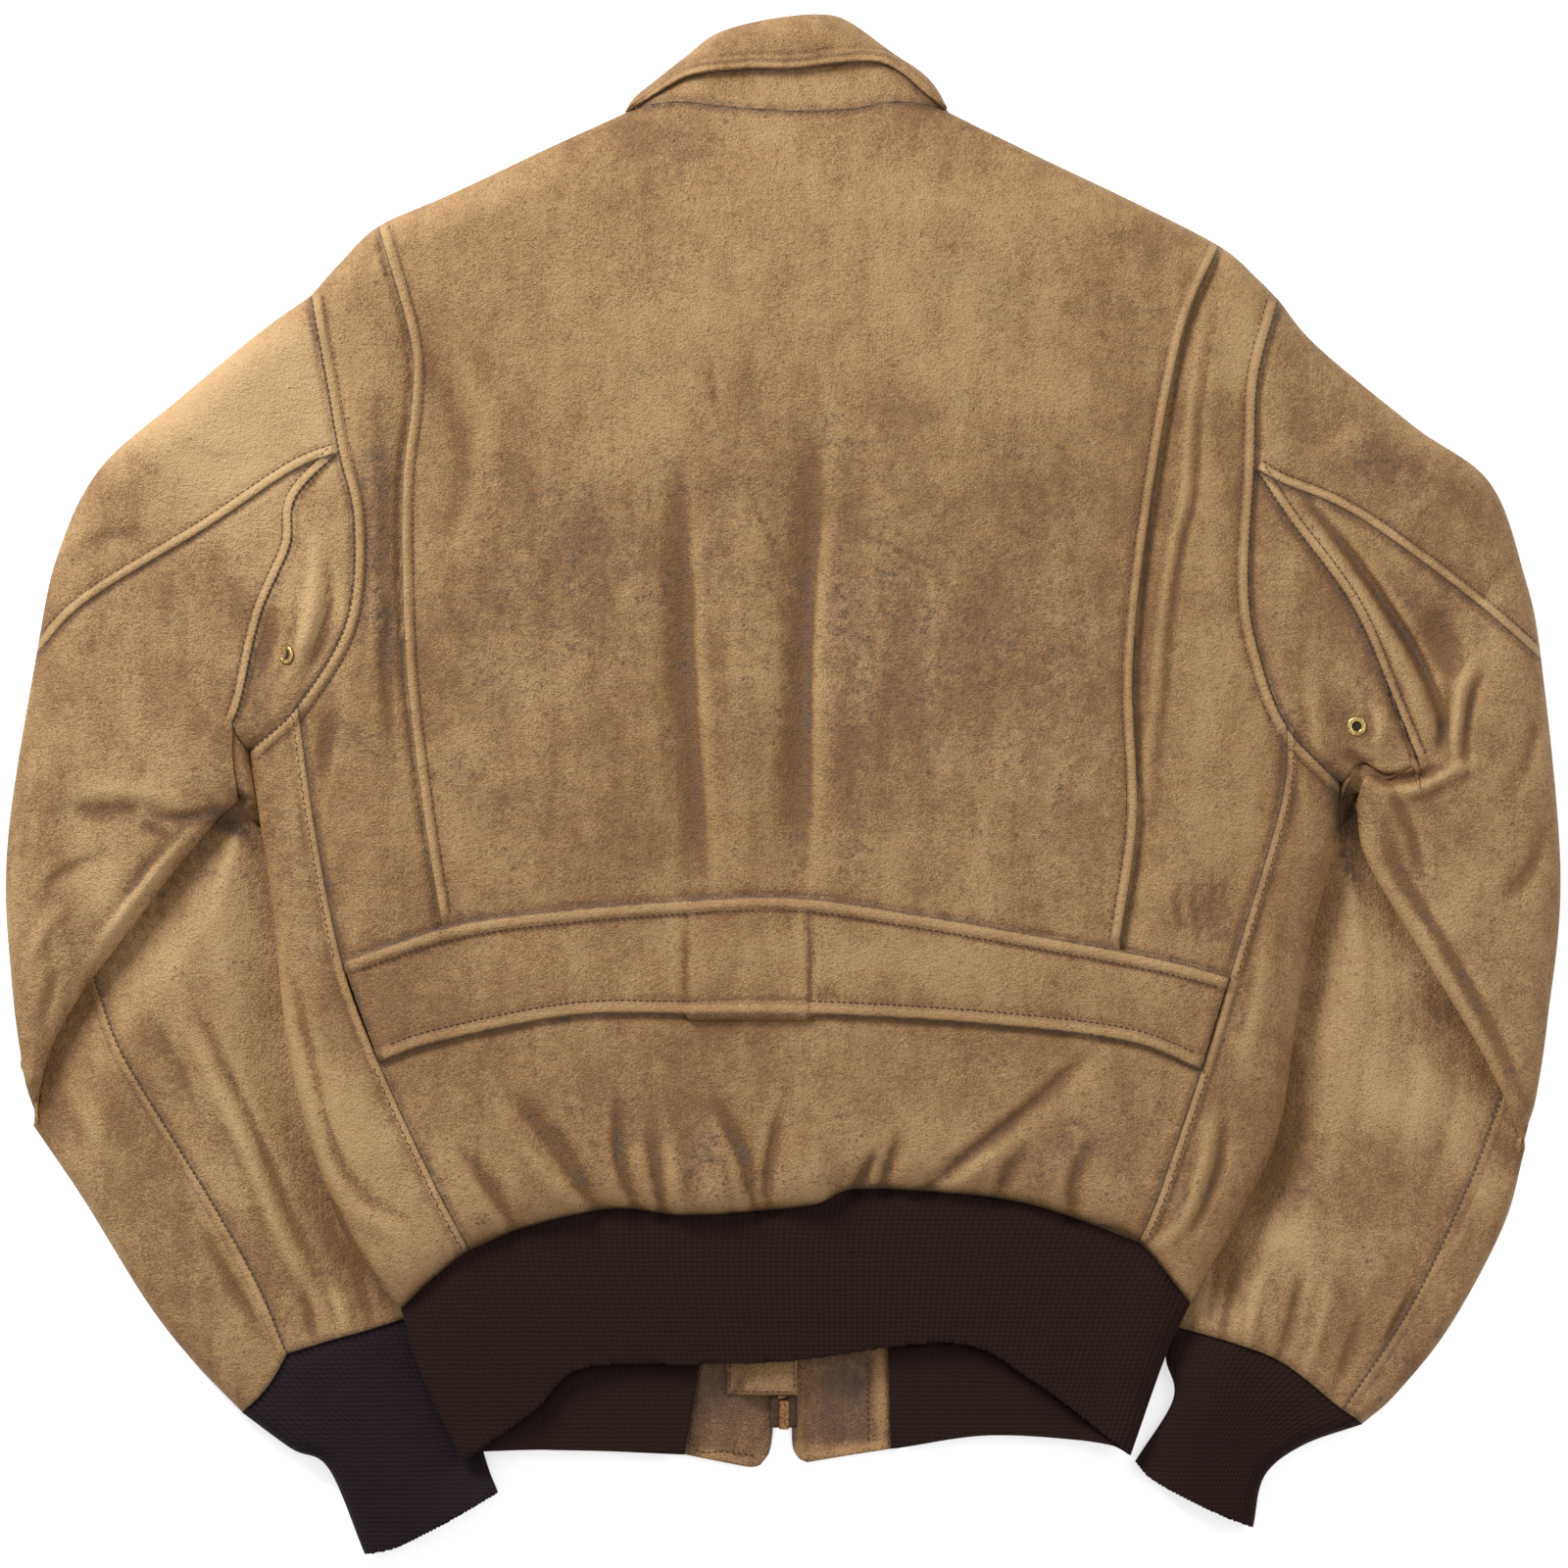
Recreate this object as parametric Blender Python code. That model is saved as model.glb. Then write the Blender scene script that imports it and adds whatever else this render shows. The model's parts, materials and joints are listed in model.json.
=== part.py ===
"""A worn leather flight-style jacket, lying face down: its back, with the wearer's left sleeve at -X.

Sizes are in millimetres and become metres when a mesh is made. The garment lies on z = 0 and +Z comes out
of its back. A folded edge is a roll between an upper and a lower sheet, so each tube of the garment is two
height fields, one above the other, over the same plan.
"""

import math

import bmesh
import bpy
import numpy as np

MM = 0.001

# Driving sizes.
LEATHER = 1.6
KNIT = 2.4
COLLAR = 2.2
SEAM_GAP = 0.36
STAND_INSET = 6.0
ELBOW_DROP = 20.0
OVERLAP = 7.0
LAYER_STEP = 2.3
ARMPIT_Y = 10.0
LIP_TAPER = 30.0
CORNER_EASE = 2.5
CORNER_DROP = 1.2
LIFT = 8.8
FOREARM_COVERED = 7.0
FOREARM_CROWN = 15.0
BODY_CROWN = 28.0
SLEEVE_CROWN = 22.0
NECK_CROWN = 20.0
BAND_CROWN = 14.6
ROLL_ABOVE = 20.0
ROLL_BELOW = 9.0
MID_SHARE = 0.42
COLLAR_DROOP = 0.2
FALL_END = 4.0
FADE = 26.0
LEAF_LIFT = 3.1
LEAF_MARGIN = 26.0
FOREARM_MARGIN = 9.0
HEM_FALL = 30.0
BAND_FADE = 8.0
BELT_FOLD_SHARE = 0.5
EQUATOR_GAP = 0.5
HIDDEN_GAP = 0.75
SMALL_ROLL = 0.55

# Distances from a folded edge at which a sheet has a row, above and below the edge.
ABOVE = (0.35, 2.4, 8.0)
BELOW = (0.3, 2.0, 5.0)
INNER_COLUMNS = (0.6, 2.4, 6.5, 18.0, 40.0, 70.0)
CUFF_COLUMNS = (0.6, 3.2)

# Plan lines, in millimetres: each is named for the seam or edge that it follows, neck to hem or centre to side.
LINES = {
    "left": {
        "shoulder": ((-76, 352), (-122, 331), (-175, 306), (-211, 290), (-230, 272), (-246, 254)),
        "pleat": ((-211, 290), (-194, 231), (-193, 198), (-198, 150), (-196, 62), (-187, -15), (-178, -71)),
        "armhole": ((-246, 254), (-238, 212), (-231, 172), (-223, 135), (-227, 84), (-252, 41), (-278, 17)),
        "front_armhole": ((-246, 254), (-238, 190), (-240, 120), (-256, 60), (-278, 17)),
        "side_seam": ((-252, 41), (-243, -23), (-229, -92), (-210, -144), (-182, -205), (-163, -242)),
        "body_fold": ((-278, 17), (-266, -62), (-257, -143), (-239, -207), (-222, -246), (-199, -273)),
        "outer_fold": ((-246, 254), (-274, 234), (-314, 201), (-356, 164), (-378, 119), (-389, 67), (-404, -31),
                       (-402, -101), (-391, -178)),
        "hind_seam": ((-231, 172), (-255, 162), (-299, 133), (-361, 95), (-389, 67)),
        "gusset_seam": ((-231, 172), (-253, 148), (-256, 123), (-271, 88), (-281, 45), (-286, 31)),
        "gusset_end": ((-278, 17), (-283, 24), (-286, 31)),
        "sleeve_corner": ((-286, 31), (-286, 12), (-283, -9)),
        "crease": ((-283, -9), (-299, -24), (-338, -73), (-377, -129), (-391, -178)),
        "fore_seam": ((-362, -91), (-349, -128), (-335, -155), (-300, -212), (-274, -258), (-258, -296)),
        "forearm_top_outer": ((-362, -91), (-382, -128), (-391, -178)),
        "forearm_top_inner": ((-362, -91), (-345, -60), (-312, -14), (-288, -8), (-262, -34)),
        "forearm_outer": ((-391, -178), (-366, -214), (-332, -269), (-307, -301), (-282, -327)),
        "forearm_inner": ((-262, -34), (-236, -100), (-205, -180), (-178, -270)),
        "cuff_seam_outer": ((-258, -296), (-269, -314), (-282, -327)),
        "cuff_seam_inner": ((-258, -296), (-239, -290), (-200, -279), (-178, -270)),
        "cuff_outer": ((-282, -327), (-256, -346), (-237, -356), (-218, -401)),
        "cuff_inner": ((-178, -270), (-157, -347), (-149, -369)),
        "cuff_end": ((-218, -401), (-201, -397), (-175, -384), (-149, -369)),
        "band_edge": ((-199, -273), (-188, -308), (-167, -352)),
        "front_hem": ((-199, -273), (-140, -269), (-53, -269)),
        "front_band_low": ((-167, -352), (-157, -347), (-103, -347), (-53, -349)),
        "neckline": ((-7, 290), (-25, 295), (-55, 317), (-76, 352)),
        "collar_side": ((-76, 352), (-84, 350)),
        "leaf_edge": ((-92, 340), (-98, 290), (-78, 226), (-42, 262), (-9, 284)),
        "leaf_roll": ((-80, 353), (-60, 338), (-34, 321), (-9, 315)),
    },
    "right": {
        "shoulder": ((80, 352), (133, 326), (175, 306), (226, 280), (245, 264), (257, 252)),
        "pleat": ((226, 280), (207, 234), (191, 150), (181, 62), (183, -17), (174, -83)),
        "armhole": ((257, 252), (246, 210), (244, 164), (241, 103), (247, 66), (261, 30), (289, 0)),
        "front_armhole": ((257, 252), (248, 190), (250, 120), (266, 50), (289, 0)),
        "side_seam": ((261, 30), (258, -9), (234, -90), (217, -146), (195, -211), (184, -238)),
        "body_fold": ((289, 0), (286, -34), (275, -76), (267, -118), (258, -176), (244, -211), (211, -270)),
        "outer_fold": ((257, 252), (277, 228), (328, 186), (367, 157), (385, 109), (394, 64), (404, -46),
                       (397, -124), (386, -190)),
        "hind_seam": ((244, 164), (258, 156), (295, 140), (350, 101), (394, 64)),
        "gusset_seam": ((244, 164), (261, 138), (295, 91), (318, 38), (329, 11)),
        "gusset_end": ((289, 0), (300, 11), (313, 5), (329, 11)),
        "sleeve_corner": ((329, 11), (314, 2), (302, 4), (297, -11)),
        "crease": ((297, -11), (303, -40), (334, -92), (365, -144), (386, -190)),
        "fore_seam": ((379, -146), (357, -204), (326, -270), (290, -325)),
        "forearm_top_outer": ((379, -146), (385, -166), (386, -190)),
        "forearm_top_inner": ((379, -146), (350, -88), (318, -34), (306, -12), (270, -34)),
        "forearm_outer": ((386, -190), (374, -231), (346, -283), (318, -318), (301, -333)),
        "forearm_inner": ((270, -34), (240, -110), (222, -190), (202, -282)),
        "cuff_seam_outer": ((290, -325), (296, -329), (301, -333)),
        "cuff_seam_inner": ((290, -325), (261, -302), (238, -292), (202, -282)),
        "cuff_outer": ((301, -333), (270, -344), (250, -360), (244, -387)),
        "cuff_inner": ((202, -282), (199, -299), (203, -320), (183, -353)),
        "cuff_end": ((244, -387), (224, -379), (193, -363), (183, -353)),
        "band_edge": ((211, -270), (198, -298), (180, -349)),
        "front_hem": ((211, -270), (140, -269), (57, -269)),
        "front_band_low": ((180, -349), (165, -343), (108, -339), (57, -346)),
        "neckline": ((7, 290), (25, 295), (57, 317), (80, 352)),
        "collar_side": ((80, 352), (86, 350)),
        "leaf_edge": ((95, 340), (101, 290), (80, 226), (44, 262), (9, 284)),
        "leaf_roll": ((83, 353), (62, 338), (36, 321), (9, 315)),
    },
}

# Lines that cross the whole back, left to right.
ACROSS = {
    "neck_seam": ((-76, 352), (-54, 354), (-26, 351), (7, 349), (34, 350), (57, 354), (80, 352)),
    "fall_edge": ((-82, 349), (-60, 366), (-35, 371), (3, 371), (34, 377), (59, 374), (84, 350)),
    "collar_roll": ((-84, 352), (-51, 380), (-35, 391), (-10, 398), (18, 401), (34, 397), (57, 380), (86, 353)),
    "belt_top": ((-229, -92), (-173, -74), (-119, -66), (-44, -60), (7, -59), (70, -68), (133, -79), (196, -91),
                 (234, -101)),
    "belt_bottom": ((-210, -144), (-181, -134), (-111, -120), (-50, -119), (14, -119), (101, -124), (177, -133),
                    (217, -148)),
    "hem": ((-199, -273), (-182, -256), (-154, -237), (-93, -221), (-49, -224), (13, -219), (35, -211),
            (79, -212), (121, -217), (155, -227), (184, -238), (211, -270)),
    "band_low": ((-167, -352), (-130, -326), (-105, -304), (-45, -302), (5, -300), (88, -291), (130, -311),
                 (180, -349)),
}

# Columns of the back: x where each meets the top of the belt, and x where it meets the neck or the shoulder.
BACK_COLUMNS = (
    ("belt_x", "top_x"),
    (-178, -211), (-150, -166), (-122, -121), (-96, -76), (-70, -69), (-46, -62), (-20, -20), (7, 20),
    (32, 44), (60, 62), (92, 80), (120, 129), (147, 177), (174, 226),
)

# Columns of the skirt below the belt: x under the belt, x at the hem.
SKIRT_COLUMNS = (
    ("belt_x", "hem_x"),
    (-178, -142), (-147, -120), (-122, -98), (-95, -80), (-70, -64), (-46, -45), (-22, -15), (7, 8),
    (32, 35), (60, 50), (92, 66), (120, 95), (147, 125), (174, 155),
)

# The large folds of the back: a soft trough from one end to the other, with its depth and half width.
FOLDS = (
    ("name", "x0", "y0", "x1", "y1", "depth", "half_width"),
    ("back_left", -56, 170, -44, -100, 3.6, 13),
    ("back_right", 15, 170, 6, -100, 4.0, 14),
    ("gather_left", -98, -221, -122, -180, 3.0, 9),
    ("gather_inner_left", -64, -219, -70, -180, 2.6, 8),
    ("gather_centre", -15, -221, -22, -185, 2.8, 8),
    ("gather_right", 50, -214, 62, -180, 2.6, 8),
    ("gather_outer_right", 66, -214, 120, -165, 2.2, 9),
)

# What the underarm gussets carry: an eyelet each, with its place, tilt and the share of its width that shows.
EYELETS = (("side", "x", "y"), ("left", -258, 67), ("right", 297, 30))
EYELET_OUTER = 5.0
EYELET_HOLE = 2.4
EYELET_HEIGHT = 1.1

# The zip, on the underside: z of the teeth's lower face and what is stacked on it.
ZIP_Y = (-334, 280)
TEETH = (5.0, 2.5)
TEETH_Z = 5.0
TAPE = 1.0
TAPE_REACH = 17.0
SLIDER = (9.0, 17.0, 1.1)
BRIDGE = (2.4, 10.0, 1.0)
PULL = (7.0, 28.0, 1.2)
PULL_Z = 2.5
PULL_WINDOW = (4.6, 5.6)
SLIDER_RISE = 1.7
TAB_WALL = 2.8

COLOURS = {
    "leather_back": ((0.434, 0.254, 0.107), 0.62, 0.0),
    "leather_sleeve": ((0.520, 0.330, 0.155), 0.62, 0.0),
    "leather_dark": ((0.195, 0.094, 0.038), 0.58, 0.0),
    "knit": ((0.026, 0.014, 0.011), 0.95, 0.0),
    "brass": ((0.578, 0.392, 0.080), 0.30, 1.0),
    "tape": ((0.100, 0.060, 0.040), 0.90, 0.0),
    "metal": ((0.420, 0.340, 0.220), 0.38, 1.0),
}


def curve(points, step=2.0):
    """A smooth plan line through the points (Catmull-Rom), with about one sample each step millimetres."""
    knots = np.array(points, float)
    ends = np.vstack([2 * knots[0] - knots[1], knots, 2 * knots[-1] - knots[-2]])
    spans = []
    for a, b, c, d in zip(ends, ends[1:], ends[2:], ends[3:]):
        count = max(2, int(np.linalg.norm(c - b) / step))
        t = (np.arange(count) / count)[:, None]
        spans.append(0.5 * (2 * b + (c - a) * t + (2 * a - 5 * b + 4 * c - d) * t**2 + (3 * b - a - 3 * c + d) * t**3))
    return np.vstack([*spans, knots[-1:]])


def lengths(line):
    return np.concatenate([[0.0], np.cumsum(np.linalg.norm(np.diff(line, axis=0), axis=1))])


def at_lengths(line, places):
    run = lengths(line)
    return np.stack([np.interp(places, run, line[:, axis]) for axis in range(line.shape[1])], axis=1)


def stations(line, count, first=(), last=()):
    """Points along the line: at the first and last distances from its ends, and count even steps between."""
    whole = lengths(line)[-1]
    squeeze = min(1.0, 0.45 * whole / max([*first, *last, 0.001]))
    start = [0.0, *(d * squeeze for d in first)]
    end = [whole - d * squeeze for d in (*sorted(last, reverse=True), 0.0)]
    middle = np.linspace(start[-1], end[0], count + 1)[1:-1]
    return at_lengths(line, [*start, *middle, *end])


def split(line, point):
    """The line in two, cut where it passes nearest to the point."""
    run = lengths(line)
    fine = np.linspace(0, run[-1], 4000)
    here = fine[np.argmin(np.linalg.norm(at_lengths(line, fine) - point, axis=1))]
    cut = at_lengths(line, [here])
    return np.vstack([line[run < here - 0.01], cut]), np.vstack([cut, line[run > here + 0.01]])


def at_x(line, x):
    """The points of a line that crosses the back, at the given x."""
    order = np.argsort(line[:, 0])
    return np.stack([np.asarray(x, float), np.interp(x, line[order, 0], line[order, 1])], axis=1)


def join(*lines):
    """Lines end to end, with each shared corner once."""
    return np.vstack([lines[0], *(line[1:] for line in lines[1:])])


def offset(line, distance):
    """The line moved sideways, to its left as it runs."""
    along = np.gradient(line, axis=0)
    along /= np.linalg.norm(along, axis=1)[:, None] + 1e-9
    return line + distance * np.stack([-along[:, 1], along[:, 0]], axis=1)


def distance(points, line):
    """Each point's distance to the line."""
    start, step = line[:-1], np.diff(line, axis=0)
    gap = points[:, None] - start[None]
    share = np.clip((gap * step).sum(2) / ((step**2).sum(1) + 1e-9), 0, 1)
    return np.linalg.norm(gap - share[..., None] * step, axis=2).min(1)


def inside(points, ring):
    """Whether each point is in the closed ring."""
    x, y = points[:, :1], points[:, 1:]
    x0, y0 = ring.T
    x1, y1 = np.roll(ring, -1, axis=0).T
    crosses = ((y0 > y) != (y1 > y)) & (x < (x1 - x0) * (y - y0) / (y1 - y0 + 1e-12) + x0)
    return crosses.sum(1) % 2 == 1


def ease(value):
    """0 below 0, 1 above 1, and smooth between."""
    t = np.clip(value, 0, 1)
    return t * t * (3 - 2 * t)


def roll(away, width):
    """The rise of a rolled edge, a quarter of an ellipse: 0 on the edge, 1 from the roll's width inwards."""
    return np.sqrt(1 - (1 - np.clip(away / width, 0, 1)) ** 2)


SIDE = {side: {name: curve(points) for name, points in lines.items()} for side, lines in LINES.items()}
BACK = {name: curve(points) for name, points in ACROSS.items()}


def forearm_ring(line):
    """The forearm and cuff of one side, seen from above, all round."""
    return join(
        line["forearm_top_outer"], line["forearm_outer"], line["cuff_outer"], line["cuff_end"],
        line["cuff_inner"][::-1], line["forearm_inner"][::-1], line["forearm_top_inner"][::-1],
    )


FOREARMS = [forearm_ring(SIDE[side]) for side in SIDE]
LEAVES = [join(SIDE[side]["leaf_edge"], SIDE[side]["leaf_roll"][::-1]) for side in SIDE]
UPPER_FOLDS = [SIDE[side][name] for side in SIDE for name in
               ("shoulder", "outer_fold", "crease", "body_fold", "band_edge", "collar_side")] + [BACK["collar_roll"]]
TOP_RING = join(
    BACK["collar_roll"], SIDE["right"]["shoulder"], SIDE["right"]["outer_fold"], SIDE["right"]["crease"][::-1],
    SIDE["right"]["body_fold"], SIDE["right"]["band_edge"], BACK["band_low"][::-1], SIDE["left"]["band_edge"][::-1],
    SIDE["left"]["body_fold"][::-1], SIDE["left"]["crease"], SIDE["left"]["outer_fold"][::-1],
    SIDE["left"]["shoulder"][::-1],
)


def lift(plan):
    """How far the upper garment stands off the surface: over a forearm or a collar leaf, and 0 elsewhere."""
    height = np.zeros(len(plan))
    for rings, rise, margin in ((FOREARMS, LIFT, FOREARM_MARGIN), (LEAVES, LEAF_LIFT, LEAF_MARGIN)):
        for ring in rings:
            away = np.where(inside(plan, ring), 0.0, distance(plan, np.vstack([ring, ring[:1]])))
            height = np.maximum(height, rise * (1 - ease((away - margin) / FADE)))
    return height


def band_crown(plan):
    return BAND_CROWN + 0.4 * lift(plan)


def crown(plan):
    """The height of the upper garment away from its edges."""
    x, y = np.abs(plan[:, 0]), plan[:, 1]
    body = BODY_CROWN + (SLEEVE_CROWN - BODY_CROWN) * ease((x - 190) / 130)
    body = body + (NECK_CROWN - body) * ease((y - 290) / 60)
    below = y < at_x(BACK["hem"], plan[:, 0])[:, 1]
    from_hem = np.where(below, 0.0, distance(plan, BACK["hem"]))
    band = band_crown(plan)
    return band + (body - band) * roll(from_hem, HEM_FALL)


def folds(plan):
    """How deep the large folds are at each point."""
    depth = np.zeros(len(plan))
    for _, x0, y0, x1, y1, deep, half in FOLDS[1:]:
        line = np.array([(x0, y0), (x1, y1)], float)
        depth += deep * np.exp(-((distance(plan, line) / half) ** 2))
    below_hem = at_x(BACK["hem"], plan[:, 0])[:, 1] - plan[:, 1]
    return depth * (1 - ease(below_hem / BAND_FADE))


def upper_edge(plan):
    return np.min([distance(plan, line) for line in UPPER_FOLDS], axis=0)


def upper_mid(plan):
    """The height of the outermost line of the upper garment's folded edges."""
    low = lift(plan)
    share = MID_SHARE - COLLAR_DROOP * ease((plan[:, 1] - 352) / 22)
    return low + share * (np.maximum(crown(plan), low + 9) - low)


def upper_top(plan, fold_share=1.0):
    """The outer face of the garment's back and upper arms, with a share of its folds' depth."""
    middle = upper_mid(plan)
    rise = roll(upper_edge(plan), ROLL_ABOVE)
    return middle + (crown(plan) - fold_share * folds(plan) - middle) * rise


def belt_top_face(plan):
    return upper_top(plan, BELT_FOLD_SHARE)


def upper_bottom(plan):
    """The outer face of the fronts, and of the lower side of each folded edge."""
    middle = upper_mid(plan)
    return middle - (middle - lift(plan)) * roll(upper_edge(plan), ROLL_BELOW)


def forearm_crown(plan):
    covered = inside(plan, TOP_RING)
    out = np.where(covered, 0.0, distance(plan, TOP_RING))
    return FOREARM_COVERED + (FOREARM_CROWN - FOREARM_COVERED) * ease(out / 34)


def forearm_edge(plan):
    names = ("forearm_outer", "forearm_inner", "cuff_outer", "cuff_inner")
    return np.min([distance(plan, SIDE[side][name]) for side in SIDE for name in names], axis=0)


def forearm_mid(plan):
    return 0.45 * forearm_crown(plan)


def forearm_top(plan):
    """The outer face of the forearms and cuffs."""
    middle = forearm_mid(plan)
    return middle + (forearm_crown(plan) - middle) * roll(forearm_edge(plan), SMALL_ROLL * forearm_crown(plan))


def sleeve_bottom(plan):
    """The sleeves' lower face: flat on the surface, turned up where it meets a folded edge."""
    upper = np.min([distance(plan, SIDE[side]["outer_fold"]) for side in SIDE], axis=0)
    fore = forearm_edge(plan)
    turned_up = upper_mid(plan) * (1 - roll(upper, ROLL_BELOW))
    fore_turned_up = forearm_mid(plan) * (1 - roll(fore, forearm_mid(plan)))
    return np.maximum(np.where(upper < fore, turned_up, 0), np.where(fore <= upper, fore_turned_up, 0))


def patch(first_row, last_row, first_column, last_column, fade=1.0):
    """A grid over the plan between four lines (a Coons patch). Rows run from the first row to the last.

    A larger fade lets the first row's shape die out sooner.
    """
    def shares(line, other):
        run = lengths(line) if lengths(line)[-1] > 0.01 else lengths(other)
        return run / run[-1]

    down = [shares(first_column, last_column)[:, None], shares(last_column, first_column)[:, None]]
    weight = 1 - (1 - (down[0] + down[1]) / 2) ** fade
    s = (1 - weight) * shares(first_row, last_row) + weight * shares(last_row, first_row)
    weight = (1 - (1 - (1 - s) * down[0] - s * down[1]) ** fade)[..., None]
    s = s[..., None]
    ruled = (1 - weight) * first_row[None] + weight * last_row[None]
    across = (1 - s) * first_column[:, None] + s * last_column[:, None]
    corners = ((1 - weight) * ((1 - s) * first_row[0] + s * first_row[-1])
               + weight * ((1 - s) * last_row[0] + s * last_row[-1]))
    return ruled + across - corners


def raised(grid, field, add=0.0):
    """The plan grid with a height for each point."""
    plan = grid.reshape(-1, 2)
    height = (field(plan) if callable(field) else np.full(len(plan), float(field))) + add
    return np.concatenate([grid, height.reshape(*grid.shape[:2], 1)], axis=2)


def draw_in(grid, rows=(True, True), columns=(True, True), gap=SEAM_GAP / 2):
    """Moves the chosen edges of the grid in by half a seam's gap."""
    for axis, chosen in ((0, rows), (1, columns)):
        turned = grid if axis == 0 else grid.swapaxes(0, 1)
        for edge, inner, wanted in ((0, 1, chosen[0]), (-1, -2, chosen[1])):
            if not wanted:
                continue
            step = turned[inner] - turned[edge]
            along = np.gradient(turned[edge], axis=0)
            along /= np.linalg.norm(along, axis=1)[:, None] + 1e-9
            step = step - (step * along).sum(1)[:, None] * along
            size = np.linalg.norm(step, axis=1)[:, None]
            turned[edge] += np.where(size > 2 * gap, gap * step / (size + 1e-9), 0)
    return grid


def material(name):
    found = bpy.data.materials.get(name)
    if found:
        return found
    colour, roughness, metallic = COLOURS[name]
    made = bpy.data.materials.new(name)
    made.use_nodes = True
    shader = made.node_tree.nodes["Principled BSDF"]
    shader.inputs["Base Color"].default_value = (*colour, 1)
    shader.inputs["Roughness"].default_value = roughness
    shader.inputs["Metallic"].default_value = metallic
    return made


def place(name, mesh, colour):
    for polygon in mesh.polygons:
        polygon.use_smooth = True
    mesh.materials.append(material(colour))
    made = bpy.data.objects.new(name, mesh)
    bpy.context.scene.collection.objects.link(made)
    return made


def cloth(name, grids, colour, wall=LEATHER, facing=1):
    """One piece of cloth: its grids joined where they share an edge, and given the wall's thickness inwards.

    facing is 1 where the first grid's outer face looks up, and -1 where it looks down.
    """
    shell = bmesh.new()
    for grid in grids:
        corners = [[shell.verts.new(point * MM) for point in row] for row in grid]
        for row, after in zip(corners, corners[1:]):
            for a, b, c, d in zip(row, row[1:], after[1:], after):
                shell.faces.new((a, b, c, d))
    shell.faces.ensure_lookup_table()
    marked = shell.faces.layers.int.new("first")
    first_size = (grids[0].shape[0] - 1) * (grids[0].shape[1] - 1)
    for face in list(shell.faces)[:first_size]:
        face[marked] = 1
    bmesh.ops.remove_doubles(shell, verts=shell.verts, dist=0.05 * MM)
    bmesh.ops.dissolve_degenerate(shell, edges=shell.edges, dist=0.02 * MM)
    bmesh.ops.recalc_face_normals(shell, faces=shell.faces)
    shell.normal_update()
    upward = sum(face.normal.z * face.calc_area() for face in shell.faces if face[marked])
    if upward * facing < 0:
        bmesh.ops.reverse_faces(shell, faces=shell.faces)
    bmesh.ops.triangulate(shell, faces=shell.faces)
    mesh = bpy.data.meshes.new(name)
    shell.to_mesh(mesh)
    shell.free()
    piece = place(name, mesh, colour)
    thick = piece.modifiers.new("wall", "SOLIDIFY")
    thick.thickness = wall * MM
    thick.offset = -1
    return piece


def block(name, low, high, colour, bevel=0.3):
    """A small hard piece between two corners, with its edges broken."""
    mesh = bpy.data.meshes.new(name)
    shape = bmesh.new()
    bmesh.ops.create_cube(shape, size=1)
    low, high = np.array(low, float), np.array(high, float)
    for vertex in shape.verts:
        vertex.co = ((low + high) / 2 + (high - low) * np.array(vertex.co)) * MM
    if bevel:
        bmesh.ops.bevel(shape, geom=shape.edges, offset=bevel * MM, segments=1, affect="EDGES")
    shape.to_mesh(mesh)
    shape.free()
    return place(name, mesh, colour)


def sunk(grid, amount):
    """The grid moved against its upward normals, by an amount for each point (a layer under another)."""
    down_rows = np.gradient(grid, axis=0)
    along_columns = np.gradient(grid, axis=1)
    normal = np.cross(along_columns, down_rows)
    normal *= np.where(normal[..., 2:] < 0, -1.0, 1.0)
    normal /= np.linalg.norm(normal, axis=2)[..., None] + 1e-9
    return grid - normal * np.broadcast_to(amount, grid.shape[:2])[..., None]


def shifted(points, dy):
    return points + np.array([0.0, dy])


def corner(point, count):
    """A row of no length: a corner where two lines of a piece meet."""
    return np.repeat(np.asarray(point, float)[None], count, axis=0)


def matched(line, other):
    """As many points on the line as the other has, at the same shares of its length."""
    shares = lengths(other) / lengths(other)[-1]
    return at_lengths(line, shares * lengths(line)[-1])


def edge_turn(grid, edges, step):
    """Lifts or lowers the last points of a folded edge, so that two pieces meet there with a gap."""
    for row, place_in_row in edges:
        grid[row, place_in_row, 2] += step
    return grid


def column(table, name):
    """One column of a table whose first row names its columns."""
    return np.array([row[table[0].index(name)] for row in table[1:]], float)


NEAR_SHOULDER = (2.0, 8.0, 18.0)
EVERY = slice(None)


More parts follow.
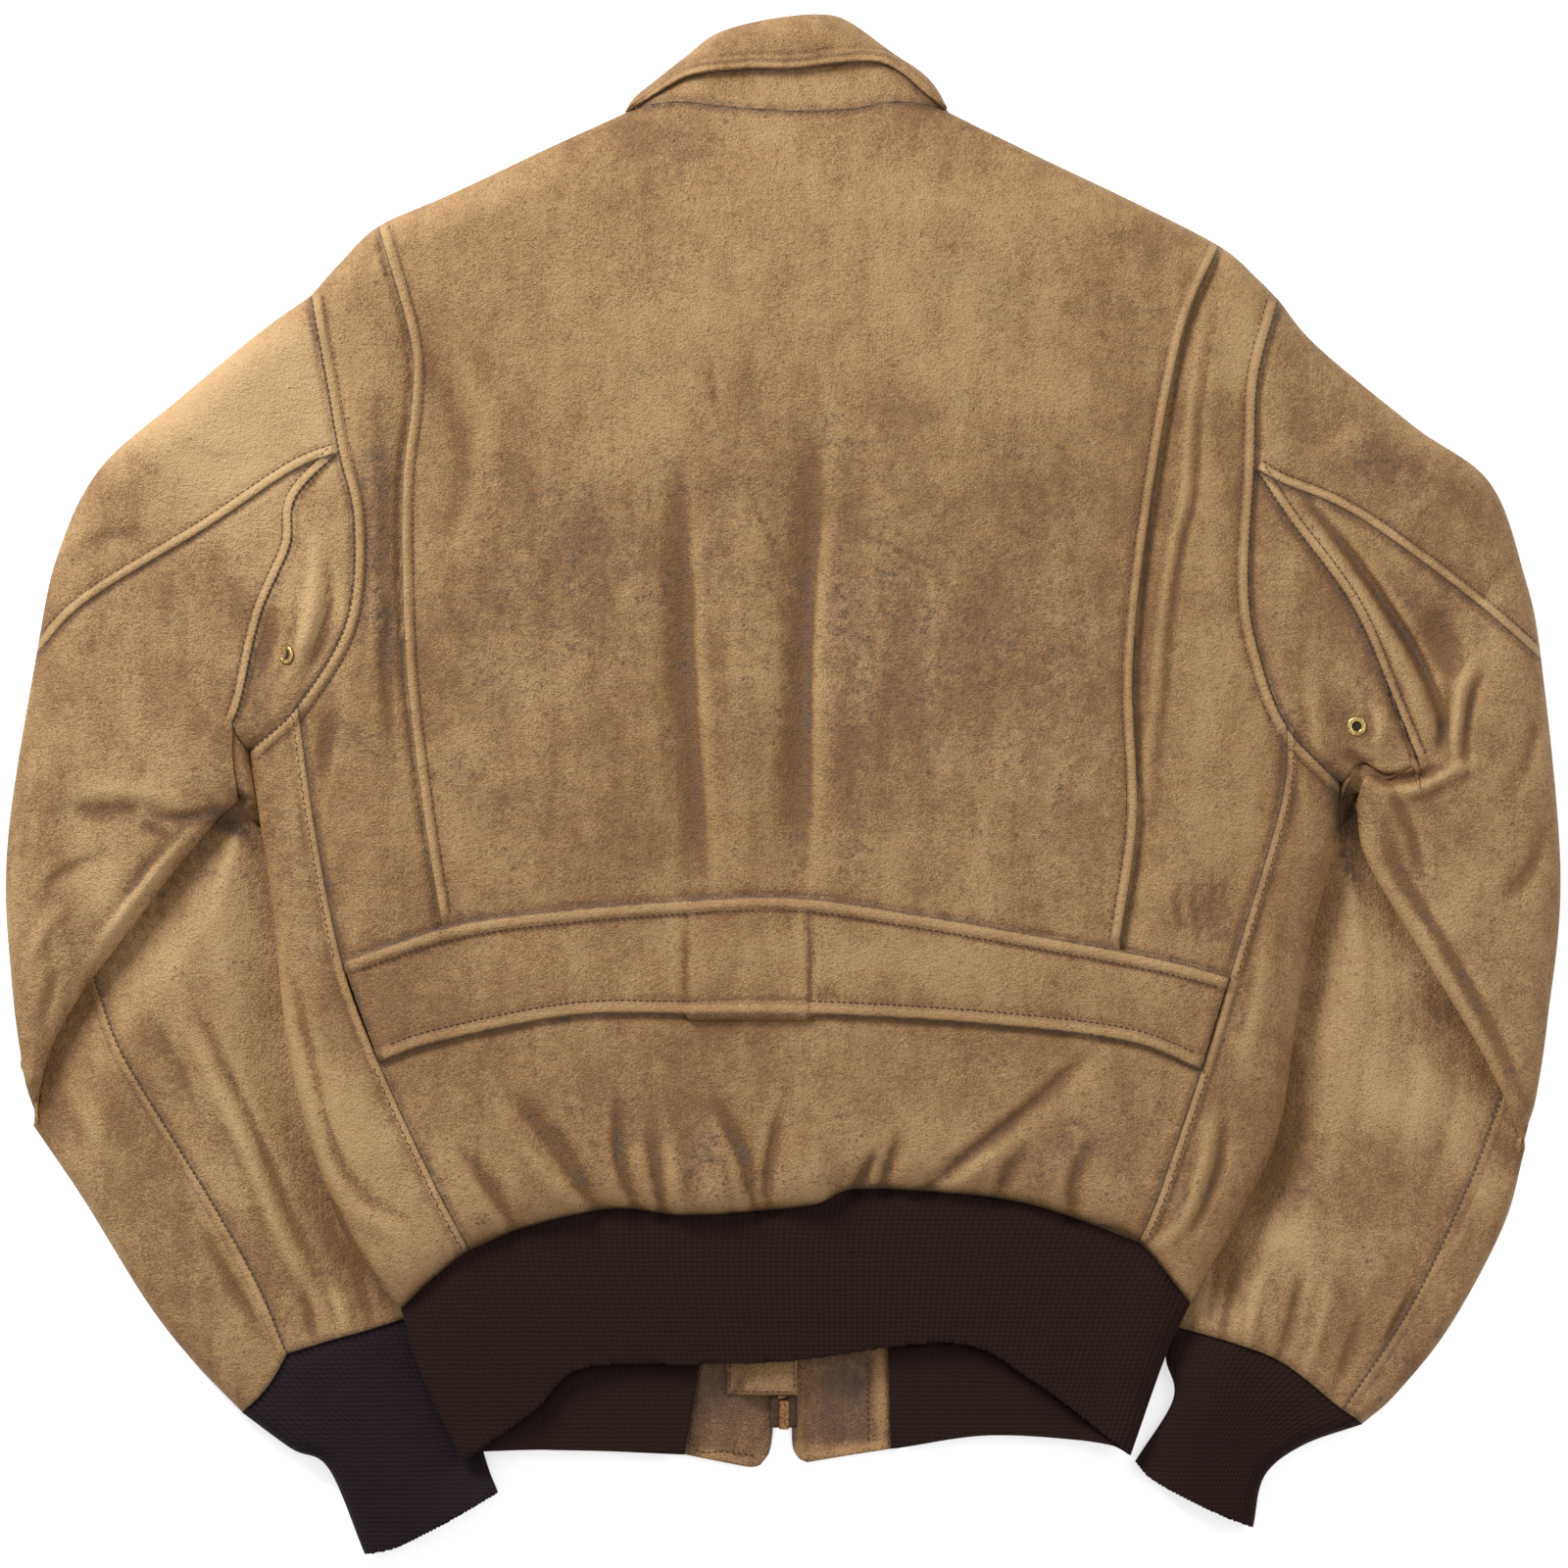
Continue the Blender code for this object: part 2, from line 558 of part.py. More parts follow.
def shared_seams(side):
    """The points along each seam of one side that two pieces share."""
    line = SIDE[side]
    cap_line, rest = split(line["armhole"], line["hind_seam"][0])
    gusset_line, low_line = split(rest, line["side_seam"][0])
    fold_cap, fold_low = split(line["outer_fold"], line["hind_seam"][-1])
    ends = slice(None) if side == "left" else slice(None, None, -1)
    belt_top_end, belt_low_end = BACK["belt_top"][ends][0], BACK["belt_bottom"][ends][0]
    upper, rest = split(line["side_seam"], belt_top_end)
    belt_part, lower = split(rest, belt_low_end)
    hem_part = split(BACK["hem"][ends], line["side_seam"][-1])[0][::-1]
    shoulder_x = column(BACK_COLUMNS, "top_x")[:4] if side == "left" else column(BACK_COLUMNS, "top_x")[-4:]
    shoulder_inner = at_x(line["shoulder"], shoulder_x)
    if side == "left":
        shoulder_inner = shoulder_inner[::-1]
    shoulder_outer = stations(split(line["shoulder"], line["pleat"][0])[1], 2)
    armhole_low = stations(low_line, 2, last=ABOVE)
    elbow = at_lengths(fold_low, [0.5 * lengths(fold_low)[-1]])[0]
    fold_high, fold_end = split(fold_low, elbow)
    fold_low = join(stations(fold_high, 4 + len(armhole_low)), stations(fold_end, 3, last=ABOVE))
    return {
        "armhole_cap": stations(cap_line, 3, first=NEAR_SHOULDER),
        "armhole_gusset": stations(gusset_line, 5),
        "armhole_low": armhole_low,
        "gusset_seam": stations(line["gusset_seam"], 5 + len(armhole_low) - 1),
        "shoulder_inner": shoulder_inner,
        "shoulder_outer": shoulder_outer,
        "neckline": stations(line["neckline"], 3),
        "front_armhole": stations(line["front_armhole"], 5, first=BELOW),
        "fold_cap": stations(fold_cap, 3, first=NEAR_SHOULDER),
        "fold_low": fold_low,
        "fold_low_under": np.vstack([fold_low[:-6:2], fold_low[-6:]]),
        "hind_seam": stations(line["hind_seam"], 3, last=ABOVE),
        "side_upper": stations(upper, 3),
        "side_belt": stations(belt_part, 1, first=(OVERLAP,), last=(OVERLAP,)),
        "side_lower": stations(lower, 2, last=(6.0, 15.0)),
        "hem_part": stations(hem_part, 2, last=ABOVE),
        "body_fold": stations(line["body_fold"], 10),
        "fore_seam": stations(line["fore_seam"], 5),
        "forearm_outer": stations(line["forearm_outer"], 5),
        "cuff_seam_outer": stations(line["cuff_seam_outer"], 1, last=ABOVE),
        "cuff_seam_inner": stations(line["cuff_seam_inner"], 4, last=ABOVE),
        "cuff_seam_under": stations(join(line["cuff_seam_inner"][::-1], line["cuff_seam_outer"]), 3,
                                    first=CUFF_COLUMNS, last=CUFF_COLUMNS),
    }


SEAMS = {side: shared_seams(side) for side in SIDE}


def make_back_centre():
    """The centre back: from the neck and shoulders to the belt, over the side panels at its pleated edges."""
    top = at_x(join(SIDE["left"]["shoulder"][::-1], BACK["neck_seam"], SIDE["right"]["shoulder"]),
               column(BACK_COLUMNS, "top_x"))
    low = shifted(at_x(BACK["belt_top"], column(BACK_COLUMNS, "belt_x")), -OVERLAP)
    sides = [stations(np.vstack([SIDE[side]["pleat"], low[end]]), 8, first=NEAR_SHOULDER)
             for side, end in (("left", 0), ("right", -1))]
    top[0], top[-1] = sides[0][0], sides[1][0]
    grid = raised(patch(top, low, *sides), upper_top)
    draw_in(grid, rows=(True, False), columns=(False, False))
    edge_turn(grid, [(0, slice(0, 4)), (0, slice(-4, None))], EQUATOR_GAP)
    return cloth("back_centre", [grid], "leather_back")


def make_back_side(side):
    """The side back: between the pleat, under the centre's edge, and the armhole and side seam."""
    line, seam = SIDE[side], SEAMS[side]
    inward = OVERLAP if side == "left" else -OVERLAP
    tucked = offset(line["pleat"], inward)
    outer = join(seam["armhole_cap"], seam["armhole_gusset"], seam["side_upper"], seam["side_belt"][:2])
    shoulder = seam["shoulder_outer"].copy()
    shoulder[0] = at_lengths(shoulder, [CORNER_EASE])[0]
    low_line = shifted(at_x(BACK["belt_top"], np.linspace(tucked[-1][0], outer[-1][0], 4)), -OVERLAP)
    low_line[-1] = outer[-1]
    tuck_line = np.vstack([tucked, low_line[0]])
    tuck_line = at_lengths(tuck_line, np.linspace(NEAR_SHOULDER[1], lengths(tuck_line)[-1], 300))
    inner = stations(tuck_line, len(outer) - 2, first=(NEAR_SHOULDER[2] - NEAR_SHOULDER[1],))
    top = np.vstack([inner[:1], shoulder])
    plan = patch(top, low_line, inner, outer)
    points = plan.reshape(-1, 2)
    centre = np.sign(points[:, 0]) * points[:, 0]
    pleat_x = np.abs(np.interp(points[:, 1], line["pleat"][::-1, 1], line["pleat"][::-1, 0]))
    depth = LAYER_STEP * (1 - ease((centre - pleat_x) / 24.0))
    depth[:len(top)] += CORNER_DROP * (1 - ease((centre[:len(top)] - pleat_x[:len(top)]) / 16.0))
    grid = sunk(raised(plan, upper_top), depth.reshape(plan.shape[:2]))
    draw_in(grid, rows=(True, False), columns=(False, True), gap=0.26)
    return cloth(f"back_side_{side}", [edge_turn(grid, [(0, slice(1, None))], EQUATOR_GAP)], "leather_back")


def belt_rows():
    """The belt's three rows of points: its upper edge, middle and lower edge."""
    belt_x = column(BACK_COLUMNS, "belt_x")
    left, right = (SEAMS[side]["side_belt"] for side in SEAMS)
    rows = []
    for name, at in (("belt_top", 0), ("belt_bottom", -1)):
        ends = left[at][0], right[at][0]
        x = [ends[0], (ends[0] + belt_x[0]) / 2, *belt_x, (ends[1] + belt_x[-1]) / 2, ends[1]]
        row = at_x(BACK[name], x)
        row[0], row[-1] = left[at], right[at]
        rows.append(row)
    middle = (rows[0] + rows[1]) / 2
    return np.stack([rows[0], middle, rows[1]])


def make_belt():
    """The half belt across the back: on the panels' ends, from side seam to side seam."""
    grid = sunk(raised(belt_rows(), belt_top_face), -LAYER_STEP)
    draw_in(grid, rows=(False, False), columns=(True, True), gap=0.4)
    return cloth("back_belt", [grid], "leather_back")


def make_skirt():
    """The back below the belt: tucked under it above, and gathered onto the waistband below."""
    left, right = ([*SEAMS[side]["side_belt"][2:3], *SEAMS[side]["side_lower"]] for side in SEAMS)
    left, right = np.array(left), np.array(right)
    top = shifted(at_x(BACK["belt_bottom"], [left[0][0], *column(SKIRT_COLUMNS, "belt_x"), right[0][0]]), OVERLAP)
    top[0], top[-1] = left[0], right[0]
    hem = at_x(BACK["hem"], [left[-1][0], *column(SKIRT_COLUMNS, "hem_x"), right[-1][0]])
    hem[0], hem[-1] = left[-1], right[-1]
    grid = raised(patch(top, hem, left, right), upper_top)
    return cloth("back_skirt", [draw_in(grid, rows=(False, True))], "leather_back")


def make_front(side):
    """A front: flat below, and wrapped round the body's folded side up to the side seam on the back."""
    line, seam = SIDE[side], SEAMS[side]
    centre_x = line["neckline"][0][0]
    top = join(seam["neckline"], seam["shoulder_inner"], seam["shoulder_outer"])
    hem_line = np.vstack([line["front_hem"], (centre_x, line["front_hem"][-1][1])])[::-1]
    hem = stations(hem_line, 2, last=INNER_COLUMNS)
    armhole = seam["front_armhole"]
    outer = join(armhole, seam["body_fold"])
    centre_line = np.array([top[0], hem[0]])
    centre_high, centre_low = split(centre_line, (centre_x, ARMPIT_Y))
    centre = join(stations(centre_high, len(armhole) - 1 - len(BELOW), first=BELOW),
                  stations(centre_low, len(outer) - len(armhole)))
    under = raised(patch(top, hem, centre, outer, fade=3.0), upper_bottom)
    side_line = join(seam["side_upper"], seam["side_belt"], seam["side_lower"])
    wrap_plan = patch(seam["armhole_low"], seam["hem_part"], side_line, seam["body_fold"])
    wrap = raised(wrap_plan, upper_top)
    fold_rows = len(seam["body_fold"])
    under[-fold_rows:, -1] = wrap[:, -1]
    shared = under[-fold_rows:, -1].copy()
    draw_in(under, rows=(True, True), columns=(False, True), gap=0.42)
    draw_in(wrap, rows=(True, True), columns=(True, False))
    wrap[:, -1] = under[-fold_rows:, -1] = shared
    edge_turn(under, [(0, slice(3, None)), (slice(1, 4), -1)], -EQUATOR_GAP)
    return cloth(f"front_{side}", [under, wrap], "leather_back", facing=-1)


def make_sleeve_top(side):
    """The top sleeve: the cap over the shoulder, the whole lower face, and the forearm's outer strip."""
    line, seam = SIDE[side], SEAMS[side]
    cap_rows = len(seam["fold_cap"])
    cap = raised(patch(corner(seam["fold_cap"][0], len(seam["hind_seam"])), seam["hind_seam"],
                       seam["armhole_cap"], seam["fold_cap"]), upper_top)
    strip = raised(patch(stations(line["forearm_top_outer"], 1, last=ABOVE), seam["cuff_seam_outer"],
                         seam["fore_seam"], seam["forearm_outer"]), forearm_top)
    outer = join(seam["fold_cap"], seam["fold_low_under"], seam["forearm_outer"])
    inner_rows = len(outer) - len(seam["front_armhole"])
    inner = np.vstack([seam["front_armhole"], stations(line["forearm_inner"], inner_rows - 1)])
    under = raised(patch(corner(outer[0], len(seam["cuff_seam_under"])), seam["cuff_seam_under"], inner, outer),
                   sleeve_bottom)
    edge_turn(under, [(slice(-inner_rows, None), 0)], -HIDDEN_GAP)
    strip_rows = len(seam["forearm_outer"])
    low_rows = slice(cap_rows, len(outer) - strip_rows)
    low_outer = outer[low_rows]
    joined = 1 - ease((np.linalg.norm(low_outer - seam["forearm_outer"][0], axis=1) - 4.0) / ELBOW_DROP)
    low_height = upper_mid(low_outer) - 2.4 * EQUATOR_GAP
    under[low_rows, -1, 2] = low_height + joined * (forearm_mid(low_outer) - low_height)
    draw_in(under, rows=(False, True), columns=(True, False))
    draw_in(cap, rows=(False, True), columns=(True, False), gap=0.4)
    draw_in(strip, rows=(False, True), columns=(True, False))
    cap[:, -1] = under[:cap_rows, -1] = raised(seam["fold_cap"][None], upper_mid)[0]
    under[-strip_rows:, -1] = strip[:, -1]
    cap[0] = under[0] = cap[0, -1]
    return cloth(f"sleeve_top_{side}", [cap, under, strip], "leather_sleeve")


def make_sleeve_under(side):
    """The under sleeve's upper length: from the hind-arm seam to the crease, where it turns under."""
    line, seam = SIDE[side], SEAMS[side]
    inner = join(seam["gusset_seam"], stations(line["sleeve_corner"], 3, last=ABOVE))
    crease = stations(line["crease"], 3, last=ABOVE)
    grid = raised(patch(seam["hind_seam"], crease, inner, seam["fold_low"]), upper_top)
    inwards = -1 if side == "left" else 1
    room = np.minimum(1.0, (lengths(crease)[-1] - lengths(crease)) / LIP_TAPER)[:, None]
    turned = [crease + room * (offset(crease, inwards * away) - crease) for away in (0.0, *BELOW, ROLL_BELOW)]
    lip = raised(np.stack(turned), upper_bottom)
    draw_in(grid, rows=(True, False), columns=(True, False), gap=0.4)
    edge_turn(grid, [(slice(None, -1), -1)], EQUATOR_GAP)
    lip[0] = grid[-1]
    lip = lip[:, :-3]
    return cloth(f"sleeve_under_{side}", [grid, lip], "leather_sleeve")


def make_forearm(side):
    """The under sleeve's lower length: from the fore-arm seam to the hidden inner fold, down to the cuff."""
    line, seam = SIDE[side], SEAMS[side]
    top = stations(line["forearm_top_inner"], 4, last=ABOVE)
    inner = stations(line["forearm_inner"], len(seam["fore_seam"]) - 1)
    grid = raised(patch(top, seam["cuff_seam_inner"], seam["fore_seam"], inner), forearm_top)
    draw_in(grid, rows=(False, True), columns=(True, False))
    return cloth(f"forearm_{side}", [edge_turn(grid, [(EVERY, -1)], HIDDEN_GAP)], "leather_sleeve")


def make_gusset(side):
    """The football gusset under the arm: a pointed oval between the armhole and the under sleeve."""
    line, seam = SIDE[side], SEAMS[side]
    armhole = join(seam["armhole_gusset"], seam["armhole_low"])
    end = stations(line["gusset_end"], 3)
    grid = raised(patch(corner(armhole[0], len(end)), end, armhole, seam["gusset_seam"]), upper_top)
    draw_in(grid, rows=(False, True))
    grid[0] = grid[1] + 0.5 * (grid[0] - grid[1])
    return cloth(f"gusset_{side}", [grid], "leather_sleeve")


def make_cuff(side):
    """A knit cuff: a flattened tube from the sleeve's end to its own open end."""
    line, seam = SIDE[side], SEAMS[side]
    seam_row = join(seam["cuff_seam_inner"][::-1], seam["cuff_seam_outer"])
    end = line["cuff_end"][::-1]
    sides = [stations(line["cuff_inner"], 3), stations(line["cuff_outer"], 3)]
    upper = raised(patch(seam_row, matched(end, seam_row), *sides), forearm_top)
    lower = raised(patch(seam["cuff_seam_under"], matched(end, seam["cuff_seam_under"]), *sides), cuff_bottom)
    for grid in (upper, lower):
        draw_in(grid, rows=(True, False), columns=(False, False), gap=0.55)
    lower[:, 0], lower[:, -1] = upper[:, 0], upper[:, -1]
    return cloth(f"cuff_{side}", [upper, lower], "knit", wall=KNIT)


def cuff_bottom(plan):
    return forearm_mid(plan) * (1 - roll(forearm_edge(plan), forearm_mid(plan)))


def make_waistband():
    """The knit waistband: across the back, round both folds and over the front as far as the tabs."""
    parts = [SEAMS[side]["hem_part"] for side in SEAMS]
    skirt = at_x(BACK["hem"], column(SKIRT_COLUMNS, "hem_x"))
    hem = np.vstack([parts[0][::-1], skirt, parts[1]])
    edges = [stations(SIDE[side]["band_edge"], 3) for side in SIDE]
    back = raised(patch(hem, matched(BACK["band_low"], hem), *edges), upper_top)
    grids = [back]
    for side, edge, at in (("left", edges[0], 0), ("right", edges[1], -1)):
        line = SIDE[side]
        top = stations(line["front_hem"], 4, first=BELOW)
        low = stations(line["front_band_low"], 4, first=BELOW)
        end = stations(np.array([top[-1], low[-1]]), 3)
        front = raised(patch(top, low, edge, end), upper_bottom)
        draw_in(front, rows=(True, False), columns=(False, True), gap=0.45)
        front[:, 0] = back[:, at]
        grids.append(front)
    draw_in(back, rows=(True, False), columns=(False, False), gap=0.45)
    for grid, at in ((grids[1], 0), (grids[2], -1)):
        grid[:, 0] = back[:, at]
    return cloth("waistband", grids, "knit", wall=KNIT)


def make_tab(side):
    """A leather tab at a front end of the waistband, beside the zip."""
    hem_y = LINES[side]["front_hem"][-1][1] - 0.4
    if side == "left":
        top = ((-52.5, hem_y), (-7, hem_y))
        low = ((-52.5, -349.5), (-34, -353), (-16, -356), (-9, -352))
        sides = ((-52.5, hem_y), (-52.5, -349.5)), ((-7, hem_y), (-6, -322), (-9, -352))
    else:
        top = ((7, hem_y), (56.5, hem_y))
        low = ((9, -354), (30, -350.5), (56.5, -346.5))
        sides = ((7, hem_y), (5, -336), (9, -354)), ((56.5, hem_y), (56.5, -346.5))
    rows = [stations(curve(points), 4) for points in (top, low)]
    columns = [stations(curve(points), 5) for points in sides]
    return cloth(f"waist_tab_{side}", [raised(patch(*rows, *columns), 0.0)], "leather_dark", wall=TAB_WALL, facing=-1)


def between(row, other, shares):
    """Rows of points at shares of the way from one row to another."""
    return np.stack([row + share * (other - row) for share in shares])


def with_middles(row):
    """The row with a point added halfway along each step."""
    doubled = np.repeat(row, 2, axis=0)[:-1].astype(float)
    doubled[1::2] = (row[:-1] + row[1:]) / 2
    return doubled


def make_collar_back():
    """The collar's stand on the neck seam, and its fall, which turns over the stand's upper edge."""
    top_x = column(BACK_COLUMNS, "top_x")
    neck = with_middles(at_x(BACK["neck_seam"], top_x[3:-3]))
    stand_top = matched(offset(BACK["collar_roll"], -STAND_INSET)[8:-8], neck)
    plan = between(neck, stand_top, (0.0, 0.25, 0.6, 1.0))
    depth = (COLLAR + 1.3) * ease((plan[..., 1] - plan[:1, :, 1]) / 12.0)
    stand = sunk(raised(plan, upper_top), depth)
    draw_in(stand, rows=(True, False), gap=0.5)
    cloth("collar_stand", [stand], "leather_back", wall=COLLAR)

    whole = BACK["collar_roll"]
    roll_line = matched(at_lengths(whole, np.linspace(FALL_END, lengths(whole)[-1] - FALL_END, 200)), neck)
    edge = matched(BACK["fall_edge"], roll_line)
    fall = raised(between(edge, roll_line, (0.0, 0.4, 0.75, 0.93, 1.0)), upper_top)
    towards = np.sin(np.linspace(0.0, math.pi, len(roll_line)))[:, None]
    turned = [raised(roll_line[None] - np.array([0.0, 1.0]) * away * towards, upper_mid)
              - np.array([0.0, 0.0, drop]) for away, drop in ((0.6, 1.8), (1.8, 3.0))]
    cloth("collar_fall", [np.concatenate([fall, *turned])], "leather_back", wall=COLLAR)


def make_collar_front(side):
    """Under a front: the fall's leaf, which turns up at the front roll, and the stand's end above it."""
    line, seam = SIDE[side], SEAMS[side]
    leaf_roll = stations(line["leaf_roll"], 7)
    leaf_edge = matched(line["leaf_edge"], leaf_roll)
    leaf = raised(between(leaf_edge, leaf_roll, (0.0, 0.35, 0.7, 0.95)), 0.0)
    turned = raised(leaf_roll[None], 0.3 * COLLAR)
    cloth(f"collar_leaf_{side}", [np.concatenate([leaf, turned])], "leather_back", wall=COLLAR, facing=-1)
    neck = with_middles(seam["neckline"])[:-1]
    stand_line = matched(line["leaf_roll"][::-1], neck)
    front_stand = raised(between(neck, stand_line, (0.0, 0.4, 0.78)), LEAF_LIFT)
    draw_in(front_stand, rows=(True, False), columns=(False, False), gap=0.4)
    cloth(f"collar_stand_front_{side}", [front_stand], "leather_back", facing=-1)


def make_eyelet(side, x, y):
    """A brass eyelet in a gusset: a flanged ring on the leather, tilted with it."""
    here = np.array([[x, y]], float)
    height = upper_top(here)[0]
    step = 3.0
    slope_x = (upper_top(here + (step, 0))[0] - upper_top(here - (step, 0))[0]) / (2 * step)
    slope_y = (upper_top(here + (0, step))[0] - upper_top(here - (0, step))[0]) / (2 * step)
    normal = np.array([-slope_x, -slope_y, 1.0])
    normal /= np.linalg.norm(normal)
    first = np.cross((0.0, 1.0, 0.0), normal)
    first /= np.linalg.norm(first)
    second = np.cross(normal, first)
    profile = ((EYELET_HOLE, 0.35), (EYELET_OUTER, 0.35), (EYELET_OUTER, 0.75),
               (0.5 * (EYELET_OUTER + EYELET_HOLE), 0.35 + EYELET_HEIGHT), (EYELET_HOLE, 0.9))
    turns = 12
    shape = bmesh.new()
    rings = []
    for turn in range(turns):
        angle = math.tau * turn / turns
        out = math.cos(angle) * first + math.sin(angle) * second
        rings.append([shape.verts.new((np.array([x, y, height]) + radius * out + rise * normal) * MM)
                      for radius, rise in profile])
    for ring, after in zip(rings, rings[1:] + rings[:1]):
        for k in range(len(profile)):
            nxt = (k + 1) % len(profile)
            shape.faces.new((ring[k], after[k], after[nxt], ring[nxt]))
    bmesh.ops.recalc_face_normals(shape, faces=shape.faces)
    mesh = bpy.data.meshes.new(f"eyelet_{side}")
    shape.to_mesh(mesh)
    shape.free()
    return place(f"eyelet_{side}", mesh, "brass")


def make_zip():
    """The zip down the front: tapes, teeth, box, slider and pull, with the wind flap behind it."""
    low_y, high_y = ZIP_Y
    half_tooth = TEETH[0] / 2
    teeth_top = TEETH_Z + TEETH[1]
    block("zip_teeth", (-half_tooth, low_y + 14.0, TEETH_Z), (half_tooth, high_y, teeth_top), "metal", 0.5)
    block("zip_box", (-half_tooth - 0.2, low_y - 2.0, TEETH_Z - 0.7), (half_tooth + 0.2, low_y + 13.4, teeth_top + 0.7),
          "metal", 0.6)
    rows_y = np.array([low_y + 3, -300, -272, -262, -200, -60, 80, 200, 240, 262, high_y])
    tape_z = TEETH_Z + (TEETH[1] + TAPE) / 2
    for side, sign in (("left", -1), ("right", 1)):
        tape_x = sign * np.array([half_tooth + 0.6, 5.3, 9.0, TAPE_REACH])
        plan = np.stack([np.stack([tape_x, np.full(4, y)], axis=1) for y in rows_y])
        grid = raised(plan, front_inner_face, 0.4 + TAPE)
        grid[..., 2] += 0.8 * ease((grid[..., 1] - 150.0) / 40.0)
        grid[:, :2, 2] = tape_z
        cloth(f"zip_tape_{side}", [grid], "tape", wall=TAPE)
    make_slider(high_y)
    make_pull(high_y)
    flap_x = np.array([-30.0, -23.0, -14.0, 7.0])
    flap_y = np.array([-318, -262, -150, 0, 150, 235, 262, 286])
    plan = np.stack([np.stack([flap_x, np.full(4, y)], axis=1) for y in flap_y])
    grid = raised(plan, front_inner_face, 0.4 + LEATHER)
    over_zip = teeth_top + 0.4 + LEATHER + SLIDER_RISE * ease((flap_y - 240.0) / 20.0)
    grid[:, 2:, 2] = over_zip[:, None]
    grid[:, 1, 2] = np.maximum(grid[:, 1, 2], 0.35 * grid[:, 0, 2] + 0.65 * over_zip)
    cloth("wind_flap", [grid], "leather_dark")


def front_inner_face(plan):
    """The upper face of the fronts, or of the waist tabs below their hem."""
    hem_y = LINES["left"]["front_hem"][-1][1]
    wall = LEATHER + (TAB_WALL - LEATHER) * ease((hem_y + 12.0 - plan[:, 1]) / 8.0)
    return lift(plan) + wall


def extruded(name, outline, half_width, colour):
    """A flat outline in the YZ plane, given its width along X."""
    shape = bmesh.new()
    left, right = ([shape.verts.new((sign * half_width * MM, y * MM, z * MM)) for y, z in outline]
                   for sign in (-1, 1))
    shape.faces.new(left)
    shape.faces.new(right[::-1])
    count = len(outline)
    for k in range(count):
        nxt = (k + 1) % count
        shape.faces.new((left[k], right[k], right[nxt], left[nxt]))
    bmesh.ops.recalc_face_normals(shape, faces=shape.faces)
    mesh = bpy.data.meshes.new(name)
    shape.to_mesh(mesh)
    shape.free()
    return place(name, mesh, colour)


def make_slider(high_y):
    """The slider: plates over and under the teeth, joined above the chain's end, and the pull's bridge."""
    width, long, plate = SLIDER
    low, top = TEETH_Z - 0.35, TEETH_Z + TEETH[1] + 0.35
    back, front = high_y + 1.4 + 7.6, high_y + 1.4 + 7.6 - long
    post = high_y + 0.5
    plates = extruded("zip_slider", (
        (front, low - plate), (back, low - plate), (back, top + plate), (front, top + plate),
        (front, top), (post, top), (post, low), (front, low)), width / 2, "metal")
    strap_width, reach, thick = BRIDGE
    hinge_y = high_y - 0.5
    outer_low = 0.5
    bridge = extruded("bridge", (
        (hinge_y - reach / 2, low - plate + 0.5), (hinge_y - reach / 2, outer_low), (hinge_y + reach / 2, outer_low),
        (hinge_y + reach / 2, low - plate + 0.5), (hinge_y + reach / 2 - thick, low - plate + 0.5),
        (hinge_y + reach / 2 - thick, outer_low + 0.9), (hinge_y - reach / 2 + thick, outer_low + 0.9),
        (hinge_y - reach / 2 + thick, low - plate + 0.5)), strap_width / 2, "metal")
    bridge.hide_render = True
    bridge.display_type = "WIRE"
    union = plates.modifiers.new("bridge", "BOOLEAN")
    union.operation = "UNION"
    union.object = bridge


def make_pull(high_y):
    """The pull tab: a plate with a window round the bridge, whose end bar turns inside the bridge."""
    width, long, plate = PULL
    window_width, window_long = PULL_WINDOW
    hinge_y = high_y - 0.5
    half_bar = plate / 2
    z_low, z_high = -plate / 2, plate / 2
    outline = ((-width / 2, half_bar), (width / 2, half_bar), (width / 2, -long + 3), (width / 2 - 1.6, -long),
               (-width / 2 + 1.6, -long), (-width / 2, -long + 3))
    window = ((-window_width / 2, -half_bar), (window_width / 2, -half_bar),
              (window_width / 2, -half_bar - window_long), (-window_width / 2, -half_bar - window_long))
    shape = bmesh.new()
    for ring in (outline, window):
        points = [shape.verts.new((x * MM, y * MM, z_high * MM)) for x, y in ring]
        for k in range(len(points)):
            shape.edges.new((points[k], points[(k + 1) % len(points)]))
    bmesh.ops.triangle_fill(shape, use_beauty=True, use_dissolve=False, edges=shape.edges)
    for face in shape.faces:
        if face.normal.z < 0:
            face.normal_flip()
    raised_part = bmesh.ops.extrude_face_region(shape, geom=shape.faces[:])
    moved = [item for item in raised_part["geom"] if isinstance(item, bmesh.types.BMVert)]
    bmesh.ops.translate(shape, verts=moved, vec=(0, 0, (z_low - z_high) * MM))
    bmesh.ops.recalc_face_normals(shape, faces=shape.faces)
    mesh = bpy.data.meshes.new("zip_pull")
    shape.to_mesh(mesh)
    shape.free()
    pull = place("zip_pull", mesh, "metal")
    pull.location = (0, hinge_y * MM, PULL_Z * MM)
    return pull


def clear_scene():
    for thing in list(bpy.data.objects):
        bpy.data.objects.remove(thing, do_unlink=True)


def main():
    clear_scene()
    make_back_centre()
    make_belt()
    make_skirt()
    for side in SIDE:
        make_back_side(side)
        make_front(side)
        make_sleeve_top(side)
        make_sleeve_under(side)
        make_forearm(side)
        make_gusset(side)
        make_cuff(side)
        make_tab(side)
    make_waistband()
    make_collar_back()
    for side in SIDE:
        make_collar_front(side)
    make_zip()
    for row in EYELETS[1:]:
        make_eyelet(*row)


main()
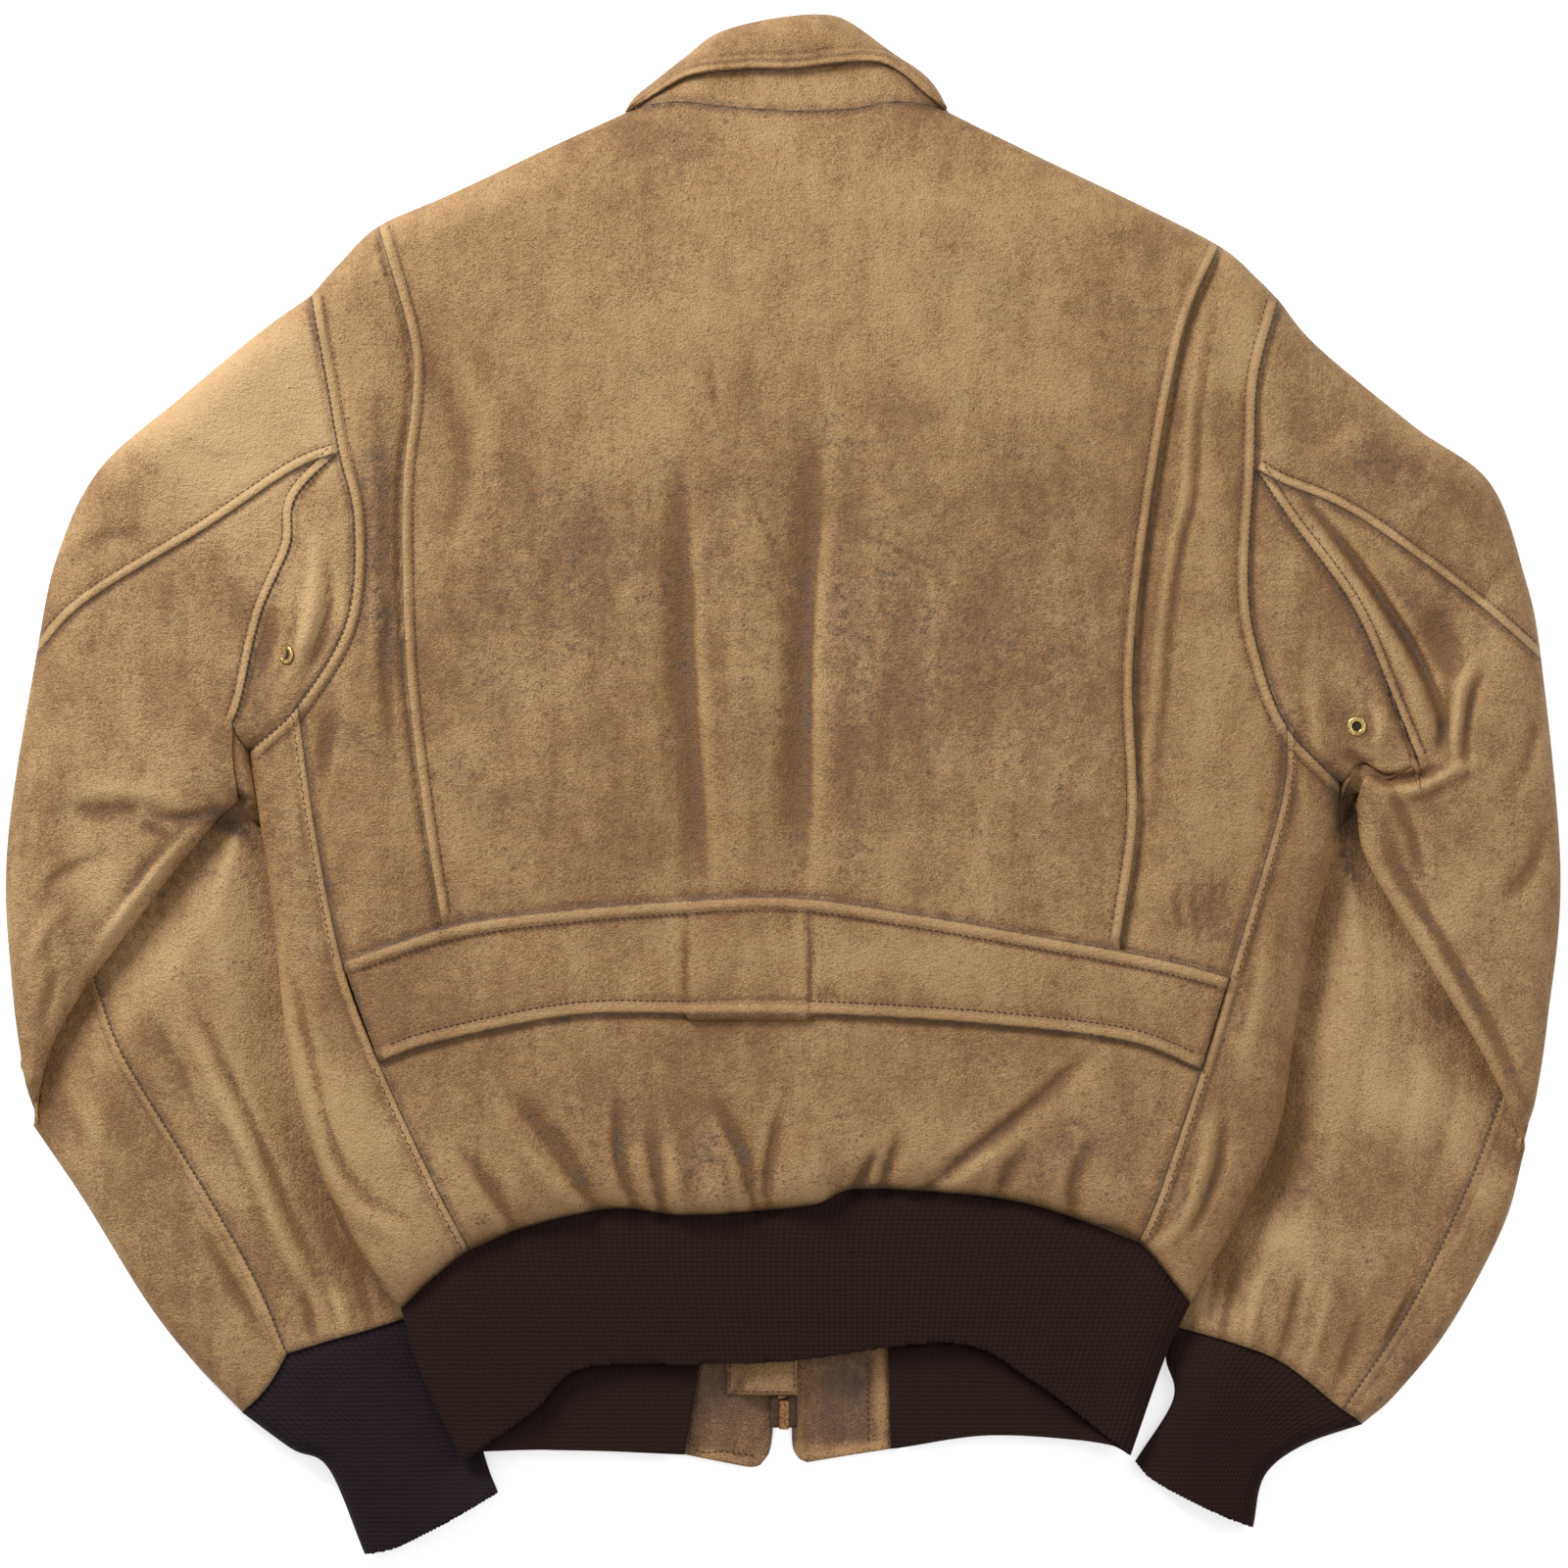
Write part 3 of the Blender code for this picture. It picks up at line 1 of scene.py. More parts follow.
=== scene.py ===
# %% [markdown]
# # A worn leather jacket, lying face down
# The jacket is a short flight-style one: tan leather, a back with two pleats and a half belt, a gusset
# under each arm, dark knit at the waist and wrists. It lies flat with its sleeves bent, so what shows is
# its back. The CAD model holds its panels as plain walls of cloth. This lesson lays a detailed skin over
# each of them: the same outlines, with seams, folds, stitches, ribs and worn leather.

# %% Load the frame
import json
import math

import bmesh
import bpy
import numpy as np
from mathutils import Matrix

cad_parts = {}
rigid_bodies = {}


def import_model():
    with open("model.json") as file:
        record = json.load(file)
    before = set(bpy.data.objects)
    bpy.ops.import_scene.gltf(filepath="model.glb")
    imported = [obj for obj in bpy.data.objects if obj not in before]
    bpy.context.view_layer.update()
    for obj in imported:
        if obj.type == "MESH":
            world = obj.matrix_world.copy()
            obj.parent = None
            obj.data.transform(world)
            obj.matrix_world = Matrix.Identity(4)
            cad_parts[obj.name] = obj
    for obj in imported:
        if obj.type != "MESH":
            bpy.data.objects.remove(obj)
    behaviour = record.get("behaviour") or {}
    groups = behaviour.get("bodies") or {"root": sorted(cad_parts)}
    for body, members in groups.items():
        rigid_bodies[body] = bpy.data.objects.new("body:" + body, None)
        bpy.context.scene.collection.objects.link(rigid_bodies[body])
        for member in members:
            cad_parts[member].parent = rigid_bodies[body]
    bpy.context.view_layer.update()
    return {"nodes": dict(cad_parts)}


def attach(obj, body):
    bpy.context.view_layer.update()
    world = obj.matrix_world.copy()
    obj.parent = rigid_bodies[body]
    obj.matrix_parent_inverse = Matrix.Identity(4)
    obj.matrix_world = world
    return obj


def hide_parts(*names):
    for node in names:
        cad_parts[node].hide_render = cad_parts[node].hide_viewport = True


for thing in list(bpy.data.objects):
    bpy.data.objects.remove(thing, do_unlink=True)
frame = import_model()
MM = 0.001

# %% [markdown]
# ## The pattern
# A maker starts from pattern pieces, and so does this lesson. Each line below is a seam or an edge of the
# jacket as it lies, in millimetres from its middle. The lines are the CAD model's own, with a little more
# detail at the collar, so each skin lands on its panel. The rest of the jacket is worked out from them.

# %% The lines of each side
LINES = {
    "left": {
        "shoulder": ((-76, 352), (-122, 331), (-175, 306), (-211, 290), (-230, 272), (-246, 254)),
        "pleat": ((-211, 290), (-194, 231), (-193, 198), (-198, 150), (-196, 62), (-187, -15), (-178, -71)),
        "armhole": ((-246, 254), (-238, 212), (-231, 172), (-223, 135), (-227, 84), (-252, 41), (-278, 17)),
        "front_armhole": ((-246, 254), (-238, 190), (-240, 120), (-256, 60), (-278, 17)),
        "side_seam": ((-252, 41), (-243, -23), (-229, -92), (-210, -144), (-182, -205), (-163, -242)),
        "body_fold": ((-278, 17), (-266, -62), (-257, -143), (-239, -207), (-222, -246), (-199, -273)),
        "outer_fold": ((-246, 254), (-274, 234), (-314, 201), (-356, 164), (-378, 119), (-389, 67),
                       (-404, -31), (-402, -101), (-391, -178)),
        "hind_seam": ((-231, 172), (-255, 162), (-299, 133), (-361, 95), (-389, 67)),
        "gusset_seam": ((-231, 172), (-253, 148), (-256, 123), (-271, 88), (-281, 45), (-286, 31)),
        "gusset_end": ((-278, 17), (-283, 24), (-286, 31)),
        "sleeve_corner": ((-286, 31), (-286, 12), (-283, -9)),
        "crease": ((-283, -9), (-299, -24), (-338, -73), (-377, -129), (-391, -178)),
        "fore_seam": ((-362, -91), (-349, -128), (-335, -155), (-300, -212), (-274, -258), (-258, -296)),
        "forearm_top_outer": ((-362, -91), (-382, -128), (-391, -178)),
        "forearm_top_inner": ((-362, -91), (-345, -60), (-312, -14), (-288, -8), (-262, -34)),
        "forearm_outer": ((-391, -178), (-366, -214), (-332, -269), (-307, -301), (-282, -327)),
        "forearm_inner": ((-262, -34), (-236, -100), (-205, -180), (-178, -270)),
        "cuff_seam_outer": ((-258, -296), (-269, -314), (-282, -327)),
        "cuff_seam_inner": ((-258, -296), (-239, -290), (-200, -279), (-178, -270)),
        "cuff_outer": ((-282, -327), (-256, -346), (-237, -356), (-218, -401)),
        "cuff_inner": ((-178, -270), (-157, -347), (-149, -369)),
        "cuff_end": ((-218, -401), (-201, -397), (-175, -384), (-149, -369)),
        "band_edge": ((-199, -273), (-188, -308), (-167, -352)),
        "front_hem": ((-199, -273), (-140, -269), (-53, -269)),
        "front_band_low": ((-167, -352), (-157, -347), (-103, -347), (-53, -349)),
        "neckline": ((-7, 290), (-25, 295), (-55, 317), (-76, 352)),
        "collar_side": ((-76, 352), (-82.5, 350)),
        "leaf_edge": ((-92, 340), (-98, 290), (-78, 226), (-42, 262), (-9, 284)),
        "leaf_roll": ((-80, 353), (-60, 338), (-34, 321), (-9, 315)),
    },
    "right": {
        "shoulder": ((80, 352), (133, 326), (175, 306), (226, 280), (245, 264), (257, 252)),
        "pleat": ((226, 280), (207, 234), (191, 150), (181, 62), (183, -17), (174, -83)),
        "armhole": ((257, 252), (246, 210), (244, 164), (241, 103), (247, 66), (261, 30), (289, 0)),
        "front_armhole": ((257, 252), (248, 190), (250, 120), (266, 50), (289, 0)),
        "side_seam": ((261, 30), (258, -9), (234, -90), (217, -146), (195, -211), (184, -238)),
        "body_fold": ((289, 0), (286, -34), (275, -76), (267, -118), (258, -176), (244, -211), (211, -270)),
        "outer_fold": ((257, 252), (277, 228), (328, 186), (367, 157), (385, 109), (394, 64), (404, -46),
                       (397, -124), (386, -190)),
        "hind_seam": ((244, 164), (258, 156), (295, 140), (350, 101), (394, 64)),
        "gusset_seam": ((244, 164), (261, 138), (295, 91), (318, 38), (329, 11)),
        "gusset_end": ((289, 0), (300, 11), (313, 5), (329, 11)),
        "sleeve_corner": ((329, 11), (314, 2), (302, 4), (297, -11)),
        "crease": ((297, -11), (303, -40), (334, -92), (365, -144), (386, -190)),
        "fore_seam": ((379, -146), (357, -204), (326, -270), (290, -325)),
        "forearm_top_outer": ((379, -146), (385, -166), (386, -190)),
        "forearm_top_inner": ((379, -146), (350, -88), (318, -34), (306, -12), (270, -34)),
        "forearm_outer": ((386, -190), (374, -231), (346, -283), (318, -318), (301, -333)),
        "forearm_inner": ((270, -34), (240, -110), (222, -190), (202, -282)),
        "cuff_seam_outer": ((290, -325), (296, -329), (301, -333)),
        "cuff_seam_inner": ((290, -325), (261, -302), (238, -292), (202, -282)),
        "cuff_outer": ((301, -333), (270, -344), (250, -360), (244, -387)),
        "cuff_inner": ((202, -282), (199, -299), (203, -320), (183, -353)),
        "cuff_end": ((244, -387), (224, -379), (193, -363), (183, -353)),
        "band_edge": ((211, -270), (198, -298), (180, -349)),
        "front_hem": ((211, -270), (140, -269), (57, -269)),
        "front_band_low": ((180, -349), (165, -343), (108, -339), (57, -346)),
        "neckline": ((7, 290), (25, 295), (57, 317), (80, 352)),
        "collar_side": ((80, 352), (85, 351.5)),
        "leaf_edge": ((95, 340), (101, 290), (80, 226), (44, 262), (9, 284)),
        "leaf_roll": ((83, 353), (62, 338), (36, 321), (9, 315)),
    },
}
print("lines a side:", len(LINES["left"]))

# %% The lines that cross the back
ACROSS = {
    "neck_seam": ((-76, 352), (-54, 354), (-26, 351), (7, 349), (34, 350), (57, 354), (80, 352)),
    "fall_edge": ((-81, 349.5), (-73, 354), (-61, 361.5), (-47, 368), (-20, 371), (4, 371), (29, 374),
                  (49, 374.5), (61, 369), (73, 358.5), (83.5, 350.5)),
    "collar_roll": ((-82.5, 350), (-78, 357), (-66, 367), (-51, 379), (-35, 391), (-10, 398), (18, 401),
                    (34, 397), (57, 380.5), (71, 371), (79, 362.5), (85, 351.5)),
    "belt_top": ((-229, -92), (-173, -74), (-119, -66), (-44, -60), (7, -59), (70, -68), (133, -79),
                 (196, -91), (234, -101)),
    "belt_bottom": ((-210, -144), (-181, -134), (-111, -120), (-50, -119), (14, -119), (101, -124),
                    (177, -133), (217, -148)),
    "hem": ((-199, -273), (-182, -256), (-154, -237), (-93, -221), (-49, -224), (13, -219), (35, -211),
            (79, -212), (121, -217), (155, -227), (184, -238), (211, -270)),
    "band_low": ((-167, -352), (-130, -326), (-105, -304), (-45, -302), (5, -300), (88, -291), (130, -311),
                 (180, -349)),
}
print("lines across:", ", ".join(ACROSS))

# %% [markdown]
# ## Lines in code
# A drawn line is a few points; a seam is smooth. A Catmull-Rom curve passes through every point it is
# given, so the pattern stays easy to read and the seam comes out smooth.

# %% Curves and the points along them
SAMPLE_STEP = 2.0


def curve(points):
    """A smooth line through the points, with about one sample each SAMPLE_STEP millimetres."""
    knots = np.array(points, float)
    ends = np.vstack([2 * knots[0] - knots[1], knots, 2 * knots[-1] - knots[-2]])
    spans = []
    for a, b, c, d in zip(ends, ends[1:], ends[2:], ends[3:]):
        count = max(2, int(np.linalg.norm(c - b) / SAMPLE_STEP))
        t = (np.arange(count) / count)[:, None]
        spans.append(0.5 * (2 * b + (c - a) * t + (2 * a - 5 * b + 4 * c - d) * t**2
                            + (3 * b - a - 3 * c + d) * t**3))
    return np.vstack([*spans, knots[-1:]])


def lengths(line):
    return np.concatenate([[0.0], np.cumsum(np.linalg.norm(np.diff(line, axis=0), axis=1))])


def at_lengths(line, places):
    run = lengths(line)
    return np.stack([np.interp(places, run, line[:, axis]) for axis in range(line.shape[1])], axis=1)


def join(*lines):
    """Lines end to end, with each shared corner once."""
    return np.vstack([lines[0], *(line[1:] for line in lines[1:])])


def split(line, point):
    """The line in two, cut where it passes nearest to the point."""
    run = lengths(line)
    fine = np.linspace(0, run[-1], 4000)
    here = fine[np.argmin(np.linalg.norm(at_lengths(line, fine) - point, axis=1))]
    cut = at_lengths(line, [here])
    return np.vstack([line[run < here - 0.01], cut]), np.vstack([cut, line[run > here + 0.01]])


def at_x(line, x):
    """The points of a line that crosses the back, at the given x."""
    order = np.argsort(line[:, 0])
    return np.stack([np.asarray(x, float), np.interp(x, line[order, 0], line[order, 1])], axis=1)


def aside(line, distance):
    """The line moved sideways, to its left as it runs."""
    along = np.gradient(line, axis=0)
    along /= np.linalg.norm(along, axis=1)[:, None] + 1e-9
    return line + distance * np.stack([-along[:, 1], along[:, 0]], axis=1)


SIDE = {side: {name: curve(points) for name, points in lines.items()} for side, lines in LINES.items()}
BACK = {name: curve(points) for name, points in ACROSS.items()}
LEFT, RIGHT = SIDE["left"], SIDE["right"]
TOWARDS_CENTRE = {"left": 1, "right": -1}
ELBOW_IN, ELBOW_UP = 3.2, 1.2
for side in SIDE:
    # The outer fold and the crease meet at the elbow's tip, which is worn blunt.
    for name, reach in (("outer_fold", 30.0), ("crease", 16.0)):
        line = SIDE[side][name]
        to_elbow = lengths(line)[-1] - lengths(line)
        shift = (ELBOW_IN * TOWARDS_CENTRE[side], ELBOW_UP)
        line += (1 - np.clip(to_elbow / reach, 0, 1))[:, None] ** 2 * shift
print("armhole, left:", round(lengths(LEFT["armhole"])[-1]), "mm")


# %% Easing
def ease(value):
    """0 below 0, 1 above 1, and smooth between."""
    t = np.clip(value, 0, 1)
    return t * t * (3 - 2 * t)


def roll(away, width):
    """The rise of a rolled edge, a quarter of an ellipse: 0 on the edge, 1 from the roll's width inwards."""
    return np.sqrt(1 - (1 - np.clip(away / width, 0, 1)) ** 2)


print("halfway in, a roll has reached", round(float(roll(0.5, 1.0)), 2), "of its height")

# %% [markdown]
# ## A map of the jacket
# The surface is worked out once on a map: a square sheet of numbers with one value each millimetre.
# Distances to seams, folds and heights all live on it, and every skin reads its heights from it. Sewn
# panels therefore meet exactly, as they do in cloth.

# %% The map and how to read it
EDGE = 424
AXIS = np.arange(-EDGE, EDGE + 1, 1.0)
MAP = (len(AXIS), len(AXIS))
MAP_X, MAP_Y = np.meshgrid(AXIS, AXIS)


def read(field, plan):
    """The map's value at each plan point, between its four nearest samples."""
    place = np.clip(plan + EDGE, 0, len(AXIS) - 1.001)
    low = place.astype(int)
    x, y = low[..., 0], low[..., 1]
    share = place - low
    u, v = share[..., 0], share[..., 1]
    return ((field[y, x] * (1 - u) + field[y, x + 1] * u) * (1 - v)
            + (field[y + 1, x] * (1 - u) + field[y + 1, x + 1] * u) * v)


def window(low, high):
    return slice(max(0, int(low + EDGE)), max(0, min(len(AXIS), int(high + EDGE) + 2)))


def near(line, reach):
    """For each place on the map within reach of the line: its distance, its side and how far along it is."""
    away, side, run = np.full(MAP, float(reach)), np.zeros(MAP), np.zeros(MAP)
    for (ax, ay), (bx, by), start in zip(line, line[1:], lengths(line)):
        rows = window(min(ay, by) - reach, max(ay, by) + reach)
        columns = window(min(ax, bx) - reach, max(ax, bx) + reach)
        x, y = AXIS[None, columns] - ax, AXIS[rows, None] - ay
        dx, dy = bx - ax, by - ay
        size = dx * dx + dy * dy + 1e-9
        share = np.clip((x * dx + y * dy) / size, 0, 1)
        gap = np.hypot(x - share * dx, y - share * dy)
        closer = gap < away[rows, columns]
        away[rows, columns][closer] = gap[closer]
        side[rows, columns][closer] = np.where(dx * y - dy * x > 0, 1.0, -1.0)[closer]
        run[rows, columns][closer] = (start + share * math.sqrt(size))[closer]
    return away, side, run


def filled(ring):
    """Which places on the map are inside the closed line."""
    x0, y0 = ring.T
    x1, y1 = np.roll(ring, -1, axis=0).T
    mask = np.zeros(MAP, bool)
    for row, y in enumerate(AXIS):
        crosses = (y0 > y) != (y1 > y)
        x = x0[crosses] + (y - y0[crosses]) * (x1[crosses] - x0[crosses]) / (y1[crosses] - y0[crosses])
        mask[row] = np.searchsorted(np.sort(x), AXIS) % 2 == 1
    return mask


print("map:", MAP)


# %% Blur and unevenness
def blur(field, size):
    """The map averaged over a square of that half size, twice."""
    for _ in range(2):
        for axis in (0, 1):
            pad = [(size + 1, size) if a == axis else (0, 0) for a in (0, 1)]
            total = np.cumsum(np.pad(field, pad, mode="edge"), axis=axis)
            field = (np.take(total, range(2 * size + 1, total.shape[axis]), axis=axis)
                     - np.take(total, range(total.shape[axis] - 2 * size - 1), axis=axis)) / (2 * size + 1)
    return field


def uneven(cell_x, cell_y, seed, turn=0.0):
    """Smooth unevenness between -1 and 1, with lumps of about the cell's size, turned by an angle."""
    values = np.random.default_rng(seed).uniform(-1, 1, (200, 200))
    c, s = math.cos(math.radians(turn)), math.sin(math.radians(turn))
    u = (MAP_X * c + MAP_Y * s) / cell_x + 100
    v = (MAP_Y * c - MAP_X * s) / cell_y + 100
    i, j = np.floor(u).astype(int), np.floor(v).astype(int)
    a, b = ease(u - i), ease(v - j)
    i, j = i % 199, j % 199
    return ((values[j, i] * (1 - a) + values[j, i + 1] * a) * (1 - b)
            + (values[j + 1, i] * (1 - a) + values[j + 1, i + 1] * a) * b)


print("drape between", *np.round([uneven(90, 90, 1).min(), uneven(90, 90, 1).max()], 2))

# %% [markdown]
# ## How the jacket stands up from the floor
# Each tube of the jacket is two soft sheets joined at a rolled edge. The upper sheet rises from the rolled
# edge to a crown; where a forearm lies below, everything above is lifted. These heights follow the CAD
# model's own rules, worked out on the map.

# %% Outlines and rolled edges
ELBOW_LIFT, FOREARM_MARGIN = 8.8, 9.0
LEAF_LIFT, LEAF_MARGIN = 3.1, 26.0
FADE = 26.0


def forearm_ring(line):
    """The forearm and cuff of one side, seen from above, all round."""
    return join(
        line["forearm_top_outer"], line["forearm_outer"], line["cuff_outer"], line["cuff_end"],
        line["cuff_inner"][::-1], line["forearm_inner"][::-1], line["forearm_top_inner"][::-1],
    )


TOP_RING = join(
    BACK["collar_roll"], RIGHT["shoulder"], RIGHT["outer_fold"], RIGHT["crease"][::-1], RIGHT["body_fold"],
    RIGHT["band_edge"], BACK["band_low"][::-1], LEFT["band_edge"][::-1], LEFT["body_fold"][::-1],
    LEFT["crease"], LEFT["outer_fold"][::-1], LEFT["shoulder"][::-1],
)
TOP_FOLD_NAMES = ("shoulder", "outer_fold", "crease", "body_fold", "band_edge", "collar_side")
FORE_FOLD_NAMES = ("forearm_outer", "forearm_inner", "cuff_outer", "cuff_inner")
TOP_FOLDS = [SIDE[side][name] for side in SIDE for name in TOP_FOLD_NAMES] + [BACK["collar_roll"]]
FORE_FOLDS = [SIDE[side][name] for side in SIDE for name in FORE_FOLD_NAMES]
FOLD_REACH = 30.0


def nearest(lines, reach):
    return np.min([near(line, reach)[0] for line in lines], axis=0)


COVERED = filled(TOP_RING)
TOP_EDGE = nearest(TOP_FOLDS, FOLD_REACH) * np.where(COVERED, 1, -1)
FORE_SHAPE = filled(forearm_ring(LEFT)) | filled(forearm_ring(RIGHT))
FORE_EDGE = nearest(FORE_FOLDS, FOLD_REACH) * np.where(FORE_SHAPE, 1, -1)
print("covered by the back and upper arms:", round(COVERED.sum() / 1e6, 3), "square metres")

# %% Lift over the forearms and the collar's leaves
LIFT = np.zeros(MAP)
for side in SIDE:
    leaf = join(SIDE[side]["leaf_edge"], SIDE[side]["leaf_roll"][::-1])
    below = ((forearm_ring(SIDE[side]), ELBOW_LIFT, FOREARM_MARGIN), (leaf, LEAF_LIFT, LEAF_MARGIN))
    for ring, rise, margin in below:
        away = np.where(filled(ring), 0.0, near(np.vstack([ring, ring[:1]])[::2], margin + FADE)[0])
        LIFT = np.maximum(LIFT, rise * (1 - ease((away - margin) / FADE)))
print("most lift:", LIFT.max(), "mm")

# %% Crowns
BODY_CROWN, SLEEVE_CROWN, NECK_CROWN, BAND_CROWN = 28.0, 22.0, 20.0, 14.6
HEM_FALL = 30.0
ROLL_ABOVE, ROLL_BELOW = 20.0, 9.0

HEM_Y = at_x(BACK["hem"], AXIS)[None, :, 1]
BODY = BODY_CROWN + (SLEEVE_CROWN - BODY_CROWN) * ease((np.abs(MAP_X) - 190) / 130)
BODY = BODY + (NECK_CROWN - BODY) * ease((MAP_Y - 290) / 60)
FROM_HEM = np.where(MAP_Y < HEM_Y, 0.0, near(BACK["hem"], HEM_FALL)[0])
BAND = BAND_CROWN + 0.4 * LIFT
CROWN = BAND + (BODY - BAND) * roll(FROM_HEM, HEM_FALL)
# A rolled edge lies at 42% of the height beside it, and at 22% round the collar.
ROLL_SHARE = 0.42 - 0.2 * ease((MAP_Y - 352) / 22)
MIDDLE = LIFT + ROLL_SHARE * (np.maximum(CROWN, LIFT + 9) - LIFT)
FORE_CROWN = 7.0 + 8.0 * ease(np.where(COVERED, 0.0, near(TOP_RING[::2], 34)[0]) / 34)
print("crown from", round(CROWN.min(), 1), "to", round(CROWN.max(), 1), "mm")

# %% [markdown]
# ## Seams
# Leather is sewn with its edges turned and topstitched: beside each seam is a raised band three to seven
# millimetres wide, and across the seam line the other panel dips. Each seam below is a line, the side that
# its band lies on (1 is to the left as the line runs, 0 is a plain seam), the band's width and its height.
# The same maps keep each place's distance to its nearest seam, so that the finish can darken the seam line
# and paint a shadow beside a lapped edge.

# %% The seams and their bands
SEWN = {
    "top": [
        (BACK["neck_seam"], 0, 3.0, 0.6),
        # The fall's edge has no band; it is listed so that a shadow is painted on the stand below it.
        (BACK["fall_edge"], 1, 7.0, 0.0),
        (BACK["hem"], 0, 4.0, 0.6),
        (BACK["belt_top"], -1, 6.6, 1.2),
        (BACK["belt_bottom"], 1, 6.6, 1.2),
    ],
    "fore": [],
}
for side, turn in (("left", 1), ("right", -1)):
    line = SIDE[side]
    SEWN["top"] += [
        (line["armhole"], turn, 5.6, 1.5),
        (line["hind_seam"], -turn, 4.6, 1.2),
        (line["gusset_seam"], -turn, 4.6, 1.2),
        (line["side_seam"], -turn, 5.4, 1.1),
        (line["pleat"], turn, 5.0, 1.6),
    ]
    SEWN["fore"] += [
        (line["fore_seam"], -turn, 3.2, 0.3),
        (line["cuff_seam_inner"], 0, 3.5, 0.8),
        (line["cuff_seam_outer"], 0, 3.5, 0.8),
    ]
SEAM_REACH = 14.0


def sewn(seams):
    """The bands of these seams on the map, each place's distance to its nearest seam, and its side of it."""
    height, closest, lapped_side = np.zeros(MAP), np.full(MAP, SEAM_REACH), np.ones(MAP)
    for line, lap, width, high in seams:
        away, side_of, run = near(line, SEAM_REACH)
        side_of = side_of * lap if lap else -np.ones(MAP)
        lapped = away * side_of
        ends = ease(run / 5) * ease((lengths(line)[-1] - run) / 5)
        band = high * np.sin(np.pi * np.clip((lapped + 0.5) / (width + 0.5), 0, 1)) ** 0.55
        dips = -0.45 * high * np.exp(-(((lapped + 1.8) / 1.6) ** 2))
        dips -= 0.4 * np.exp(-(((lapped - width - 0.8) / 1.2) ** 2))
        height += np.where(away < SEAM_REACH, (band + dips) * ends, 0)
        closer = away < closest
        closest[closer], lapped_side[closer] = away[closer], side_of[closer]
    return height, closest, lapped_side


BANDS, SEAM_NEAR, SEAM_SIDE = {}, {}, {}
for layer in SEWN:
    BANDS[layer], SEAM_NEAR[layer], SEAM_SIDE[layer] = sewn(SEWN[layer])
print("seams:", sum(map(len, SEWN.values())), "highest band", round(BANDS["top"].max(), 2), "mm")

# %% [markdown]
# ## Folds and creases
# Worn leather keeps its creases: a soft gather above the waistband, long troughs down the back, rolls at the
# elbow and underarm. Each row is a crease drawn with its points, half width and height (below zero for a
# trough), which CREASE_DEPTH deepens. It swells in the middle and dies out at its ends, so no two look alike.

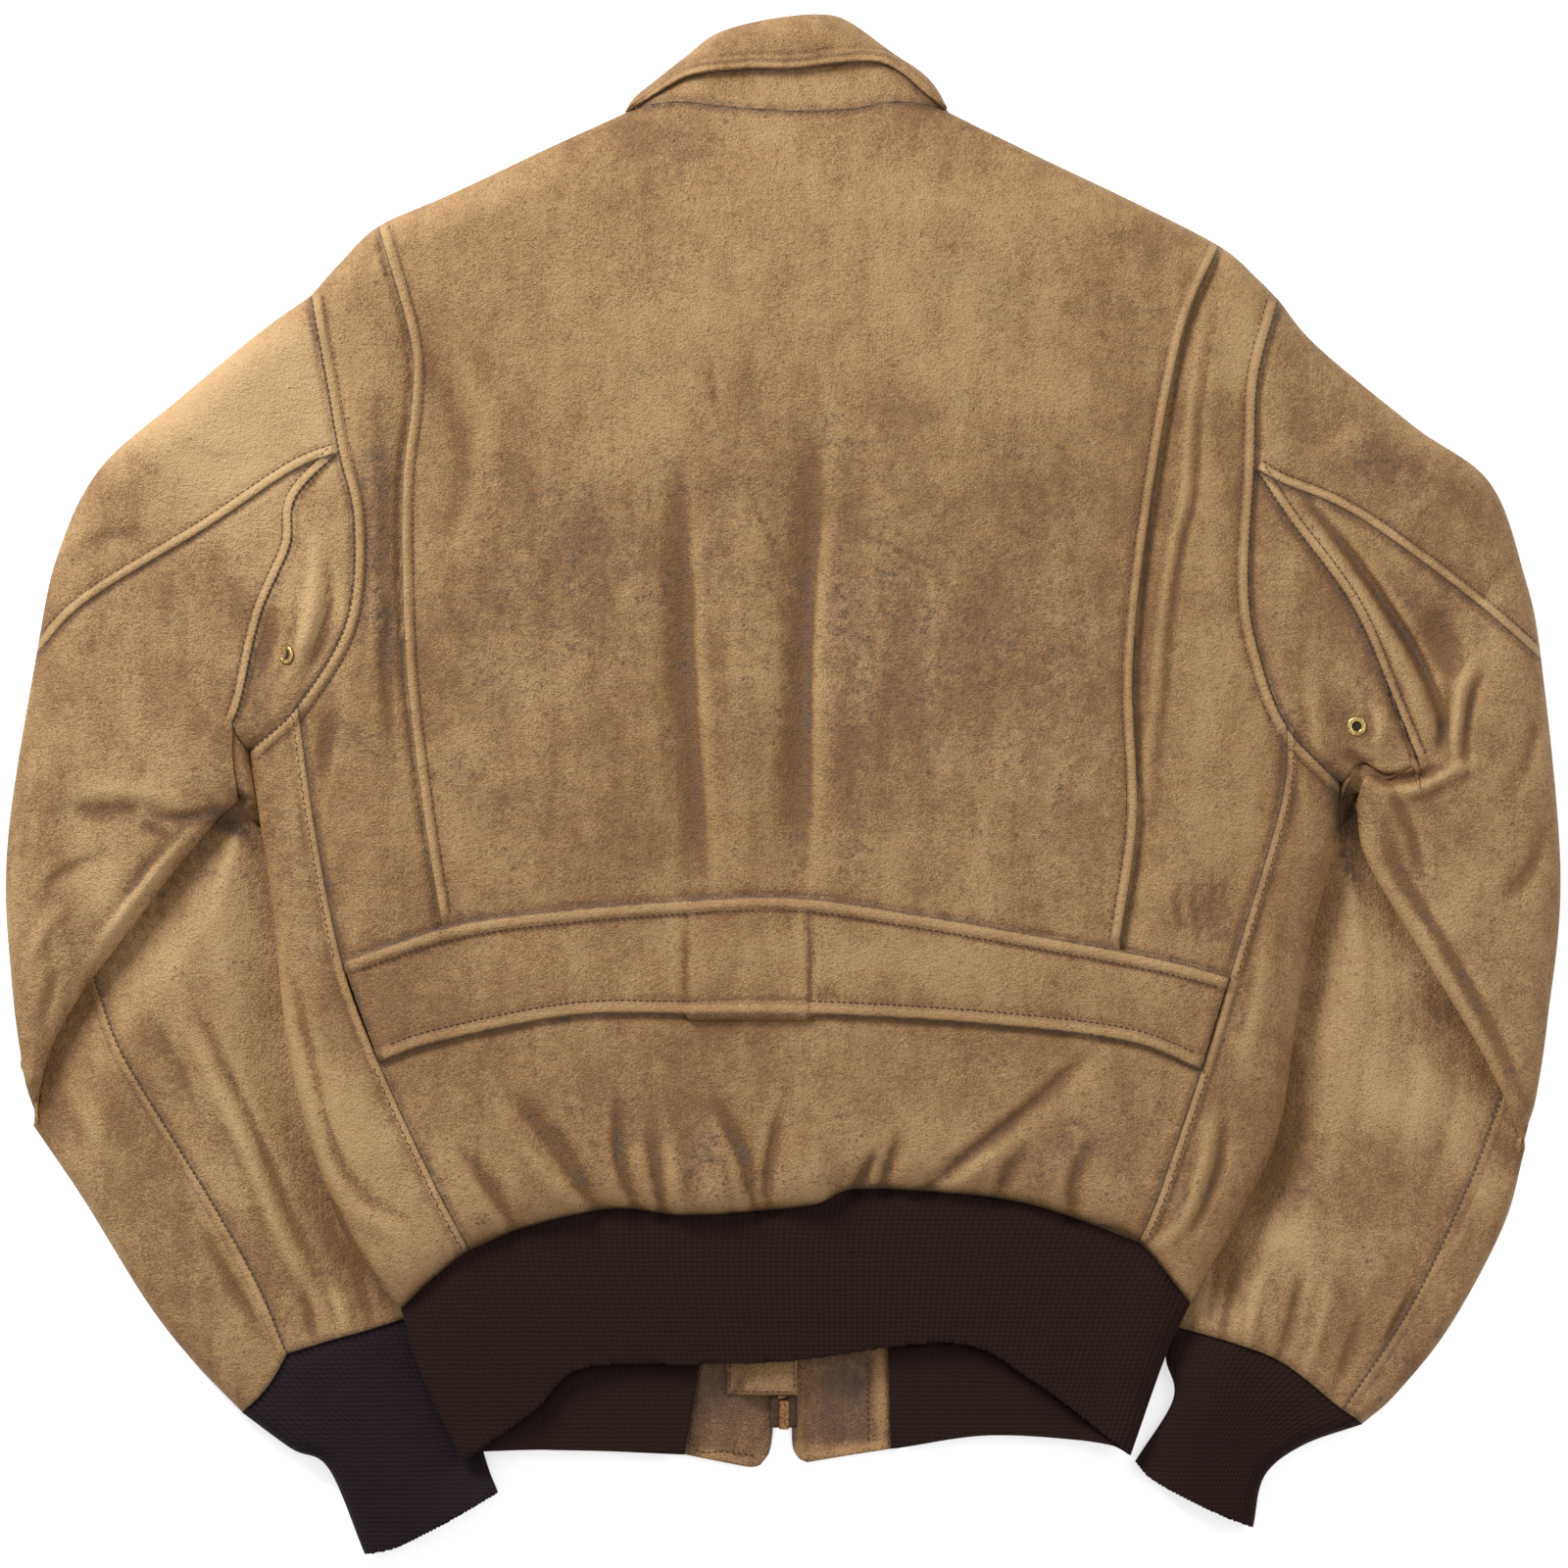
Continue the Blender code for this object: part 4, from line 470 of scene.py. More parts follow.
# %% Creases of the back, arms and forearms
CREASES = [
    (((-56, 172), (-55, 143), (-52, 51), (-46, -20), (-44, -62)), 9, -2.6),
    (((-51, 150), (-47, 60), (-40, -52)), 3.2, -0.9),
    (((16, 176), (12, 120), (9, 76), (8, 25), (7, -60)), 9, -2.8),
    (((19, 150), (14, 70), (13, -50)), 3.0, -0.9),
    (((-20, 165), (-22, 60), (-21, -40)), 14, 1.0),
    (((-84, 160), (-80, 60), (-82, -50)), 16, 0.7),
    (((44, 170), (42, 60), (48, -50)), 14, 0.8),
    (((-38, 219), (-36, 200), (-33, 184)), 1.4, -0.6),
    (((-20, 158), (-8, 130), (5, 102)), 1.4, -0.6),
    (((38, 130), (60, 121), (82, 110)), 1.2, -0.5),
    (((206, -50), (204, -62), (207, -76)), 1.1, -0.7),
    (((214, -47), (212, -60), (215, -72), (213, -86)), 1.1, -0.7),
    (((222, -45), (223, -58), (220, -72)), 1.1, -0.7),
    (((229, -50), (227, -64)), 1.1, -0.6),
    (((18, -103), (20, -113)), 1.4, -0.8),
    (((22, -103), (24, -113)), 1.4, -0.8),
    (((26, -104), (28, -113)), 1.4, -0.7),
    (((-190, 226), (-172, 196), (-166, 160), (-176, 120)), 7, -1.0),
    (((-178, 236), (-158, 200), (-152, 160)), 8, 0.9),
    (((-88, -240), (-96, -223), (-108, -203), (-120, -185), (-145, -158)), 6, -2.0),
    (((-96, -240), (-104, -224), (-122, -203), (-140, -182)), 6, 1.2),
    (((-74, -238), (-78, -219), (-83, -205), (-86, -190), (-86, -158)), 4.5, -1.7),
    (((-62, -238), (-64, -219), (-67, -200), (-70, -182)), 4.5, -1.7),
    (((-54, -240), (-55, -222), (-57, -200), (-58, -178)), 6, 1.4),
    (((-12, -242), (-15, -223), (-18, -207), (-22, -192), (-36, -163)), 5, -2.0),
    (((-5, -242), (-7, -223), (-9, -210), (-8, -196), (-2, -166)), 4, -1.6),
    (((18, -240), (18, -220), (16, -200), (12, -176)), 10, 1.3),
    (((-36, -242), (-36, -222), (-38, -200)), 9, 1.2),
    (((30, -232), (35, -213), (40, -203), (48, -190)), 4, -2.0),
    (((49, -234), (50, -216), (53, -200), (60, -182)), 4.5, -1.8),
    (((56, -228), (66, -216), (80, -205), (94, -193), (128, -166), (161, -136)), 5, -1.7),
    (((74, -219), (92, -207), (110, -190)), 6, 1.0),
    (((107, -234), (110, -216), (116, -200), (128, -184)), 5, -1.4),
    (((-134, -248), (-140, -232), (-150, -214), (-166, -190)), 5, -1.6),
    (((147, -240), (148, -224), (150, -206), (158, -186)), 5, -1.4),
    (((-262, -96), (-251, -153), (-239, -197), (-225, -220), (-205, -231), (-190, -242)), 4.5, 1.6),
    (((-254, -100), (-243, -150), (-231, -192), (-214, -214), (-196, -224)), 4, -1.3),
    (((-236, -214), (-222, -240), (-203, -268)), 3, -1.3),
    (((222, -172), (218, -195), (207, -228), (190, -243)), 4.5, 1.6),
    (((229, -168), (226, -196), (214, -226), (200, -242)), 3.5, -1.2),
    (((252, -60), (246, -110), (236, -150)), 5, 1.0),
    (((219, 250), (211, 197), (208, 150), (202, 125), (196, 87), (193, 62), (192, 45), (187, 7), (184, -30)),
     3.4, 1.1),
    (((224, 248), (216, 197), (213, 150), (207, 125), (201, 87), (198, 50), (193, 7)), 3.0, -1.0),
    (((-244, 128), (-243, 104), (-245, 84), (-256, 68)), 5, 1.8),
    (((-237, 118), (-236, 90), (-244, 66), (-258, 46)), 3.5, -1.2),
    (((-247, 100), (-248, 82), (-252, 64), (-262, 46)), 5, 2.0),
    (((-263, 92), (-266, 74), (-271, 54)), 4.5, -1.5),
    (((-232, 40), (-236, 22), (-240, -4)), 5, -1.2),
    (((-215, 182), (-212, 130), (-213, 80), (-218, 30)), 6, 0.7),
    (((-203, 96), (-206, 60), (-203, 20)), 3, -0.8),
    (((258, 150), (274, 131), (290, 110), (305, 88), (318, 64), (328, 42), (335, 18)), 7, 2.4),
    (((272, 146), (292, 122), (310, 97), (326, 72), (338, 46), (345, 16)), 3.6, -2.8),
    (((338, 92), (343, 74), (346, 54)), 11, -2.6),
    (((300, 136), (322, 112), (340, 96)), 9, 0.9),
    (((360, 66), (351, 50), (350, 34), (347, 14)), 4.5, 1.8),
    (((363, 60), (357, 44), (354, 26), (355, 4)), 3.2, -1.5),
    (((345, 46), (343, 30), (339, 16)), 3, -1.2),
    (((298, 11), (306, 6), (314, 3), (330, 5), (346, 10)), 3.2, -2.2),
    (((314, -4), (328, -3), (346, 6), (362, 12)), 4, 1.8),
    (((306, 42), (309, 30), (307, 16)), 4, 1.4),
    (((291, 18), (299, 12), (308, 12)), 3, -1.2),
    (((256, 24), (262, 4), (266, -24)), 6, -1.2),
    (((272, 60), (276, 30), (280, 8)), 6, 1.2),
    (((-370, -12), (-352, -14), (-336, -12)), 5, -1.0),
    (((-328, -17), (-308, -17), (-288, -13)), 3.5, -1.5),
    (((-334, -20), (-326, -24), (-318, -27)), 3.0, -1.2),
    (((-366, -4), (-344, -5), (-312, -9)), 5, 1.2),
    (((-386, -60), (-376, -46), (-352, -36)), 4, -1.0),
    (((-300, -20), (-318, -36), (-342, -66), (-362, -96)), 5, 1.6),
    (((-312, -24), (-330, -44), (-352, -74)), 4, -1.3),
    (((-392, -96), (-384, -76), (-372, -62)), 4, 0.9),
    (((-357, -97), (-361, -108), (-366, -124)), 3, -1.3),
    (((-378, -96), (-382, -112), (-388, -130)), 4, -1.0),
    (((302, -18), (306, -44), (330, -84), (358, -132), (380, -180)), 6, 1.9),
    (((312, -16), (318, -42), (342, -82), (368, -128), (388, -170)), 4.5, -1.4),
    (((313, 5), (319, -10), (327, -28), (332, -52)), 3.2, -1.2),
    (((392, 40), (386, 12), (376, -10)), 5, -1.1),
    (((396, -20), (388, -44), (372, -62)), 5, -1.1),
    (((380, 120), (364, 100), (350, 92)), 6, -0.8),
    (((-372, 120), (-352, 128), (-330, 132)), 6, -0.7),
    (((-320, 190), (-300, 178), (-276, 172)), 8, 0.7),
    (((300, 190), (288, 176), (270, 168)), 8, 0.8),
    # The two grooves where the belt's middle part is sewn on.
    (((-50.5, -64), (-50.5, -92), (-50.5, -119)), 1.4, -0.8),
    (((13, -61), (14, -90), (13.5, -121)), 1.8, -1.1),
]
FORE_CREASES = [
    (((-313, -119), (-304, -138), (-293, -161), (-276, -197), (-264, -229), (-247, -263)), 6, 2.0),
    (((-303, -119), (-284, -160), (-268, -196), (-256, -226), (-240, -258)), 4, -1.4),
    (((-332, -114), (-316, -146), (-296, -186)), 6, -1.0),
    (((-256, -120), (-246, -160), (-226, -210)), 8, 0.9),
    (((-232, -222), (-218, -246), (-203, -272)), 5, 1.2),
    (((-300, -232), (-290, -254), (-274, -282)), 4, -1.2),
    (((-286, -244), (-276, -264), (-266, -290)), 3.5, 1.0),
    (((-250, -262), (-246, -276), (-244, -290)), 3, -1.3),
    (((-236, -258), (-231, -272), (-228, -286)), 3, 1.1),
    (((-222, -256), (-217, -270), (-214, -282)), 3, -1.3),
    (((-208, -252), (-203, -266), (-199, -278)), 3, 1.0),
    (((-375, -150), (-364, -170), (-348, -200)), 6, 1.0),
    (((340, -115), (341, -124)), 1.2, -1.0),
    (((346, -117), (347, -126)), 1.2, -1.0),
    (((286, -70), (284, -110), (272, -160)), 7, 0.6),
    (((300, -62), (306, -110), (300, -170)), 6, -0.5),
    (((330, -112), (334, -150), (318, -206)), 7, 0.6),
    (((350, -142), (344, -180), (326, -226)), 5, -0.5),
    (((366, -206), (350, -236), (330, -268)), 4.5, 0.6),
    (((226, -296), (229, -276), (234, -252)), 3, -1.0),
    (((240, -298), (244, -276), (250, -250)), 3, 0.8),
    (((255, -305), (262, -282), (268, -254)), 3, -0.9),
    (((270, -312), (277, -290), (284, -262)), 3.4, 0.8),
    (((284, -320), (292, -298), (300, -272)), 3.2, -0.8),
    (((216, -288), (219, -268), (224, -246)), 3, 1.0),
    (((310, -300), (318, -280), (328, -262)), 3.4, -1.0),
]
CREASE_DEPTH = 1.9


def creased(creases):
    """The creases on the map, each with a swelling height and a slightly lopsided section."""
    total = np.zeros(MAP)
    for points, half, height in creases:
        line = curve(points)
        away, side_of, run = near(line, 3 * half)
        share = run / lengths(line)[-1]
        swell = np.sin(np.pi * (0.04 + 0.92 * share)) ** 0.8
        width = half * (1 + 0.3 * side_of * np.sign(height))
        total += np.where(away < 3 * half, CREASE_DEPTH * height * swell * np.exp(-((away / width) ** 2)), 0)
    return total


TOP_CREASES, FORE_RELIEF = creased(CREASES), creased(FORE_CREASES)
print("creases:", len(CREASES) + len(FORE_CREASES), "deepest", round(TOP_CREASES.min(), 1), "mm")

# %% [markdown]
# Between the large creases, leather is never quite flat. Three sizes of unevenness, from the drape of a
# whole panel down to fine crumples, are added. They are stronger on the arms, where leather bends most.

# %% Unevenness and the relief of each layer
ARMS = ease((np.abs(MAP_X) - 225) / 60)
DRAPE = 1.0 * uneven(70, 110, 3) + 0.45 * uneven(26, 40, 7, 12) + 0.22 * uneven(11, 16, 11, -20)
CRUMPLE = 0.5 * uneven(18, 44, 19, 35) * ARMS + 0.16 * uneven(6, 9, 23, 25)
BELOW_HEM = ease((HEM_Y - MAP_Y) / 8)
LEATHER_ONLY = 1 - BELOW_HEM
KNIT_DRAPE = 0.5 * uneven(40, 60, 29)
TOP_RELIEF = (TOP_CREASES + BANDS["top"] + DRAPE + CRUMPLE) * LEATHER_ONLY + KNIT_DRAPE * BELOW_HEM
FORE_RELIEF = FORE_RELIEF + BANDS["fore"] + 0.5 * DRAPE + CRUMPLE
TOP_HIGH = CROWN + np.minimum(TOP_RELIEF, 4.0 + 0.3 * TOP_RELIEF)
print("relief from", round(TOP_RELIEF.min(), 1), "to", round(TOP_RELIEF.max(), 1), "mm")


# %% The heights that every skin reads
FORE_ROLL_SHARE = 0.45


def top_edge(plan):
    return np.maximum(read(TOP_EDGE, plan), 0)


def fore_edge(plan):
    return np.maximum(read(FORE_EDGE, plan), 0)


def middle(plan):
    return read(MIDDLE, plan)


def upper_top(plan):
    """The outer face of the back and the upper arms."""
    return middle(plan) + (read(TOP_HIGH, plan) - middle(plan)) * roll(top_edge(plan), ROLL_ABOVE)


def upper_bottom(plan):
    """The outer face of the fronts, under the jacket."""
    return middle(plan) - (middle(plan) - read(LIFT, plan)) * roll(top_edge(plan), ROLL_BELOW)


def fore_middle(plan):
    """The height of the forearm's rolled edge."""
    return FORE_ROLL_SHARE * read(FORE_CROWN, plan)


def forearm_top(plan):
    high, low = read(FORE_CROWN, plan), fore_middle(plan)
    rise = roll(fore_edge(plan), 0.55 * high)
    return low + (high + read(FORE_RELIEF, plan) * np.clip((high - 7) / 8, 0, 1) - low) * rise


def forearm_bottom(plan):
    low = fore_middle(plan)
    return low * (1 - roll(fore_edge(plan), low))


def sleeve_bottom(plan):
    """The sleeve's lower face, turned up to meet the rolled edge of the upper arm or the forearm."""
    upper = np.min([np.linalg.norm(plan[..., None, :] - SIDE[side]["outer_fold"][::3], axis=-1).min(-1)
                    for side in SIDE], axis=0)
    turned = middle(plan) * (1 - roll(upper, ROLL_BELOW))
    return np.maximum(turned, np.where(fore_edge(plan) < upper, forearm_bottom(plan), 0))


print("height at the middle of the back:", round(float(upper_top(np.array([[0.0, 0.0]]))[0]), 1), "mm")

# %% [markdown]
# ## From seam lines to skins
# A panel lies between four seams. A Coons patch fills the space between four lines with a grid that follows
# all of them, so the grid's edges are the seams and no leather sticks out past them. The grid is then given
# its heights from the map and a wall by Solidify, which keeps the outer face where it is.

# %% Even steps along a line, closer near a folded edge
STEP = 2.2
FOLDED = (0.12, 0.45, 1.0, 1.9, 3.2, 5.0)
SEWN_STEPS = (0.5, 1.3, 2.4, 3.6, 4.7, 5.6, 6.5, 8.0)
OVERLAP = 7.0
LAYER_STEP = 2.3


def stations(line, step=STEP, first=(), last=(), count=None):
    """Points along the line: close ones near an end that is folded, and even steps between."""
    whole = lengths(line)[-1]
    squeeze = min(1.0, 0.45 * whole / max([*first, *last, 0.001]))
    start = [0.0, *(d * squeeze for d in first)]
    end = [whole - d * squeeze for d in (*sorted(last, reverse=True), 0.0)]
    count = count or max(1, round((end[0] - start[-1]) / step))
    between = np.linspace(start[-1], end[0], count + 1)[1:-1]
    return at_lengths(line, [*start, *between, *end])


def matched(line, other):
    """As many points on the line as the other has, at the same shares of its length."""
    run = lengths(other)
    shares = run / run[-1] if run[-1] > 0.01 else np.linspace(0, 1, len(other))
    return at_lengths(line, shares * lengths(line)[-1])


def corner(point, count):
    """A row of no length: a corner where two lines of a piece meet."""
    return np.repeat(np.asarray(point, float)[None], count, axis=0)


print("rows on the left armhole:", len(stations(SIDE["left"]["armhole"])))


# %% A grid between four lines
def patch(first_row, last_row, first_column, last_column, fade=1.0):
    """A Coons patch. Rows run from the first row to the last; a larger fade lets the first row's shape
    die out sooner."""
    def shares(line, other):
        run = lengths(line) if lengths(line)[-1] > 0.01 else lengths(other)
        return run / run[-1]

    down = [shares(first_column, last_column)[:, None], shares(last_column, first_column)[:, None]]
    weight = 1 - (1 - (down[0] + down[1]) / 2) ** fade
    s = (1 - weight) * shares(first_row, last_row) + weight * shares(last_row, first_row)
    weight = (1 - (1 - (1 - s) * down[0] - s * down[1]) ** fade)[..., None]
    s = s[..., None]
    ruled = (1 - weight) * first_row[None] + weight * last_row[None]
    across = (1 - s) * first_column[:, None] + s * last_column[:, None]
    corners = ((1 - weight) * ((1 - s) * first_row[0] + s * first_row[-1])
               + weight * ((1 - s) * last_row[0] + s * last_row[-1]))
    return ruled + across - corners


def raised(grid, field, add=0.0):
    """The plan grid with a height for each point."""
    height = field(grid) if callable(field) else np.full(grid.shape[:2], float(field))
    return np.concatenate([grid, (height + add)[..., None]], axis=2)


def normals(grid):
    """The upward normal of each point of a grid."""
    normal = np.cross(np.gradient(grid, axis=1), np.gradient(grid, axis=0))
    normal *= np.where(normal[..., 2:] < 0, -1.0, 1.0)
    return normal / (np.linalg.norm(normal, axis=2)[..., None] + 1e-9)


def sunk(grid, amount):
    """The grid moved against its upward normals, by an amount for each point."""
    return grid - normals(grid) * np.broadcast_to(amount, grid.shape[:2])[..., None]


print("a patch of four lines is ready")

# %% [markdown]
# Each skin also carries numbers for its finish, one a point: how far it is from a seam, how much it is
# worn light or painted light, how much it is soaked dark or painted in shade, and whether it stands out as a
# ridge or lies in a trough. The finish turns them into colour: ridges rub pale and are painted lighter, and
# hollows, troughs and the edges beside lapped seams get painted shade.

# %% Ridges and hollows, where the leather is worn or dark, and where light and shade are painted
def soft_spots(spots):
    """Soft patches on the map: each has a middle, two half sizes, a turn and a strength."""
    total = np.zeros(MAP)
    for x, y, long, wide, turn, strength in spots:
        c, s = math.cos(math.radians(turn)), math.sin(math.radians(turn))
        u = ((MAP_X - x) * c + (MAP_Y - y) * s) / long
        v = ((MAP_Y - y) * c - (MAP_X - x) * s) / wide
        total += strength * np.exp(-(u * u + v * v))
    return total


# Paler patches: mostly wear; the first two, on the left shoulder cap, are a painted pool of light.
WORN_AND_LIT_SPOTS = [
    (-300, 180, 60, 40, -35, 1.2), (-262, 215, 46, 26, -40, 0.8), (-222, 225, 14, 50, 10, 0.5),
    (236, 238, 42, 14, -75, 0.9), (0, 265, 150, 60, 0, 0.55), (-215, -195, 50, 26, -62, 0.8),
    (-240, -160, 34, 14, -70, 0.9), (300, -150, 62, 34, -62, 0.35), (-290, -205, 70, 20, -62, 0.3),
    (-350, 40, 60, 30, -80, 0.3), (370, 60, 60, 22, -80, 0.3), (0, -90, 200, 18, 0, 0.4),
    (-110, 200, 50, 40, 0, 0.2), (-248, 100, 14, 40, 10, 0.7), (300, 205, 60, 30, 35, 0.2),
    (-345, -60, 44, 14, -52, 0.5), (345, -60, 60, 14, 62, 0.5), (0, 360, 90, 16, 0, 0.2),
    (215, 110, 14, 80, 0, 0.4), (-234, 190, 12, 30, 10, 0.6), (-270, -100, 12, 60, 10, 0.4),
    (-228, 100, 6, 60, 0, 0.5), (316, -163, 18, 22, -30, 0.9), (270, -236, 22, 16, 0, 0.7),
    (228, -274, 14, 10, 0, 0.6), (30, -347, 26, 4, 6, 1.4), (-35, -350, 20, 3, -8, 0.9),
    (51, -318, 4, 30, 0, 1.2), (8, -335, 3, 20, 0, 1.0),
]
# Darker patches of the leather, and painted shade: in the underarm valleys, beside the left pleat, along the
# creases where the upper arms lie over the forearms, in the back's two long troughs and beside the belt's
# raised middle.
DARK_AND_SHADE_SPOTS = [
    (-100, 120, 34, 50, 20, 0.45), (-55, 265, 34, 20, 0, 0.3), (100, 260, 44, 22, -20, 0.25),
    (0, 90, 110, 90, 0, 0.4), (-180, -75, 26, 14, 10, 0.5), (215, -75, 18, 22, 0, 0.6),
    (-210, 120, 7, 60, 0, 0.9), (-204, 80, 6, 30, 0, 0.5), (255, -255, 40, 24, 20, 0.45),
    (311, 165, 20, 12, -30, 0.9), (214, -62, 10, 18, 0, 0.5), (-232, 26, 12, 12, 0, 0.6),
    (0, -205, 170, 22, 0, 0.6), (330, -300, 30, 18, 60, 0.4), (-270, -40, 22, 40, 10, 0.3),
    (60, 60, 50, 90, 0, 0.3), (-150, 60, 30, 80, 0, 0.25), (140, 40, 36, 90, 0, 0.4),
    (338, 76, 12, 22, 20, 0.8), (-276, 60, 8, 50, 10, 0.5), (305, 60, 8, 50, -20, 0.4),
    (150, -180, 40, 22, 30, 0.5), (-52, 60, 5, 110, 0, 0.2), (11, 60, 5, 110, 0, 0.2),
    (33, 30, 9, 90, 0, 0.35), (-80, -180, 60, 20, 0, 0.3), (-330, -18, 40, 6, 0, 0.5),
    (-318, -48, 44, 7, 52, 0.7), (330, -60, 50, 7, -62, 0.7), (290, -12, 6, 15, 15, 2.6),
    (294, -42, 5, 20, 15, 1.6), (-281, -10, 4, 18, 0, 0.8), (288, 120, 60, 6, -52, 0.3),
    (-210, 150, 9, 80, 0, 0.8), (-206, 40, 6, 40, 0, 0.3), (331, -121, 24, 22, 0, 0.6),
    (263, -205, 22, 26, 0, 0.5), (18, -90, 4, 34, 0, 0.7), (34, -312, 14, 18, 0, 1.0),
    (-36, -318, 12, 14, 0, 0.8), (-290, -20, 5, 12, 50, 2.0),
]
WORN_AND_LIT, DARK_AND_SHADE = soft_spots(WORN_AND_LIT_SPOTS), soft_spots(DARK_AND_SHADE_SPOTS)
TOP_SHAPE = CROWN + TOP_RELIEF
OUT_FINE, OUT_WIDE = TOP_SHAPE - blur(TOP_SHAPE, 4), TOP_SHAPE - blur(TOP_SHAPE, 12)
FORE_ALL = FORE_CROWN + FORE_RELIEF
FORE_FINE, FORE_WIDE = FORE_ALL - blur(FORE_ALL, 4), FORE_ALL - blur(FORE_ALL, 12)
print("worn up to", round(WORN_AND_LIT.max(), 2), "and dark up to", round(DARK_AND_SHADE.max(), 2))

# %% Skins
PIECES = {}
WALLS = {"leather": 1.3, "knit": 2.0, "tab": 2.4, "tape": 0.9}


def mesh_of(name, points, faces, marks=None):
    """An object of millimetre points and faces, with the finish's numbers on its points."""
    mesh = bpy.data.meshes.new(name)
    mesh.from_pydata((np.asarray(points) * MM).tolist(), [], faces)
    for mark, values in (marks or {}).items():
        mesh.attributes.new(mark, "FLOAT", "POINT").data.foreach_set("value", np.asarray(values, np.float32))
    mesh.polygons.foreach_set("use_smooth", np.ones(len(mesh.polygons), bool))
    made = bpy.data.objects.new(name, mesh)
    bpy.context.scene.collection.objects.link(made)
    PIECES[name] = made
    return made


def wrapped(grid):
    """The faces of one grid of points, in rows."""
    rows, columns = grid.shape[:2]
    index = np.arange(rows * columns).reshape(rows, columns)
    return np.stack([index[:-1, :-1], index[:-1, 1:], index[1:, 1:], index[1:, :-1]], axis=-1).reshape(-1, 4)


FLAT = np.zeros(MAP)
RELIEFS = {"top": (OUT_FINE, OUT_WIDE), "fore": (FORE_FINE, FORE_WIDE), "floor": (FLAT, FLAT)}


def marks_of(grid, layer):
    """The finish's numbers for the points of a grid."""
    plan = grid.reshape(-1, 3)[:, :2]
    fine, wide = RELIEFS[layer]
    seam, lap = np.full(len(plan), SEAM_REACH), np.ones(len(plan))
    if layer != "floor":
        seam, lap = read(SEAM_NEAR[layer], plan), read(SEAM_SIDE[layer], plan)
        # Beside a seam, the distance with its sign reads sharper between the map's samples.
        signed = np.abs(read(SEAM_NEAR[layer] * SEAM_SIDE[layer], plan))
        seam = np.where(seam < 3, signed, seam)
    return {"seam": seam, "lap": lap, "ridge": read(fine, plan), "hill": read(wide, plan),
            "worn": read(WORN_AND_LIT, plan), "dark": read(DARK_AND_SHADE, plan)}


def facing_faces(grid, up):
    """The grid's faces, turned so that together they look up or down."""
    faces = wrapped(grid)
    a, b, c, d = grid.reshape(-1, 3)[faces].transpose(1, 0, 2)
    looks_up = np.cross(c - a, d - b)[:, 2].sum() > 0
    return faces if looks_up == up else faces[:, ::-1]


def skin(name, grids, wall="leather", layers=None, ribs=None):
    """One piece of cloth from its grids, joined where they share an edge, with the wall put on inside.
    A grid on the floor looks down and every other one looks up."""
    layers = layers or ["top"] * len(grids)
    points = np.concatenate([grid.reshape(-1, 3) for grid in grids])
    starts = np.cumsum([0] + [grid.shape[0] * grid.shape[1] for grid in grids])
    faces = np.concatenate([facing_faces(grid, layer != "floor") + start
                            for grid, layer, start in zip(grids, layers, starts)])
    each = [marks_of(grid, layer) for grid, layer in zip(grids, layers)]
    marks = {mark: np.concatenate([part[mark] for part in each]) for mark in each[0]}
    if ribs is not None:
        marks["rib"] = np.concatenate([rib.ravel() for rib in ribs])
    made = mesh_of(name, points, faces.tolist(), marks)
    tidy = bmesh.new()
    tidy.from_mesh(made.data)
    bmesh.ops.remove_doubles(tidy, verts=tidy.verts, dist=0.03 * MM)
    bmesh.ops.dissolve_degenerate(tidy, edges=tidy.edges, dist=0.01 * MM)
    tidy.to_mesh(made.data)
    tidy.free()
    thick = made.modifiers.new("wall", "SOLIDIFY")
    thick.thickness = WALLS[wall] * MM
    thick.offset = -1
    return made


print("walls in mm:", WALLS)

# %% [markdown]
# ## The back
# The centre back is one panel from the neck to the half belt. At each side it is folded under at a pleat, so
# it lies over the side back and can open when the arms reach forward. The pleat is its grid's own edge: the
# side panel passes under it and is sunk by a leather's thickness or two, which leaves a real step.

# %% Columns of the back
BACK_COLUMNS = ((-178, -211), (-150, -166), (-122, -121), (-96, -76), (-70, -69), (-46, -62), (-20, -20),
                (7, 20), (32, 44), (60, 62), (92, 80), (120, 129), (147, 177), (174, 226))
SKIRT_COLUMNS = ((-178, -142), (-147, -120), (-122, -98), (-95, -80), (-70, -64), (-46, -45), (-22, -15),
                 (7, 8), (32, 35), (60, 50), (92, 66), (120, 95), (147, 125), (174, 155))


def columns_between(table, count, close=()):
    """Columns at the belt, even but closer beside both edges, and where each meets its panel's other end.
    Each pair of the table is such a column, at the belt and at the other end."""
    at_belt, at_end = np.array(table, float).T
    first, last = at_belt[0] + np.array([0.0, *close]), at_belt[-1] - np.array([*close[::-1], 0.0])
    x = np.concatenate([first, np.linspace(first[-1], last[0], count + 1)[1:-1], last])
    return x, np.interp(x, at_belt, at_end)


def shifted(points, dy):
    return points + np.array([0.0, dy])


BELT_X, NECK_X = columns_between(BACK_COLUMNS, 172, SEWN_STEPS)
top = at_x(join(LEFT["shoulder"][::-1], BACK["neck_seam"], RIGHT["shoulder"]), NECK_X)
low = shifted(at_x(BACK["belt_top"], BELT_X), -OVERLAP)
sides = []
for side, end in (("left", 0), ("right", -1)):
    edge = np.vstack([SIDE[side]["pleat"], low[end]])
    sides.append(stations(edge, first=FOLDED, count=176))
top[0], top[-1] = sides[0][0], sides[1][0]
centre = raised(patch(top, low, *sides), upper_top)
skin("back_centre_skin", [centre])
print("centre back:", centre.shape)

# %% [markdown]
# The side backs are narrow panels between the pleats and the armholes. One grid each would do, but it has to
# pass under the centre back without cutting through it. Each is therefore sunk along the pleat by a layer,
# and comes level again towards the armhole and at the shoulder, where its edge lies on the front's.

# %% The side backs
SEAMS = {}


